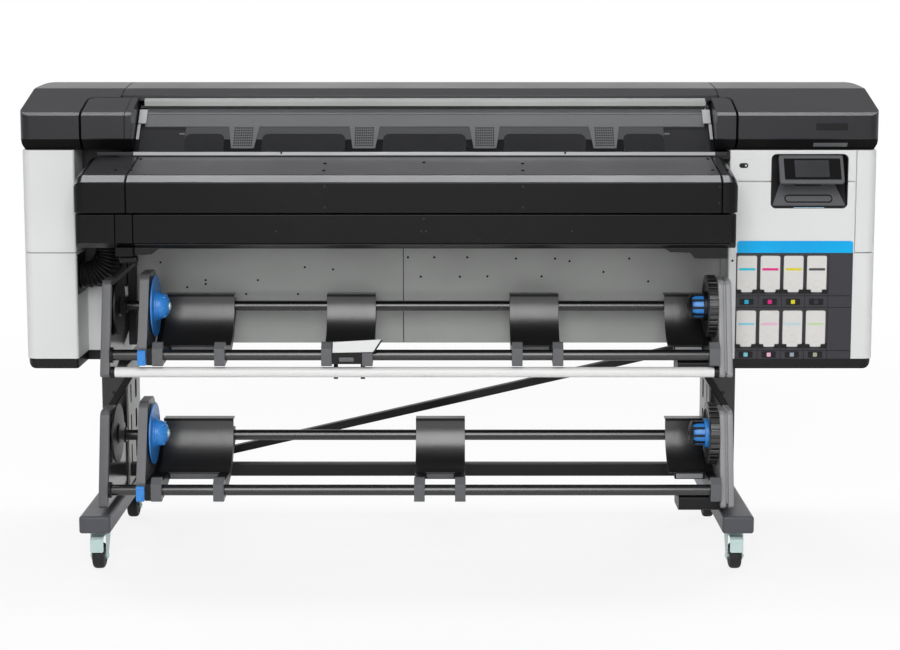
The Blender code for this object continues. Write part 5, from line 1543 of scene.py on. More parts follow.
@dataclass(frozen=True)
class Window:
    """The hinged smoked window with its bar and brackets, and the fixed panels behind it."""

    pane: float = 0.004
    head: float = 1.02
    corner: float = 0.012
    seal_foot: float = 0.965
    seal_inset: float = 0.004
    lift: float = 0.0008
    bar_front: float = 0.0607
    bar_height: float = 0.0210
    bar_inset: float = 0.014
    bar_face: float = 0.0155
    bar_chamfer: float = 0.004
    bar_sill: float = 0.003
    bar_lip: float = 0.001
    brackets: tuple[tuple[Pair, Pair], ...] = (
        ((0.62, 0.93), (0.002, 0.026)), ((0.27, 0.60), (0.001, 0.010)),
    )
    inner_inset: float = 0.022
    inner_wall: float = 0.002
    end_block: float = 0.148
    end_inset: float = 0.012
    tag: Pair = (0.002, 0.018)
    vents: tuple[float, ...] = (-0.626, -0.259, 0.107, 0.470)
    vent_top: float = 0.095
    vent_foot: float = 0.068
    vent_shares: Pair = (0.10, 0.62)
    vent_depth: Pair = (0.0050, 0.004)
    hole: float = 0.0042
    hole_share: float = 0.036
    hole_depth: Pair = (0.0047, 0.0008)
    hole_pitch: float = 0.0066
    hole_columns: int = 9
    hole_shares: tuple[float, ...] = (0.14, 0.195, 0.25, 0.305, 0.36, 0.415, 0.47, 0.525)
    arch_gap: float = 0.010
    arch_round: float = 0.020
    arch_shares: Pair = (0.03, 0.42)
    arch_depth: Pair = (0.0060, 0.0025)

    def line(self, share: float, inside: float = 0.0) -> Pair:
        """A place in (y, z) up the pane's front, moved inside it by a distance."""
        span = Span.of("window")
        foot = Vector((span.low.y, span.low.z))
        head = Vector((self.bar_front, span.high.z - self.bar_height - self.pane))
        way = (head - foot).normalized()
        spot = foot.lerp(head, share) + Vector((way.y, -way.x)) * inside
        return spot.x, spot.y

    def panel(self, name: str, shares: Pair, ends: Pair, inside: float, wall: float) -> Piece:
        """A plate parallel to the pane."""
        line = [self.line(share, inside) for share in shares]
        return drawn(name, sheet_outline(line, -wall), Axis.X, *ends)

    def build(self) -> None:
        """Model the pane, its seal, its bar and its brackets, then the panels behind it."""
        span, body = Span.of("window"), "window"
        left, right = span.low.x, span.high.x
        glass = self.panel("window_pane", (0.0, self.head), (left, right), 0.0, self.pane)
        round_edges(
            glass, self.corner, 5,
            lambda a, b: abs(a.x - b.x) < TINY and (a - b).length < self.pane + TINY,
        )
        dress(soften(glass, Edges.LIP), Finishes.GLASS, body, body)
        ends = (left + self.seal_inset, right - self.seal_inset)
        seal = self.panel("window_seal", (self.seal_foot, self.head), ends, -self.lift, self.lift * 2)
        dress(soften(seal, Edges.LENS), Finishes.BLACK, body)
        low, high = span.high.z - self.bar_height - self.bar_sill, span.high.z
        front, back = self.bar_front, span.high.y
        bevel, lip = front + self.bar_chamfer, self.bar_lip
        profile = [
            (front, low), (front, low + self.bar_face), (bevel, high - lip), (back - lip, high),
            (back, high - lip * 2), (back, low), (bevel, low - self.bar_sill),
        ]
        ends = (left + self.bar_inset, right - self.bar_inset)
        shaped("window_bar", profile, Axis.X, ends, Edges.HANDLE, Finishes.SHEET, body)
        depth = (-self.lift, self.lift * 2)
        parts = [
            soften(self.panel("bracket", shares, (left + start, left + end), *depth), Edges.PLATE)
            for shares, (start, end) in self.brackets
        ]
        near = together("window_left_bracket", *parts)
        mirror = shift(x=left + right) @ Matrix.Scale(-1, 4, (1, 0, 0))
        for bracket in (near, moved(near, "window_right_bracket", mirror)):
            dress(bracket, Finishes.LIGHT_GREY, body)
        self.build_panels(left, right)
        self.build_vents()
        self.build_arches(left, right)

    def build_panels(self, left: float, right: float) -> None:
        """Model the fixed panels that show through the pane.

        Args:
            left: X of the window's left end.
            right: X of its right end.
        """
        wide = (left + self.inner_inset, right - self.inner_inset)
        inner = (left + self.end_block, right - self.end_block)
        near, far = (left + self.end_inset, inner[0]), (inner[1], right - self.end_inset)
        gap, reach = self.tag
        near_tag, far_tag = (inner[0] - reach, inner[0] - gap), (inner[1] + gap, inner[1] + reach)
        for name, shares, ends, inside, finish in (
            ("top_panel", (0.895, 0.99), wide, 0.0062, Finishes.MID_GREY),
            # The light grey rail paints a highlight line across the inner panels.
            ("light_rail", (0.852, 0.888), wide, 0.0056, Finishes.LIGHT_GREY),
            ("upper_panel", (0.58, 0.845), wide, 0.0062, Finishes.MID_GREY),
            ("band_panel", (0.30, 0.572), inner, 0.0068, Finishes.GREY),
            ("left_block", (0.03, 0.50), near, 0.0060, Finishes.DARK),
            ("right_block", (0.03, 0.50), far, 0.0060, Finishes.DARK),
            ("left_ledge", (0.50, 0.572), near, 0.0066, Finishes.BLACK),
            ("right_ledge", (0.50, 0.572), far, 0.0066, Finishes.BLACK),
            ("left_tag", (0.40, 0.435), near_tag, 0.0054, Finishes.LIGHT_GREY),
            ("right_tag", (0.40, 0.435), far_tag, 0.0054, Finishes.LIGHT_GREY),
        ):
            plate = self.panel(f"inner_{name}", shares, ends, inside, self.inner_wall)
            dress(soften(plate, Edges.PLATE), finish)

    def build_vents(self) -> None:
        """Model the four vent boxes behind the pane, with black patches that paint the shade seen through
        their perforations.
        """
        half = self.vent_foot / 2
        box = self.panel("vent_box", self.vent_shares, (-half, half), *self.vent_depth)
        middle = self.line(sum(self.vent_shares) / 2)[1]
        for vertex in box.data.vertices:
            if vertex.co.z > middle:
                vertex.co.x *= self.vent_top / self.vent_foot
        soften(box, Edges.MOULD)
        dress(spread(box, "window_vents", [shift(x) for x in self.vents]), Finishes.MID_GREY)
        # Black patches on the vent boxes paint the shade seen through their perforations.
        rows = [
            self.panel("vent_hole", (share, share + self.hole_share), (0.0, self.hole), *self.hole_depth)
            for share in self.hole_shares
        ]
        start = -(self.hole_pitch * (self.hole_columns - 1) + self.hole) / 2
        moves = [
            shift(x + start + self.hole_pitch * column)
            for x in self.vents
            for column in range(self.hole_columns)
        ]
        dress(spread(together("vent_row", *rows), "window_vent_holes", moves), Finishes.BLACK)

    def build_arches(self, left: float, right: float) -> None:
        """Model the dark covers between the vents, rounded beside each vent.

        Args:
            left: X of the window's left end.
            right: X of its right end.
        """
        half = self.vent_top / 2 + self.arch_gap
        starts = [left + self.end_block, *[x + half for x in self.vents]]
        ends = [*[x - half for x in self.vents], right - self.end_block]
        middle = self.line(sum(self.arch_shares) / 2)[1]
        wall = self.arch_depth[1] + TINY
        covers = [
            self.panel("inner_cover", self.arch_shares, (start, end), *self.arch_depth)
            for start, end in zip(starts, ends)
        ]
        for cover in covers:
            round_edges(
                cover, self.arch_round, 6,
                lambda a, b: abs(a.x - b.x) < TINY and (a - b).length < wall and a.z > middle,
            )
        dress(together("window_inner_covers", *covers), Finishes.BLACK)


@dataclass(frozen=True)
class FrontCovers:
    """The sloped front cover, the fascia under it and the platen's edge strip."""

    slope_front: float = -0.265
    slope_low: float = 1.1615
    chamfer: float = 1.1415
    chamfer_shares: Pair = (0.06, 0.96)
    cap_left: float = -0.9360
    cap_right: float = 0.7880
    end_round: float = 0.030
    end_share: float = 0.9
    edge: float = 0.0028
    edge_rise: float = 0.2
    skin: float = 0.0009
    skin_edge: Edge = Edge(0.00036)
    lip_depth: float = 0.028
    lip_height: float = 0.018
    lip_inset: float = 0.002
    lip_top: Pair = (0.003, 0.006)
    lip_proud: float = 0.0016
    lip_lap: float = 0.001
    lip_back: float = 0.05
    lip_ends: Pair = (0.004, 0.02)
    block_left: float = -0.9690
    block_right: float = -0.9170
    slot_ends: Pair = (-0.924, 0.772)
    slot_front: float = 0.0397
    fascia_round: float = 0.018
    strip_height: float = 0.0100
    strip_gap: float = 0.0006
    strip_proud: float = 0.0016
    strip_depth: float = 0.008
    strip_wall: float = 0.0012
    strip_end: float = 0.004
    notches: Pair = (-0.506, 0.348)
    notch: Pair = (0.003, 0.006)
    tab: Pair = (-0.246, 0.082)
    tab_proud: float = 0.0024
    tab_wall: float = 0.0008
    tab_margins: Pair = (0.001, 0.0005)
    foot_inset: float = 0.001
    foot_depth: Pair = (0.002, 0.050)
    foot_height: Pair = (-0.022, 0.004)
    bracket_depth: Pair = (0.020, 0.060)
    brackets: tuple[tuple[Pair, ...], ...] = (
        ((0.0, 0.002), (0.0, -0.021), (0.050, -0.018), (0.074, 0.002)),
        ((1.537, 0.002), (1.560, -0.011), (1.620, -0.013), (1.632, -0.030), (1.727, -0.030), (1.727, 0.002)),
    )
    grip: float = 0.0125
    grip_place: Pair = (0.045, -0.035)
    grip_ends: Pair = (0.005, 0.006)
    strut: Pair = (0.011, 0.008)
    strut_top: Pair = (-0.006, -0.044)
    strut_foot: Pair = (-0.025, -0.104)
    slope_screw: float = 0.0052
    face_screw: float = 0.0036
    slope_screws: tuple[Pair, ...] = (
        (-0.924, 0.86), (-0.976, 0.25), (-0.931, 0.24), (-0.369, 0.60), (-0.367, 0.22), (-0.076, 0.66),
        (0.217, 0.60), (0.215, 0.22), (0.774, 0.86), (0.770, 0.24), (0.812, 0.26),
    )
    face_screws: tuple[Pair, ...] = (
        (-0.360, 1.131), (-0.360, 1.071), (0.2125, 1.131), (0.2125, 1.071), (0.779, 1.131), (0.779, 1.083),
    )
    fascia_screws: tuple[Pair, ...] = (
        (-0.074, 1.0375), (-0.081, 1.001), (-0.067, 1.001), (-0.501, 1.001), (0.354, 1.001),
    )

    def profile(self) -> list[Pair]:
        """The front cover's section in (y, z)."""
        span = Span.of("front_cover")
        low, high = span.low, span.high
        return [
            (high.y, low.z), (low.y, low.z), (low.y, self.chamfer), (self.slope_front, self.slope_low),
            (high.y, high.z),
        ]

    def build(self) -> None:
        """Model the cover in three parts, the fascia in three parts, the strip and the screws."""
        span = Span.of("front_cover")
        gap = PANEL_GAP / 2
        for name, start, end, outer in (
            ("front_cover_main", self.cap_left + gap, self.cap_right - gap, None),
            ("front_cover_left_cap", span.low.x, self.cap_left - gap, span.low.x),
            ("front_cover_right_cap", self.cap_right + gap, span.high.x, span.high.x),
        ):
            cover = drawn(name, self.profile(), Axis.X, start, end)
            if outer is not None:
                self.round_end(cover, outer)
            soften(cover, Edges.FOLD)
            dress(cover, Finishes.SHADED_FRONT, CARRIER, *(["front_cover"] if outer is None else []))
            self.build_slope(name, start, end, outer)
        self.build_fascia()
        self.build_strip()
        self.build_brackets()
        self.build_screws()

    def build_slope(self, name: str, start: float, end: float, outer: float | None) -> None:
        """Model the skins that paint light on a part's slope and a highlight on its chamfer.

        Args:
            name: Name of the part.
            start: X where the part starts.
            end: X where it ends.
            outer: X of the part's rounded end, if it has one.
        """
        inset, edge = self.end_round * self.end_share, self.edge
        ends = (start + (inset if outer == start else edge), end - (inset if outer == end else edge))
        low, high = Span.of("front_cover").low, Span.of("front_cover").high
        rise = edge * self.edge_rise
        line = [(self.slope_front + edge, self.slope_low + rise), (high.y - edge, high.z - rise)]
        # The slope skin is painted light: a lighter copy of the cover plastic where the slope faces up.
        tone = Finishes.LIT_SLOPE if outer is None else Finishes.DARK
        shaped(f"{name}_slope", sheet_outline(line, self.skin), Axis.X, ends, self.skin_edge, tone)
        # The grey skin on the chamfer is a painted highlight along the cover's fold.
        foot, head = Vector((low.y, self.chamfer)), Vector((self.slope_front, self.slope_low))
        line = [tuple(foot.lerp(head, share)) for share in self.chamfer_shares]
        band = sheet_outline(line, self.skin)
        shaped(f"{name}_chamfer", band, Axis.X, ends, self.skin_edge, Finishes.GREY)

    def round_end(self, piece: Piece, outer: float) -> None:
        """Round the outer front corner of an end piece, given the X of its outer end."""
        span = Span.of("front_cover")
        back, floor = span.high.y - TINY, span.low.z + TINY
        round_edges(
            piece, self.end_round, 6,
            lambda a, b: abs(a.x - outer) < TINY and abs(b.x - outer) < TINY
            and max(a.z, b.z) > floor and min(a.y, b.y) < back,
        )

    def build_fascia(self) -> None:
        """Model the fascia with its open media slot, its two left end parts, and a black lip that paints the
        shade on its lower bevel.
        """
        span = Span.of("lower_fascia")
        low, high = span.low, span.high
        front, knee = low.y, low.y + self.lip_depth
        section = [
            (high.y, high.z), (front, high.z), (front, low.z + self.lip_height), (knee, low.z),
            (high.y, low.z),
        ]
        gap = PANEL_GAP / 2
        for name, start, end, outer in (
            ("fascia_main", self.block_right + gap, high.x, high.x),
            ("fascia_block", self.block_left + gap, self.block_right - gap, None),
            ("fascia_left_end", low.x, self.block_left - gap, low.x),
        ):
            fascia = drawn(name, section, Axis.X, start, end)
            if outer is not None:
                round_edges(
                    fascia, self.fascia_round, 5,
                    lambda a, b: abs(a.x - outer) < TINY and abs(b.x - outer) < TINY
                    and max(a.y, b.y) < front + TINY,
                )
            soften(fascia, Edges.FASCIA)
            if name == "fascia_main":
                left, right = self.slot_ends
                slot = block("slot", (left, self.slot_front, 0.0), (right, high.y + REACH, SKY))
                dress(work(fascia, Cut.AWAY, slot), Finishes.SHADED_FRONT, CARRIER, "lower_fascia")
            else:
                dress(fascia, Finishes.SHADED_FRONT)
        # The black lip on the fascia's lower bevel is painted shade where the bevel faces down.
        inset, top = front + self.lip_inset, low.z + self.lip_height
        under, over, back = low.z - self.lip_proud, low.z + self.lip_lap, knee + self.lip_back
        lip = [
            (inset, top - self.lip_top[0]), (inset, top - self.lip_top[1]), (knee, under), (back, under),
            (back, over), (knee, over),
        ]
        ends = (self.block_right + self.lip_ends[0], high.x - self.lip_ends[1])
        shaped("fascia_lip", lip, Axis.X, ends, Edges.LIP, Finishes.BLACK)

    def build_strip(self) -> None:
        """Model the aluminium strip on the platen's front edge, its raised middle and its dark ends."""
        front = Span.of("print_beam").low.y
        window, cover = Span.of("window"), Span.of("front_cover")
        top = window.low.z - self.strip_gap
        low = top - self.strip_height
        face = front - self.strip_proud
        section = sheet_outline([(face, low), (face, top), (front + self.strip_depth, top)], -self.strip_wall)
        strip = drawn("platen_strip", section, Axis.X, window.low.x, window.high.x)
        half, drop = self.notch
        notches = [
            block("notch", (x - half, front - REACH, top - drop), (x + half, front + REACH, top + REACH))
            for x in self.notches
        ]
        work(strip, Cut.AWAY, *notches)
        dress(soften(strip, Edges.SKIN), Finishes.SILVER)
        face = front - self.tab_proud
        line = [(face, low + self.tab_margins[0]), (face, top - self.tab_margins[1])]
        outline = sheet_outline(line, -self.tab_wall)
        shaped("platen_tab", outline, Axis.X, self.tab, Edges.LENS, Finishes.SILVER)
        ends = [
            drawn("end", section, Axis.X, start, end)
            for start, end in (
                (cover.low.x + self.end_round, window.low.x - TINY),
                (window.high.x + TINY, cover.high.x - self.strip_end),
            )
        ]
        dress(soften(together("platen_strip_ends", *ends), Edges.SKIN), Finishes.DARK)

    def build_brackets(self) -> None:
        """Model what hangs under the fascia: the block's foot, two brackets, a grip and its strut."""
        low = Span.of("lower_fascia").low
        left, right = self.block_left, self.block_right
        (near, far), (under, over) = self.foot_depth, self.foot_height
        boxed(
            "fascia_foot", (left + self.foot_inset, low.y + near, low.z + under),
            (right - self.foot_inset, low.y + far, low.z + over), Edges.BLOCK, Finishes.SHADED_FRONT,
        )
        near, far = self.bracket_depth
        brackets = [
            drawn("bracket", [(right + x, low.z + z) for x, z in outline], Axis.Y, low.y + near, low.y + far)
            for outline in self.brackets
        ]
        dress(soften(together("fascia_brackets", *brackets), Edges.CASE), Finishes.BLACK)
        spot = (low.y + self.grip_place[0], low.z + self.grip_place[1])
        start, end = left + self.grip_ends[0], right + self.grip_ends[1]
        grip = rod("feed_grip", Axis.X, spot, self.grip, start, end, 32)
        dress(soften(grip, Edges.GRIP), Finishes.BLACK)
        width, depth = self.strut
        line = [
            (right + self.strut_top[0], low.z + self.strut_top[1]),
            (left + self.strut_foot[0], low.z + self.strut_foot[1]),
        ]
        ends = (spot[0], spot[0] + depth)
        shaped("feed_strut", sheet_outline(line, width), Axis.Y, ends, Edges.STRUT, Finishes.BLACK)

    def build_screws(self) -> None:
        """Model the screws on the slope, on the face and on the fascia."""
        span = Span.of("front_cover")
        slope = Vector((self.slope_front, self.slope_low))
        rise = Vector((span.high.y, span.high.z)) - slope
        facing = Vector((0, -rise.y, rise.x)).normalized()
        places = [
            Vector((x, *(slope + rise * share))) + facing * self.skin for x, share in self.slope_screws
        ]
        screws = ScrewHead(radius=self.slope_screw).at("front_slope_screws", places, facing)
        dress(screws, Finishes.MATT_AND_SHADE)
        for name, node, spots in (
            ("front_face_screws", "front_cover", self.face_screws),
            ("fascia_screws", "lower_fascia", self.fascia_screws),
        ):
            places = [Vector((x, Span.of(node).low.y, z)) for x, z in spots]
            dress(ScrewHead(radius=self.face_screw).at(name, places, FORWARD), Finishes.STEEL)


@dataclass(frozen=True)
class MediaPan:
    """The folded sheet behind the rolls, with its seam, its holes and its louvres."""

    wall: float = 0.002
    fold_high: float = 0.775
    fold_low: float = 0.660
    fold_back: float = 0.094
    foot_back: float = 0.098
    front_top: float = 1.103
    seam_x: float = -0.1445
    seam_half: float = 0.0012
    seam_lap: float = 0.001
    hole: float = 0.0036
    shade_sheet_gap: float = 0.003
    shade_sheet_inset: float = 0.02
    shade_sheet_foot: float = 0.012
    holes: tuple[Pair, ...] = (
        (-0.902, 0.860), (-0.762, 0.804), (-0.762, 0.792), (-0.820, 0.782), (-0.599, 0.804), (-0.636, 0.760),
        (-0.452, 0.845), (-0.474, 0.760), (-0.364, 0.838), (-0.130, 0.876), (-0.048, 0.876), (0.055, 0.876),
        (0.207, 0.872), (0.329, 0.872), (0.374, 0.864), (-0.090, 0.815), (0.032, 0.815), (0.118, 0.816),
        (0.287, 0.816), (0.480, 0.830), (0.560, 0.872), (0.620, 0.800),
    )
    slat: tuple[Pair, ...] = ((-TINY, 0.0), (0.004, 0.002), (0.004, 0.004), (-TINY, 0.011))
    slat_half: float = 0.10
    slat_columns: tuple[float, ...] = (-0.60, 0.0, 0.52)
    slat_rows: int = 7
    slat_low: float = 0.80
    slat_pitch: float = 0.022
    rear_columns: tuple[float, ...] = (-0.96, -0.50, -0.06, 0.38, 0.81)
    rear_rows: Pair = (0.640, 1.190)

    def build(self) -> None:
        """Model the front wall with its folds, the floor and the rear wall."""
        span = Span.of("media_pan")
        low, high = span.low, span.high
        line = [
            (low.y, self.front_top), (low.y, self.fold_high), (self.fold_back, self.fold_low),
            (self.foot_back, low.z), (high.y, low.z), (high.y, high.z),
        ]
        pan = drawn("media_pan_sheet", sheet_outline(line, self.wall), Axis.X, low.x, high.x)
        soften(pan, Edges.PAN)
        near = low.y - REACH
        tools = [rod("hole", Axis.Y, hole, self.hole, near, low.y + REACH, 16) for hole in self.holes]
        behind = self.foot_back + self.wall + self.seam_lap
        seam = block(
            "seam", (self.seam_x - self.seam_half, near, 0.0), (self.seam_x + self.seam_half, behind, SKY)
        )
        work(pan, Cut.AWAY, *tools, seam)
        dress(pan, Finishes.SHEET, CARRIER, "media_pan")
        # A matt black sheet behind the front wall paints the shade seen through its holes and seam.
        inset, behind = self.shade_sheet_inset, self.wall + self.shade_sheet_gap
        shade_sheet = [
            (low.y + behind, self.front_top - inset), (low.y + behind, self.fold_high),
            (self.fold_back + behind, self.fold_low), (self.foot_back + behind, low.z + self.shade_sheet_foot),
        ]
        outline, ends = sheet_outline(shade_sheet, self.wall), (low.x + inset, high.x - inset)
        shaped("media_pan_lining", outline, Axis.X, ends, Edges.SKIN, Finishes.MATT_AND_SHADE)
        self.build_rear()

    def build_rear(self) -> None:
        """Model the rear wall's louvres and screws."""
        back = Span.of("media_pan").high.y
        outline = [(back + y, z) for y, z in self.slat]
        slat = soften(drawn("slat", outline, Axis.X, -self.slat_half, self.slat_half), Edges.LIP)
        moves = [
            shift(x=x, z=self.slat_low + self.slat_pitch * row)
            for x in self.slat_columns
            for row in range(self.slat_rows)
        ]
        dress(spread(slat, "rear_louvres", moves), Finishes.SHEET)
        places = [Vector((x, back, z)) for x in self.rear_columns for z in self.rear_rows]
        dress(ScrewHead().at("rear_screws", places, -FORWARD), Finishes.STEEL)


@dataclass(frozen=True)
class AirHose:
    """The corrugated hose from the left module up into the fascia."""

    radius: float = 0.0425
    rib: float = 0.0055
    rib_shape: float = 0.6
    ribs: int = 17
    bend: float = 0.075
    straight: float = 0.012
    wall: float = 0.003
    sides: int = 40
    points_per_rib: int = 6
    smoothness: int = 32

    def route(self, start: Vector, rise: float) -> Piece:
        """The line that the hose follows: out of the wall, round the bend and up.

        Args:
            start: Where it leaves the wall.
            rise: Height of its last straight length.

        Returns:
            The line as a curve.
        """
        deselect()
        bpy.ops.curve.primitive_bezier_curve_add(location=(0, 0, 0))
        line = bpy.context.object
        points = line.data.splines[0].bezier_points
        points.add(2)
        out, up = Vector((1, 0, 0)), Vector((0, 0, 1))
        first = start + out * self.straight
        last = first + (out + up) * self.bend
        pull = self.bend * 4 / 3 * (math.sqrt(2) - 1)
        near, far = out * self.straight / 3, up * rise / 3
        for point, place, before, after in zip(
            points, (start, first, last, last + up * rise), (near, near, up * pull, far),
            (near, out * pull, far, far),
        ):
            point.handle_left_type = point.handle_right_type = "FREE"
            point.co, point.handle_left, point.handle_right = place, place - before, place + after
        line.data.resolution_u = self.smoothness
        return line

    def build(self) -> None:
        """Model the hose as a ribbed tube with an open bore, bent along its line."""
        span = Span.of("air_hose")
        start = Vector((span.low.x, span.middle.y, span.low.z + self.radius))
        rise = span.high.z - start.z - self.bend
        length = self.straight + self.bend * math.pi / 2 + rise
        count = self.ribs * self.points_per_rib
        ribs = []
        for step in range(count + 1):
            wave = 0.5 - 0.5 * math.cos(2 * math.pi * step / self.points_per_rib)
            ribs.append((length * step / count, self.radius - self.rib * (1 - wave ** self.rib_shape)))
        bore = [(along, radius - self.wall) for along, radius in reversed(ribs)]
        hose = turned("ribbed_hose", ribs + bore, Axis.X, (0.0, 0.0), self.sides, closed=True)
        line = self.route(start, rise)
        applied(hose, "CURVE", object=line, deform_axis="POS_X")
        discard(line)
        dress(hose, Finishes.HOSE, CARRIER, "air_hose")


@dataclass(frozen=True)
class Station:
    """Places of one roll station in (y, z), read from the frame."""

    name: str
    rail: Vector
    rear: Vector
    hub: Vector

    @classmethod
    def of(cls, name: str) -> "Station":
        """The upper or lower station."""
        spots = [Span.of(f"{name}_{part}").middle for part in ("front_rail", "rear_rail", "left_hub")]
        return cls(name, *(Vector((spot.y, spot.z)) for spot in spots))


@dataclass(frozen=True)
class RollStation:
    """Plates, rails, holder, supports and hubs of one roll station."""

    station: Station
    supports: tuple[str, ...]
    carded: str = ""
    roll: float = 0.125
    wall: float = 0.004
    lip: float = 0.036
    rib: float = 0.027
    rib_depth: float = 0.026
    rib_width: float = 0.030
    rib_share: float = 0.8
    rib_bevel: float = 0.005
    rail_radius: float = 0.016
    rail_room: float = 0.0006
    collar: tuple[Pair, ...] = (
        (0.0005, 0.0004), (0.0005, 0.007), (0.008, 0.007), (0.010, 0.005), (0.010, 0.0004)
    )
    upper_head: tuple[Pair, Pair] = ((0.03, 0.085), (-0.055, 0.085))
    upper_rounds: tuple[float, ...] = (0.010, 0.02, 0.01, 0.010, 0.02, 0.030, 0.022)
    lower_head: tuple[Pair, Pair] = ((0.03, 0.080), (-0.065, 0.080))
    lower_rounds: tuple[float, ...] = (0.010, 0.0, 0.010, 0.030, 0.022)
    plate_skin: float = 0.0012
    shade_skin_share: float = 0.06
    plate_gap: float = 0.005
    plate_core: float = 0.008
    core_shares: Pair = (0.07, 0.04)
    drum: float = 0.088
    drum_width: float = 0.014
    drum_rim: float = 0.005
    drum_cap: float = 0.004
    drum_shares: Triple = (0.4, 0.36, 0.30)
    hub_gap: float = 0.0003
    motor_low: Triple = (0.016, 0.006, -0.064)
    motor_high: Pair = (0.105, -0.020)
    motor_round: float = 0.010
    band: Pair = (8.0, 4.5)
    band_depth: Pair = (0.0022, 0.0006)
    trough_foot: float = -82
    trough_turn: float = 3
    bed_foot: float = -78
    belly: Pair = (-75, -35)
    rib_back: float = 0.7
    lap: float = 0.001
    groove: float = 0.0022
    groove_depth: float = 0.0012
    groove_ends: Pair = (-2, -80)
    clamp: tuple[Pair, ...] = (
        (-0.0015, -0.0245), (-0.002, -0.008), (-0.0008, 0.022), (0.014, 0.040), (0.025, 0.040),
        (0.025, -0.029), (0.003, -0.029),
    )
    clamp_lap: float = 0.0005
    strip_bar: tuple[Pair, Pair] = ((-0.004, -0.022), (0.012, -0.002))
    strip: tuple[Pair, Pair] = ((0.004, -0.019), (-0.004, -0.005))
    strip_depth: Pair = (-0.006, -0.0042)
    strip_corner: float = 0.002
    strip_reach: float = 0.012
    card: tuple[Pair, ...] = ((0.033, 0.0124), (0.152, 0.0148), (0.176, 0.0520), (0.035, 0.0442))
    card_gap: float = 0.0025
    card_wall: float = 0.003
    card_holder: Triple = (0.004, 0.010, -0.003)
    catch: tuple[Triple, Triple] = ((0.031, -0.001, -0.022), (0.120, 0.009, 0.013))
    button: tuple[Triple, Triple] = ((0.052, -0.006, -0.014), (0.096, 0.0, -0.001))
    hook: Pair = (0.033, 0.046)
    hook_gap: float = 0.004
    hook_nose: Pair = (0.002, 0.006)
    hook_pitch: float = 0.080
    arm: float = 0.027
    arm_head: tuple[Pair, ...] = ((0.045, 0.105), (-0.055, 0.105), (-0.080, 0.020))
    arm_rounds: tuple[float, ...] = (0.012, 0.012, 0.016, 0.016, 0.030, 0.030, 0.030, 0.012)
    trough_gap: float = 0.0163
    flange: float = 0.0915
    flange_rim: float = 0.0105
    core: float = 0.039
    fins: int = 6
    fin_half: float = 0.0045
    lever_line: Pair = (0.0012, 0.0006)
    lever_cuts: Pair = (0.0016, 0.004)
    lever_step: float = 0.006
    gear: float = 0.093
    gear_width: float = 0.028
    teeth: int = 30
    tooth: tuple[Pair, ...] = ((0.010, 0.0066), (0.0012, 0.0060), (0.0, 0.0048))
    cage_bars: int = 10
    bar_turn: float = 5

    def build(self) -> None:
        """Model every piece of the station."""
        self.build_rails()
        self.build_left_plate()
        self.build_right_plate()
        self.build_holder()
        self.build_left_hub()
        self.build_lever()
        self.build_right_hub()
        for node in self.supports:
            self.build_support(node)
        if self.carded:
            self.build_card(self.carded)

    def name(self, part: str) -> str:
        """A piece's name with the station's in front."""
        return f"{self.station.name}_{part}"

    def rail_tool(self, spot: Vector, start: float, end: float) -> Piece:
        """A tool that clears a rail between two places along X."""
        room = self.rail_radius + self.rail_room
        return rod("rail_tool", Axis.X, tuple(spot), room, start - REACH, end + REACH, 40)

    def on_rails(self, name: str, outline: Sequence[Pair], start: float, end: float) -> Piece:
        """A body drawn along X that leaves room for both rails."""
        tools = [self.rail_tool(spot, start, end) for spot in (self.station.rail, self.station.rear)]
        return work(drawn(name, outline, Axis.X, start, end), Cut.AWAY, *tools)

    def build_rails(self) -> None:
        """Model both rails with chamfered ends and left collars."""
        for part in ("front_rail", "rear_rail"):
            node = self.name(part)
            span = Span.of(node)
            centre, radius = (span.middle.y, span.middle.z), self.rail_radius
            bar = rod(f"{node}_bar", Axis.X, centre, radius, span.low.x, span.high.x, 56)
            dress(soften(bar, Edges.BAR), Finishes.RAIL, CARRIER, node)
            profile = [(span.low.x + along, radius + height) for along, height in self.collar]
            dress(turned(f"{node}_collar", profile, Axis.X, centre, 48, closed=True), Finishes.BLACK)

    def plate_outline(self) -> list[Pair]:
        """The side plates' outline in (y, z)."""
        rail, rear, hub, rib = self.station.rail, self.station.rear, self.station.hub, self.rib
        span = Span.of(self.name("left_plate"))
        back, low = span.high.y, span.low.z
        front = (rail.x - rib * self.rib_share, low)
        if self.station.name == "upper":
            head = [tuple(hub + Vector(corner)) for corner in self.upper_head]
            points = [
                front, (rail.x + rib * 3, low), (back, rear.y - rib * 3),
                (back, rear.y + rib * self.rib_share), (rear.x - rib, rear.y + rib), *head,
            ]
            return rounded(points, self.upper_rounds, 8)
        head = [tuple(hub + Vector(corner)) for corner in self.lower_head]
        return rounded([front, (back, low), (back, rear.y + rib), *head], self.lower_rounds, 8)

    def draw_in(self, piece: Piece, across: float, up: float) -> Piece:
        """Draw a plate in towards the roll's axis by a share of its size each way."""
        hub = self.station.hub
        for vertex in piece.data.vertices:
            vertex.co.y += (hub.x - vertex.co.y) * across
            vertex.co.z += (hub.y - vertex.co.z) * up
        return piece

    def build_left_plate(self) -> None:
        """Model the left plate, the black skin that paints the shade on its inner face, and its drum."""
        outline, node = self.plate_outline(), self.name("left_plate")
        span = Span.of(node)
        ends = (span.low.x, span.high.x)
        name = self.name("left_side_plate")
        shaped(name, outline, Axis.X, ends, Edges.CASTING, Finishes.CASTING, CARRIER, node)
        face, drum = span.high.x, self.drum
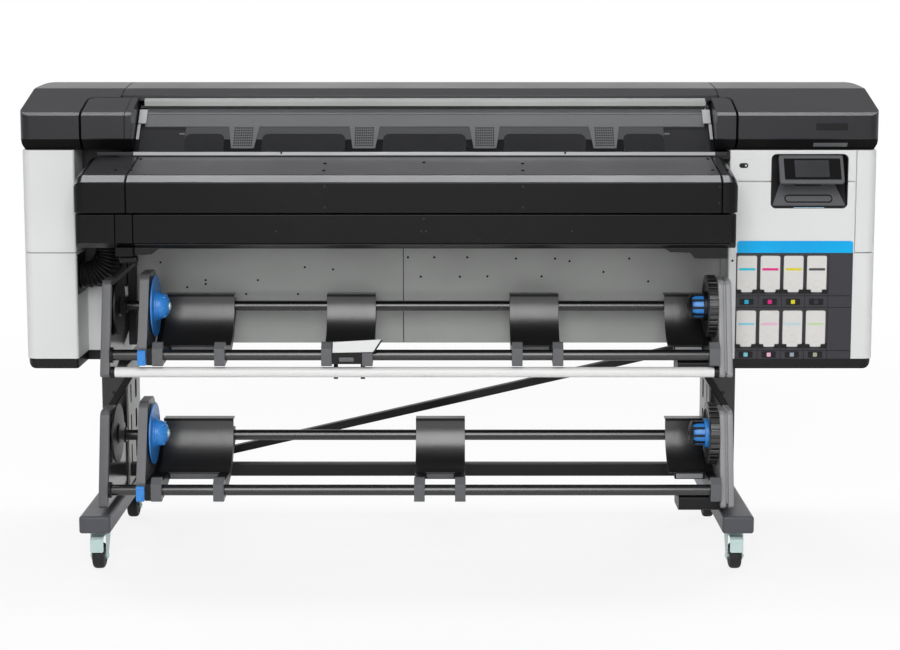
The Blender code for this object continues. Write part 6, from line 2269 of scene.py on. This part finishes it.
        # A black skin paints the shade on the plate's inner face.
        skin = drawn(self.name("left_plate_skin"), outline, Axis.X, face - TINY, face + self.plate_skin)
        self.draw_in(skin, self.shade_skin_share, self.shade_skin_share)
        dress(soften(skin, Edges.SKIN), Finishes.BLACK_PAINT)
        side = face + self.drum_width
        root, shelf, cap = face - self.lap, side - self.drum_rim, side + self.drum_cap
        neck, step, top = (drum * share for share in self.drum_shares)
        profile = [
            (root, 0.0), (root, neck), (shelf, neck), (shelf, drum), (side, drum), (side, step), (cap, top),
            (cap, 0.0),
        ]
        cover = turned(self.name("left_drum"), profile, Axis.X, tuple(self.station.hub), 64)
        dress(cover, Finishes.BLACK)

    def build_right_plate(self) -> None:
        """Model the right double plate, its fixed cradle and its motor housing."""
        outline, node = self.plate_outline(), self.name("right_plate")
        span = Span.of(node)
        left, outer = span.low.x, span.high.x
        inner = Span.of(self.name("right_hub")).high.x + self.hub_gap
        middle = (inner + outer) / 2
        gap, half = self.plate_gap / 2, self.plate_core / 2
        near = drawn("near_plate", outline, Axis.X, inner, middle - gap)
        far = drawn("far_plate", outline, Axis.X, middle + gap, outer)
        core = drawn("core_plate", outline, Axis.X, middle - half, middle + half)
        self.draw_in(core, *self.core_shares)
        for part in (near, far):
            soften(part, Edges.TWIN_PLATE)
        plates = together(self.name("right_side_plate"), near, far, core)
        dress(plates, Finishes.PLATE, CARRIER, node)
        cradle = self.name("right_cradle")
        self.build_cradle(cradle, left, inner, CARRIER, (inner - self.rib_width,))
        self.build_strip(cradle, left - self.strip_reach, inner, CARRIER, Finishes.LIGHT_GREY)
        rail, (x, y, z) = self.station.rail, self.motor_low
        case = block(
            self.name("motor_case"), (left + x, rail.x + y, rail.y + z),
            (inner, rail.x + self.motor_high[0], rail.y + self.motor_high[1]),
        )
        round_edges(case, self.motor_round, 4, lambda a, b: abs(a.x - b.x) > REACH)
        soften(case, Edges.CASE)
        dress(work(case, Cut.AWAY, self.rail_tool(rail, left, inner)), Finishes.BLACK)

    def cradle_outline(self) -> list[Pair]:
        """Section of a cradle: a trough round the roll with a lip over the rear rail."""
        hub, top, foot = tuple(self.station.hub), self.band[0], self.trough_foot
        inner = arc(hub, self.roll, top, foot, 30)
        outer = arc(hub, self.roll + self.wall, foot, top - self.trough_turn, 30)
        y, z = inner[0][0] + self.lip, inner[0][1]
        return inner + outer + [(y, z - self.wall), (y + self.lap, z - self.lap), (y, z)]

    def rib_outline(self) -> list[Pair]:
        """Section of a rib that clamps the front rail and hooks over the rear one."""
        rail, rear, hub, rib = self.station.rail, self.station.rear, self.station.hub, self.rib
        middle, hook = self.roll + self.wall / 2, rib * self.rib_share
        high = math.degrees(math.asin((rear.y + hook - hub.y) / middle))
        bed = arc(tuple(hub), middle, high, self.bed_foot, 24)
        belly = arc(tuple(hub), self.roll + self.rib_depth, *self.belly, 12)
        front, low, top, bevel = rail.x - rib, rail.y - rib, rail.y + rib, self.rib_bevel
        return [
            (front, low + self.wall), (front + self.wall, low), (rail.x + rib, low), *belly,
            (rear.x + rib, rear.y - hook), (rear.x + rib, rear.y + hook), *bed,
            (rail.x + rib * self.rib_back, top), (front + bevel, top), (front, top - bevel),
        ]

    def build_cradle(
        self, name: str, left: float, right: float, body: str, ribs: Sequence[float], *nodes: str
    ) -> None:
        """Model a glossy trough with grooves, its band, its ribs and its clamps.

        Args:
            name: Name of the trough.
            left: X where it starts.
            right: X where it ends.
            body: The body that it moves with.
            ribs: X where each rib starts.
            nodes: CAD nodes that it stands for.
        """
        trough = soften(drawn(name, self.cradle_outline(), Axis.X, left, right), Edges.RIB)
        hub, half, (start, end) = tuple(self.station.hub), self.groove / 2, self.groove_ends
        section = arc(hub, self.roll + self.groove_depth, start, end, 24)
        section += arc(hub, self.roll - REACH, end, start, 24)
        grooves = [
            drawn("groove", section, Axis.X, x - half, x + half)
            for x in (left + self.rib_width, right - self.rib_width)
        ]
        dress(work(trough, Cut.AWAY, *grooves), Finishes.GLOSS, body, *nodes)
        (top, foot), (near, far) = self.band, self.band_depth
        edge = arc(hub, self.roll - near, top, foot, 6) + arc(hub, self.roll + far, foot, top, 6)
        shaped(f"{name}_band", edge, Axis.X, (left, right), Edges.BAND, Finishes.BLACK, body)
        section = self.rib_outline()
        feet = [soften(self.on_rails("rib", section, x, x + self.rib_width), Edges.RIB) for x in ribs]
        dress(together(f"{name}_ribs", *feet), Finishes.BLACK, body)
        self.build_clamps(name, ribs, body)

    def build_clamps(self, name: str, ribs: Sequence[float], body: str) -> None:
        """Model the grey clamps round the front rail, each with a leaning front.

        Args:
            name: Name of the cradle.
            ribs: X where each rib starts.
            body: The body that they move with.
        """
        rail = self.station.rail
        outline = [(rail.x - self.rib + y, rail.y + z) for y, z in self.clamp]
        start, end = ribs[0] - self.clamp_lap, ribs[0] + self.rib_width + self.clamp_lap
        clamp = drawn("clamp", outline, Axis.X, start, end)
        work(clamp, Cut.AWAY, self.rail_tool(rail, start, end))
        soften(clamp, Edges.CLAMP)
        clamps = spread(clamp, f"{name}_clamps", [shift(x - ribs[0]) for x in ribs])
        dress(clamps, Finishes.GREY, body)

    def build_strip(self, name: str, left: float, right: float, body: str, finish: Finish) -> None:
        """Model the bar under a trough's front edge and the bare strip on it.

        Args:
            name: Name of the cradle.
            left: X where the cradle starts.
            right: X where it ends.
            body: The body that they move with.
            finish: The strip's finish.
        """
        y, z = arc(tuple(self.station.hub), self.roll, self.groove_ends[1], self.trough_foot, 1)[0]
        start, end = left + self.rib_width, right - self.rib_width
        (near, low), (far, high) = self.strip_bar
        boxed(
            f"{name}_front_bar", (start, y + near, z + low), (end, y + far, z + high), Edges.CASE,
            Finishes.BLACK, body,
        )
        (near, low), (far, high) = self.strip
        outline = rectangle((start + near, z + low), (end + far, z + high), self.strip_corner, 3)
        depth = (y + self.strip_depth[0], y + self.strip_depth[1])
        shaped(f"{name}_strip", outline, Axis.Y, depth, Edges.PLATE, finish, body)

    def build_support(self, node: str) -> None:
        """Model a sliding support: its trough on two ribs, and its bare strip."""
        name, span = f"{node}_trough", Span.of(node)
        left, right = span.low.x, span.high.x
        self.build_cradle(name, left, right, node, (left, right - self.rib_width), node)
        self.build_strip(name, left, right, node, Finishes.GREY)

    def build_card(self, node: str) -> None:
        """Model the leaning bare card on a support, the catch under it and its two hooks."""
        left, rail = Span.of(node).low.x, self.station.rail
        front = rail.x - self.rib - self.card_gap
        outline = [(left + x, rail.y + z) for x, z in self.card]
        depth = (front - self.card_wall, front)
        shaped(f"{node}_card", outline, Axis.Y, depth, Edges.CARD, Finishes.WHITE, node)
        aside, deep, rise = self.card_holder
        lower = [(x + aside, z + rise) for x, z in outline]
        holder = drawn(f"{node}_card_holder", lower, Axis.Y, front - TINY, front + deep)
        work(holder, Cut.AWAY, self.rail_tool(rail, left, outline[2][0]))
        dress(soften(holder, Edges.CARD), Finishes.BLACK, node)
        corner = Vector((left, front, rail.y))
        for name, (low, high), edge, finish in (
            ("catch", self.catch, Edges.BLOCK, Finishes.BLACK),
            ("catch_button", self.button, Edges.BUTTON, Finishes.GREY),
        ):
            boxed(f"{node}_{name}", corner + Vector(low), corner + Vector(high), edge, finish, node)
        bar, gap, (drop, nose) = Span.of("tension_bar"), self.hook_gap, self.hook_nose
        back, low = bar.high.y + gap, bar.low.z
        line = [(back, rail.y - self.rail_radius - gap), (back, low - drop), (back - nose, low - nose)]
        start, end = left + self.hook[0], left + self.hook[1]
        hook = drawn("hook", sheet_outline(line, self.card_wall), Axis.X, start, end)
        hooks = spread(soften(hook, Edges.CARD), f"{node}_hooks", [shift(), shift(self.hook_pitch)])
        dress(hooks, Finishes.BLACK, node)

    def build_holder(self) -> None:
        """Model the sliding left holder: its arm, its wide trough and its clamps."""
        node = self.name("left_holder")
        span = Span.of(node)
        rail, rear, hub, rib = self.station.rail, self.station.rear, self.station.hub, self.rib
        points = [
            (rail.x - rib, rail.y - rib), (rail.x + rib, rail.y - rib), (rear.x + rib, rear.y - rib),
            (rear.x + rib, rear.y + rib), *(tuple(hub + Vector(corner)) for corner in self.arm_head),
            (rail.x - rib, rail.y + rib),
        ]
        outline = rounded(points, self.arm_rounds, 8)
        inner = span.low.x + self.arm
        arm = self.on_rails(f"{node}_arm", outline, span.low.x, inner)
        dress(soften(arm, Edges.ARM), Finishes.CASTING, node, node)
        start, end, trough = inner + self.trough_gap, span.high.x, f"{node}_trough"
        self.build_cradle(trough, start, end, node, (start, end - self.rib_width))
        self.build_strip(trough, start, end, node, Finishes.GREY)
        link = self.on_rails(f"{node}_link", self.rib_outline(), inner - self.lap, start + self.lap)
        dress(soften(link, Edges.LINK), Finishes.BLACK, node)

    def round_hub(self, name: str, piece: Piece, count: int) -> Piece:
        """Copy a piece that was modelled about the X axis round the roll's axis.

        Args:
            name: Name of the whole.
            piece: The piece, which is used up.
            count: How many copies stand round the axis.

        Returns:
            The joined copies.
        """
        centre = shift(0, *self.station.hub)
        turns = [Matrix.Rotation(2 * math.pi * step / count, 4, "X") for step in range(count)]
        return spread(piece, name, [centre @ turn for turn in turns])

    def build_left_hub(self) -> None:
        """Model the blue dished flange, its stepped cone, its fins and its metal tip."""
        node = self.name("left_hub")
        span, hub = Span.of(node), tuple(self.station.hub)
        back, tip, flange, core = span.low.x, span.high.x, self.flange, self.core
        rim, nose = back + self.flange_rim, tip - 0.004
        profile = [
            (nose, 0.0), (nose, core * 0.50), (tip - 0.007, core * 0.62), (tip - 0.016, core * 0.87),
            (back + 0.027, core * 0.98), (back + 0.021, core), (back + 0.0205, core * 1.07),
            (back + 0.015, core * 1.08), (back + 0.0145, core * 1.17), (back + 0.010, core * 1.20),
            (back + 0.0088, core * 1.33), (rim - 0.0010, flange * 0.95), (rim, flange),
            (rim - 0.003, flange + 0.0002), (rim - 0.0055, flange * 0.96), (back + 0.003, flange * 0.66),
            (back, flange * 0.60), (back, 0.0),
        ]
        dress(turned(f"{node}_dish", profile, Axis.X, hub, 96), Finishes.BLUE, node, node)
        half = self.fin_half
        outline = rectangle((core * 0.50, -half), (core * 0.93, half), half / 3, 2)
        fin = soften(drawn("fin", outline, Axis.X, back + 0.018, tip - 0.012), Edges.MOULD)
        dress(self.round_hub(f"{node}_fins", fin, self.fins), Finishes.BLUE, node)
        pin = [
            (tip - 0.006, 0.0), (tip - 0.006, core * 0.33), (tip - 0.001, core * 0.30), (tip, core * 0.25),
            (tip, core * 0.12), (tip - 0.003, core * 0.10), (tip - 0.003, 0.0),
        ]
        dress(turned(f"{node}_pin", pin, Axis.X, hub, 40), Finishes.ZINC, node)

    def build_lever(self) -> None:
        """Model the blue lock lever on the holder's front."""
        node = self.name("lock_lever")
        span = Span.of(node)
        low, high = span.low, span.high
        half = (high.y - low.y) / 2
        y, z = span.middle.y, high.z - half
        outline = arc((y, z), half, 0, 180, 12) + [
            (y - half, low.z + half), (y - half / 2, low.z), (y + half / 2, low.z), (y + half, low.z + half),
        ]
        lever = soften(drawn(f"{node}_handle", outline, Axis.X, low.x, high.x), Edges.LEVER)
        front, side, third = low.y - REACH, high.x + REACH, (high.z - low.z) / 3
        (under, over), (line_cut, step_cut) = self.lever_line, self.lever_cuts
        line = block("line", (low.x - REACH, front, z - under), (side, low.y + line_cut, z + over))
        step = block(
            "step", (high.x - self.lever_step, front, low.z - REACH), (side, low.y + step_cut, low.z + third)
        )
        work(lever, Cut.AWAY, line, step)
        dress(soften(lever, Edges.STEP), Finishes.BLUE, node, node)

    def build_right_hub(self) -> None:
        """Model the ribbed drive wheel, its cage cone and its blue segments."""
        node = self.name("right_hub")
        span, hub = Span.of(node), tuple(self.station.hub)
        far, tip, gear, core = span.high.x, span.low.x, self.gear, self.core
        near = far - self.gear_width
        floor, root = gear - 0.007, near + 0.006
        profile = [
            (far, 0.0), (far, gear * 0.91), (far - 0.001, floor), (near + 0.003, floor), (near, gear * 0.90),
            (near - 0.001, gear * 0.80), (near + 0.004, gear * 0.72), (root, core * 1.25), (root, 0.0),
        ]
        wheel = turned("wheel", profile, Axis.X, hub, 96)
        section = [(gear - drop, -half) for drop, half in self.tooth]
        section += [(gear - drop, half) for drop, half in reversed(self.tooth)]
        tooth = drawn("tooth", section, Axis.X, near + 0.0015, far - 0.001)
        ribs = self.round_hub("ribs", tooth, self.teeth)
        dress(together(f"{node}_wheel", wheel, ribs), Finishes.GLOSS, node, node)
        heart = [
            (tip + 0.006, 0.0), (tip + 0.006, core * 0.52), (tip + 0.012, core * 0.76),
            (tip + 0.022, core * 0.87), (near - 0.002, core * 0.90), (near + 0.007, core * 0.90),
            (near + 0.007, 0.0),
        ]
        dress(turned(f"{node}_core", heart, Axis.X, hub, 64), Finishes.BLUE, node)
        turn = self.bar_turn
        bar = arc((0, 0), core * 0.98, -turn, turn, 2) + arc((0, 0), core * 0.70, turn, -turn, 2)
        stave = soften(drawn("bar", bar, Axis.X, tip + 0.008, root), Edges.CASE)
        bars = self.round_hub("bars", stave, self.cage_bars)
        profile = [
            (tip, core * 0.20), (tip, core * 0.50), (tip + 0.002, core * 0.64), (tip + 0.007, core * 0.86),
            (tip + 0.010, core * 0.96), (tip + 0.0115, core * 0.84), (tip + 0.007, core * 0.40),
            (tip + 0.007, core * 0.20),
        ]
        nose = turned("nose", profile, Axis.X, hub, 64, closed=True)
        dress(together(f"{node}_cage", bars, nose), Finishes.BLACK, node)
        collar = [
            (near - 0.008, core * 0.86), (near - 0.008, core * 1.08), (near - 0.002, core * 1.14),
            (near + 0.007, core * 1.14), (near + 0.007, core * 0.86),
        ]
        tone = Finishes.BLACK if self.station.name == "upper" else Finishes.BLUE
        dress(turned(f"{node}_collar", collar, Axis.X, hub, 64, closed=True), tone, node)


@dataclass(frozen=True)
class TensionBar:
    """The white tension bar with its black end caps."""

    inset: float = 0.001
    cap: tuple[Pair, ...] = ((0.0, 0.0015), (0.012, 0.0015), (0.014, 0.0003), (0.010, -0.002))

    def build(self) -> None:
        """Model the bar and its caps."""
        span = Span.of("tension_bar")
        low, high = span.low, span.high
        centre, radius = (span.middle.y, span.middle.z), (high.z - low.z) / 2
        bar = rod("tension_bar_tube", Axis.X, centre, radius, low.x + self.inset, high.x - self.inset, 56)
        dress(soften(bar, Edges.CASE), Finishes.BAR, CARRIER, "tension_bar")
        caps = []
        for x, way in ((low.x, 1), (high.x, -1)):
            rim = [(x + way * along, radius + height) for along, height in self.cap]
            profile = [(x, 0.0), *rim, (rim[-1][0], 0.0)]
            caps.append(turned("cap", profile, Axis.X, centre, 48))
        dress(together("tension_bar_caps", *caps), Finishes.BLACK)


@dataclass(frozen=True)
class Leg:
    """One leg of the stand: its foot, its column and its trim."""

    side: str
    column_front: float = -0.020
    column_back: float = 0.200
    column_width: float = 0.076
    foot_gap: float = 0.0135
    foot_round: float = 0.008
    cap: float = 0.006
    nose: float = 0.009
    sheet: float = 0.002
    sheet_front: float = 0.014
    sheet_back: float = 0.004
    brace_drop: float = 0.125
    brace_top: Pair = (0.016, 0.004)
    brace_share: float = 0.55
    brace_width: float = 0.020
    brace_depth: float = 0.016
    slot_height: float = 0.060
    slot_depths: tuple[Pair, ...] = ((0.030, 0.050), (0.110, 0.140))
    slot_levels: tuple[float, ...] = (0.235, 0.330, 0.425)
    bolt: Pair = (0.006, 0.002)
    bolt_levels: Pair = (0.255, 0.470)

    def slots(self, middle: float) -> list[Piece]:
        """Tools for the slots through the column's sides, given the X of its middle."""
        reach = self.column_width / 2 + CLEAR
        return [
            drawn(
                "slot", rectangle((front, z), (back, z + self.slot_height), self.foot_round), Axis.X,
                middle - reach, middle + reach,
            )
            for front, back in self.slot_depths
            for z in self.slot_levels
        ]

    def build(self) -> None:
        """Model the foot, its end caps, the slotted column, its sheet, its brace and its bolts."""
        node = f"{self.side}_leg"
        span = Span.of(node)
        low, high = span.low, span.high
        foot_top = Span.of("lower_left_plate").low.z - self.foot_gap
        outline = rectangle((low.x, low.z), (high.x, foot_top), self.foot_round)
        foot = drawn(f"{node}_foot", outline, Axis.Y, low.y, high.y - self.cap)
        round_edges(foot, self.nose, 5, lambda a, b: abs(a.y - low.y) < TINY and abs(b.y - low.y) < TINY)
        dress(soften(foot, Edges.FOOT), Finishes.STAND, CARRIER, node)
        ends = (high.y - self.cap, high.y)
        shaped(f"{node}_cap", outline, Axis.Y, ends, Edges.BLOCK, Finishes.BLACK)
        middle, half, front = span.middle.x, self.column_width / 2, self.column_front
        column = block(
            f"{node}_column", (middle - half, front, foot_top - TINY),
            (middle + half, self.column_back, high.z),
        )
        soften(column, Edges.BLOCK)
        work(column, Cut.AWAY, *self.slots(middle))
        dress(soften(column, Edges.COLUMN), Finishes.BLACK_PAINT)
        inward = 1 if self.side == "left" else -1
        near, far = sorted((middle + inward * half, middle + inward * half + inward * self.sheet))
        side = block(
            f"{node}_side_sheet", (near, front + self.sheet_front, foot_top),
            (far, self.column_back - self.sheet_back, high.z - TINY),
        )
        work(side, Cut.AWAY, *self.slots(middle))
        dress(soften(side, Edges.SHEET), Finishes.SHEET)
        out, drop = self.brace_top
        line = [
            (middle + inward * (half + out), high.z - drop),
            (middle - inward * half * self.brace_share, high.z - self.brace_drop),
        ]
        outline, ends = sheet_outline(line, self.brace_width * inward), (front - self.brace_depth, front)
        shaped(f"{node}_corner_brace", outline, Axis.Y, ends, Edges.BLOCK, Finishes.BLACK)
        places = [Vector((middle, front, z)) for z in self.bolt_levels]
        dress(ScrewHead(*self.bolt).at(f"{node}_bolts", places, FORWARD), Finishes.STEEL)


def both_sides(middle: float, half: Sequence[Pair]) -> list[Pair]:
    """A profile that is the same on both sides of a place along its axis."""
    near = [(middle - along, radius) for along, radius in half]
    return near + [(middle + along, radius) for along, radius in reversed(half)]


@dataclass(frozen=True)
class Caster:
    """A swivelling caster with its fork, wheel and, in front, its brake pedal."""

    name: str
    braked: bool
    trail: float = 0.028
    sheet: float = 0.003
    crown: float = 0.0145
    crown_wall: float = 0.005
    crown_corner: float = 0.009
    crown_front: float = 0.015
    crown_back: float = 0.027
    head: tuple[Pair, ...] = (
        (0.0, 0.0), (0.0, 0.024), (0.0035, 0.024), (0.004, 0.0215), (0.011, 0.0205), (0.0115, 0.0235),
        (0.0165, 0.0235), (0.0165, 0.0),
    )
    ear: float = 0.012
    ear_rounds: tuple[float, ...] = (0.0, 0.010, 0.006, 0.006, 0.010, 0.0)
    lap: float = 0.001
    nut: tuple[Pair, ...] = (
        (0.0030, 0.0), (0.0030, 0.0055), (0.0010, 0.0070), (-0.0005, 0.0070), (-0.0005, 0.0)
    )
    axle: float = 0.005
    axle_room: float = 0.0006
    pedal_half: float = 0.0195
    pedal_rise: float = 0.020
    pedal_root: Pair = (0.006, 0.001)
    pedal_bends: tuple[Pair, ...] = ((0.008, 0.003), (0.001, 0.012))
    pedal_tip: float = 0.0005
    pedal_wall: float = 0.0025
    pedal_round: float = 0.006
    wheel_half: float = 0.017
    tyre: tuple[Pair, ...] = ((0.7, 0.62), (1.0, 0.66), (1.0, 0.80), (0.86, 0.92), (0.60, 0.985), (0.25, 1.0))
    hub: tuple[Pair, ...] = ((0.0005, 0.30), (0.005, 0.36), (0.005, 0.56), (0.001, 0.62), (0.001, 0.67))

    def build(self) -> None:
        """Model the fork, its brake pedal and the wheel."""
        self.build_fork()
        if self.braked:
            self.build_pedal()
        self.build_wheel()

    def spans(self) -> tuple[Span, Span]:
        """The spans of the fork and of the wheel."""
        return Span.of(f"{self.name}_fork"), Span.of(f"{self.name}_wheel")

    def build_fork(self) -> None:
        """Model the fork: swivel head, crown, cheeks, nuts and axle."""
        span, wheel = self.spans()
        x, y, z = wheel.middle
        swivel, top = y + self.trail, span.high.z - self.crown
        half = (span.high.x - span.low.x) / 2
        profile = [(span.high.z - drop, radius) for drop, radius in self.head]
        parts = [turned("head", profile, Axis.Z, (x, swivel), 48)]
        front, back, ear, lap = y - self.crown_front, swivel + self.crown_back, self.ear, self.lap
        outline = rectangle((x - half, front), (x + half, back), self.crown_corner)
        parts.append(soften(drawn("crown", outline, Axis.Z, top - self.crown_wall, top), Edges.CAP))
        cheek = rounded(
            [
                (front + lap, top - lap), (y - ear, z), (y - ear / 2, z - ear), (y + ear / 2, z - ear),
                (y + ear, z), (back - lap * 2, top - lap),
            ],
            self.ear_rounds, 5,
        )
        for start in (x - half, x + half - self.sheet):
            parts.append(soften(drawn("cheek", cheek, Axis.X, start, start + self.sheet), Edges.CARD))
        for way in (-1, 1):
            profile = [(x + way * (half + along), radius) for along, radius in self.nut]
            parts.append(turned("nut", profile, Axis.X, (y, z), 6))
        parts.append(rod("axle", Axis.X, (y, z), self.axle, x - half + lap, x + half - lap, 24))
        body = f"{self.name}_fork"
        dress(together(f"{self.name}_frame", *parts), Finishes.ZINC, body, body)

    def build_pedal(self) -> None:
        """Model the brake pedal, a bent tongue in front of the wheel."""
        span, wheel = self.spans()
        x, y, z = wheel.middle
        face, top, low = span.low.y, span.high.z - self.crown, z + self.pedal_rise
        along, drop = self.pedal_root
        root = (y - self.crown_front + along, top - drop)
        bends = [(face + along, top - drop) for along, drop in self.pedal_bends]
        outline = sheet_outline([root, *bends, (face + self.pedal_tip, low)], self.pedal_wall)
        pedal = drawn(f"{self.name}_pedal", outline, Axis.X, x - self.pedal_half, x + self.pedal_half)
        round_edges(
            pedal, self.pedal_round, 4,
            lambda a, b: abs(a.x - b.x) < TINY and max(a.z, b.z) < low + self.sheet,
        )
        dress(soften(pedal, Edges.PEDAL), Finishes.ZINC, f"{self.name}_fork")

    def build_wheel(self) -> None:
        """Model the tyre and its grey hub."""
        body, span = f"{self.name}_wheel", self.spans()[1]
        x, half = span.middle.x, self.wheel_half
        radius = (span.high.y - span.low.y) / 2
        axis = (span.middle.y, span.middle.z)
        profile = both_sides(x, [(half * along, radius * share) for along, share in self.tyre])
        tyre = turned(f"{self.name}_tyre", profile, Axis.X, axis, 96, closed=True)
        dress(tyre, Finishes.RUBBER, body, body)
        steps = [(half - inset, radius * share) for inset, share in self.hub]
        profile = both_sides(x, [(steps[0][0], self.axle + self.axle_room), *steps])
        hub = turned(f"{self.name}_hub", profile, Axis.X, axis, 64, closed=True)
        dress(hub, Finishes.GREY, body)


def inner_works() -> None:
    """Finish the CAD nodes that stay on show: the print engine and the stand's bars."""
    refinish("drive_roller", Finishes.ZINC)
    for node in ("print_beam", "print_carriage", "sheet_cutter", "stand_crossbar", "diagonal_brace"):
        refinish(node, Finishes.BLACK)


@dataclass(frozen=True)
class Lamp:
    """A soft lamp: where it hangs, where it points, its size and its brightness."""

    name: str
    place: Triple
    target: Triple
    size: Pair
    brightness: float

    def hang(self) -> None:
        """Hang the lamp in the scene."""
        light = bpy.data.lights.new(self.name, "AREA")
        light.shape = "RECTANGLE"
        light.size, light.size_y = self.size
        light.energy = self.brightness * math.pi * self.size[0] * self.size[1]
        lamp = bpy.data.objects.new(self.name, light)
        lamp.location = self.place
        way = Vector(self.target) - Vector(self.place)
        lamp.rotation_euler = way.to_track_quat("-Z", "Y").to_euler()
        bpy.context.scene.collection.objects.link(lamp)


@dataclass(frozen=True)
class Studio:
    """The floor, the light and the camera."""

    floor: float = 80.0
    floor_colour: Triple = (0.86, 0.86, 0.86)
    floor_roughness: float = 0.9
    floor_specular: float = 0.1
    sky: float = 0.27
    back_wall: float = 1.0
    ceiling: float = 0.22
    wall_ends: Pair = (0.36, 0.50)
    front_ends: Pair = (-0.1, 0.3)
    paper: float = 0.84
    paper_gloss: float = 0.35
    shade_near: float = 2.2
    shade_far: float = 5.0
    camera_place: Triple = (0.0113, -5.3441, 1.5697)
    camera_drop: float = 6.546
    lens: float = 70.279
    shift: Pair = (-0.00363, -0.10)
    lamps: tuple[Lamp, ...] = (
        Lamp("front_softbox", (-0.2, -6.1, 3.6), (0.0, -0.1, 0.85), (3.6, 4.6), 5.2),
        Lamp("overhead_strip", (0.0, 0.44, 3.4), (0.0, 0.44, 0.0), (4.2, 0.5), 10.0),
        Lamp("left_back_softbox", (-4.6, 4.2, 2.8), (0.0, 0.1, 0.8), (2.4, 2.2), 7.0),
        Lamp("right_back_softbox", (4.6, 4.2, 2.8), (0.0, 0.1, 0.8), (2.4, 2.2), 7.0),
    )

    def build(self) -> None:
        """Set up everything around the printer."""
        bpy.context.scene.view_settings.view_transform = "Standard"
        self.build_world()
        self.build_floor()
        for lamp in self.lamps:
            lamp.hang()
        self.build_camera()

    @staticmethod
    def blend(
        tree: bpy.types.NodeTree, value: bpy.types.NodeSocket, bounds: Pair,
        low: float | bpy.types.NodeSocket, high: float | bpy.types.NodeSocket,
    ) -> bpy.types.NodeSocket:
        """Map a value between two bounds to a range of levels.

        Args:
            tree: The tree to add the node to.
            value: The value to map.
            bounds: Where the range starts and ends.
            low: Level at the first bound, a number or a socket.
            high: Level at the last bound, a number or a socket.

        Returns:
            The level's socket.
        """
        node = wire(tree, "ShaderNodeMapRange")
        node.inputs["From Min"].default_value, node.inputs["From Max"].default_value = bounds
        tree.links.new(value, node.inputs["Value"])
        for label, level in (("To Min", low), ("To Max", high)):
            if isinstance(level, float):
                node.inputs[label].default_value = level
            else:
                tree.links.new(level, node.inputs[label])
        return node.outputs["Result"]

    def build_world(self) -> None:
        """A room that the camera sees white, with a white wall behind and a dim ceiling and front."""
        world = bpy.data.worlds.new("white_room")
        bpy.context.scene.world = world
        world.use_nodes = True
        tree = world.node_tree
        sky = tree.nodes["Background"]
        sky.inputs["Color"].default_value = (1, 1, 1, 1)
        way = wire(tree, "ShaderNodeSeparateXYZ")
        tree.links.new(wire(tree, "ShaderNodeTexCoord").outputs["Generated"], way.inputs[0])
        path = wire(tree, "ShaderNodeLightPath")
        wall = self.blend(tree, way.outputs["Z"], self.wall_ends, self.back_wall, self.ceiling)
        room = self.blend(tree, way.outputs["Y"], self.front_ends, self.ceiling, wall)
        gloss = self.blend(tree, path.outputs["Is Glossy Ray"], (0.0, 1.0), self.sky, room)
        clear = self.blend(tree, path.outputs["Is Transmission Ray"], (0.0, 1.0), gloss, 1.0)
        seen = self.blend(tree, path.outputs["Is Camera Ray"], (0.0, 1.0), clear, 1.0)
        tree.links.new(seen, sky.inputs["Strength"])

    def build_floor(self) -> None:
        """A white floor that keeps the printer's shadow and meets the room without a line."""
        deselect()
        bpy.ops.mesh.primitive_plane_add(size=self.floor, location=(0, 0, 0))
        floor = named("studio_floor")
        material = bpy.data.materials.new("studio_paper")
        material.use_nodes = True
        tree = material.node_tree
        shader = tree.nodes["Principled BSDF"]
        shader.inputs["Base Color"].default_value = (*self.floor_colour, 1)
        shader.inputs["Roughness"].default_value = self.floor_roughness
        shader.inputs["Specular IOR Level"].default_value = self.floor_specular
        light = wire(tree, "ShaderNodeEmission")
        mix = wire(tree, "ShaderNodeMixShader")
        reach = wire(tree, "ShaderNodeVectorMath", operation="LENGTH")
        tree.links.new(wire(tree, "ShaderNodeTexCoord").outputs["Object"], reach.inputs[0])
        path = wire(tree, "ShaderNodeLightPath")
        white = self.blend(tree, reach.outputs["Value"], (self.shade_near, self.shade_far), self.paper, 1.0)
        gloss = self.blend(tree, path.outputs["Is Glossy Ray"], (0.0, 1.0), 0.0, self.paper_gloss)
        clear = self.blend(tree, path.outputs["Is Transmission Ray"], (0.0, 1.0), gloss, white)
        seen = self.blend(tree, path.outputs["Is Camera Ray"], (0.0, 1.0), clear, white)
        tree.links.new(seen, mix.inputs["Fac"])
        tree.links.new(shader.outputs["BSDF"], mix.inputs[1])
        tree.links.new(light.outputs["Emission"], mix.inputs[2])
        tree.links.new(mix.outputs["Shader"], tree.nodes["Material Output"].inputs["Surface"])
        floor.data.materials.append(material)

    def build_camera(self) -> None:
        """Set up the camera as the photograph was taken."""
        data = bpy.data.cameras.new("photo_camera")
        data.lens = self.lens
        data.shift_x, data.shift_y = self.shift
        camera = bpy.data.objects.new("photo_camera", data)
        camera.location = self.camera_place
        camera.rotation_euler = (math.radians(90 - self.camera_drop), 0, 0)
        bpy.context.scene.collection.objects.link(camera)
        bpy.context.scene.camera = camera


def main() -> None:
    """Build the printer's looks and its studio."""
    logging.basicConfig(level=logging.INFO, format="%(message)s")
    Studio().build()
    LeftModule().build()
    RightModule().build()
    InkBay().build()
    ControlPanel().build()
    TopCovers().build()
    Window().build()
    FrontCovers().build()
    MediaPan().build()
    AirHose().build()
    supports = ("upper_support_1", "upper_support_2")
    RollStation(Station.of("upper"), supports, carded="upper_support_1").build()
    RollStation(Station.of("lower"), ("lower_support_1",)).build()
    TensionBar().build()
    for side in ("left", "right"):
        Leg(side).build()
        Caster(f"front_{side}_caster", braked=True).build()
        Caster(f"rear_{side}_caster", braked=False).build()
    inner_works()


if __name__ == "__main__":
    main()
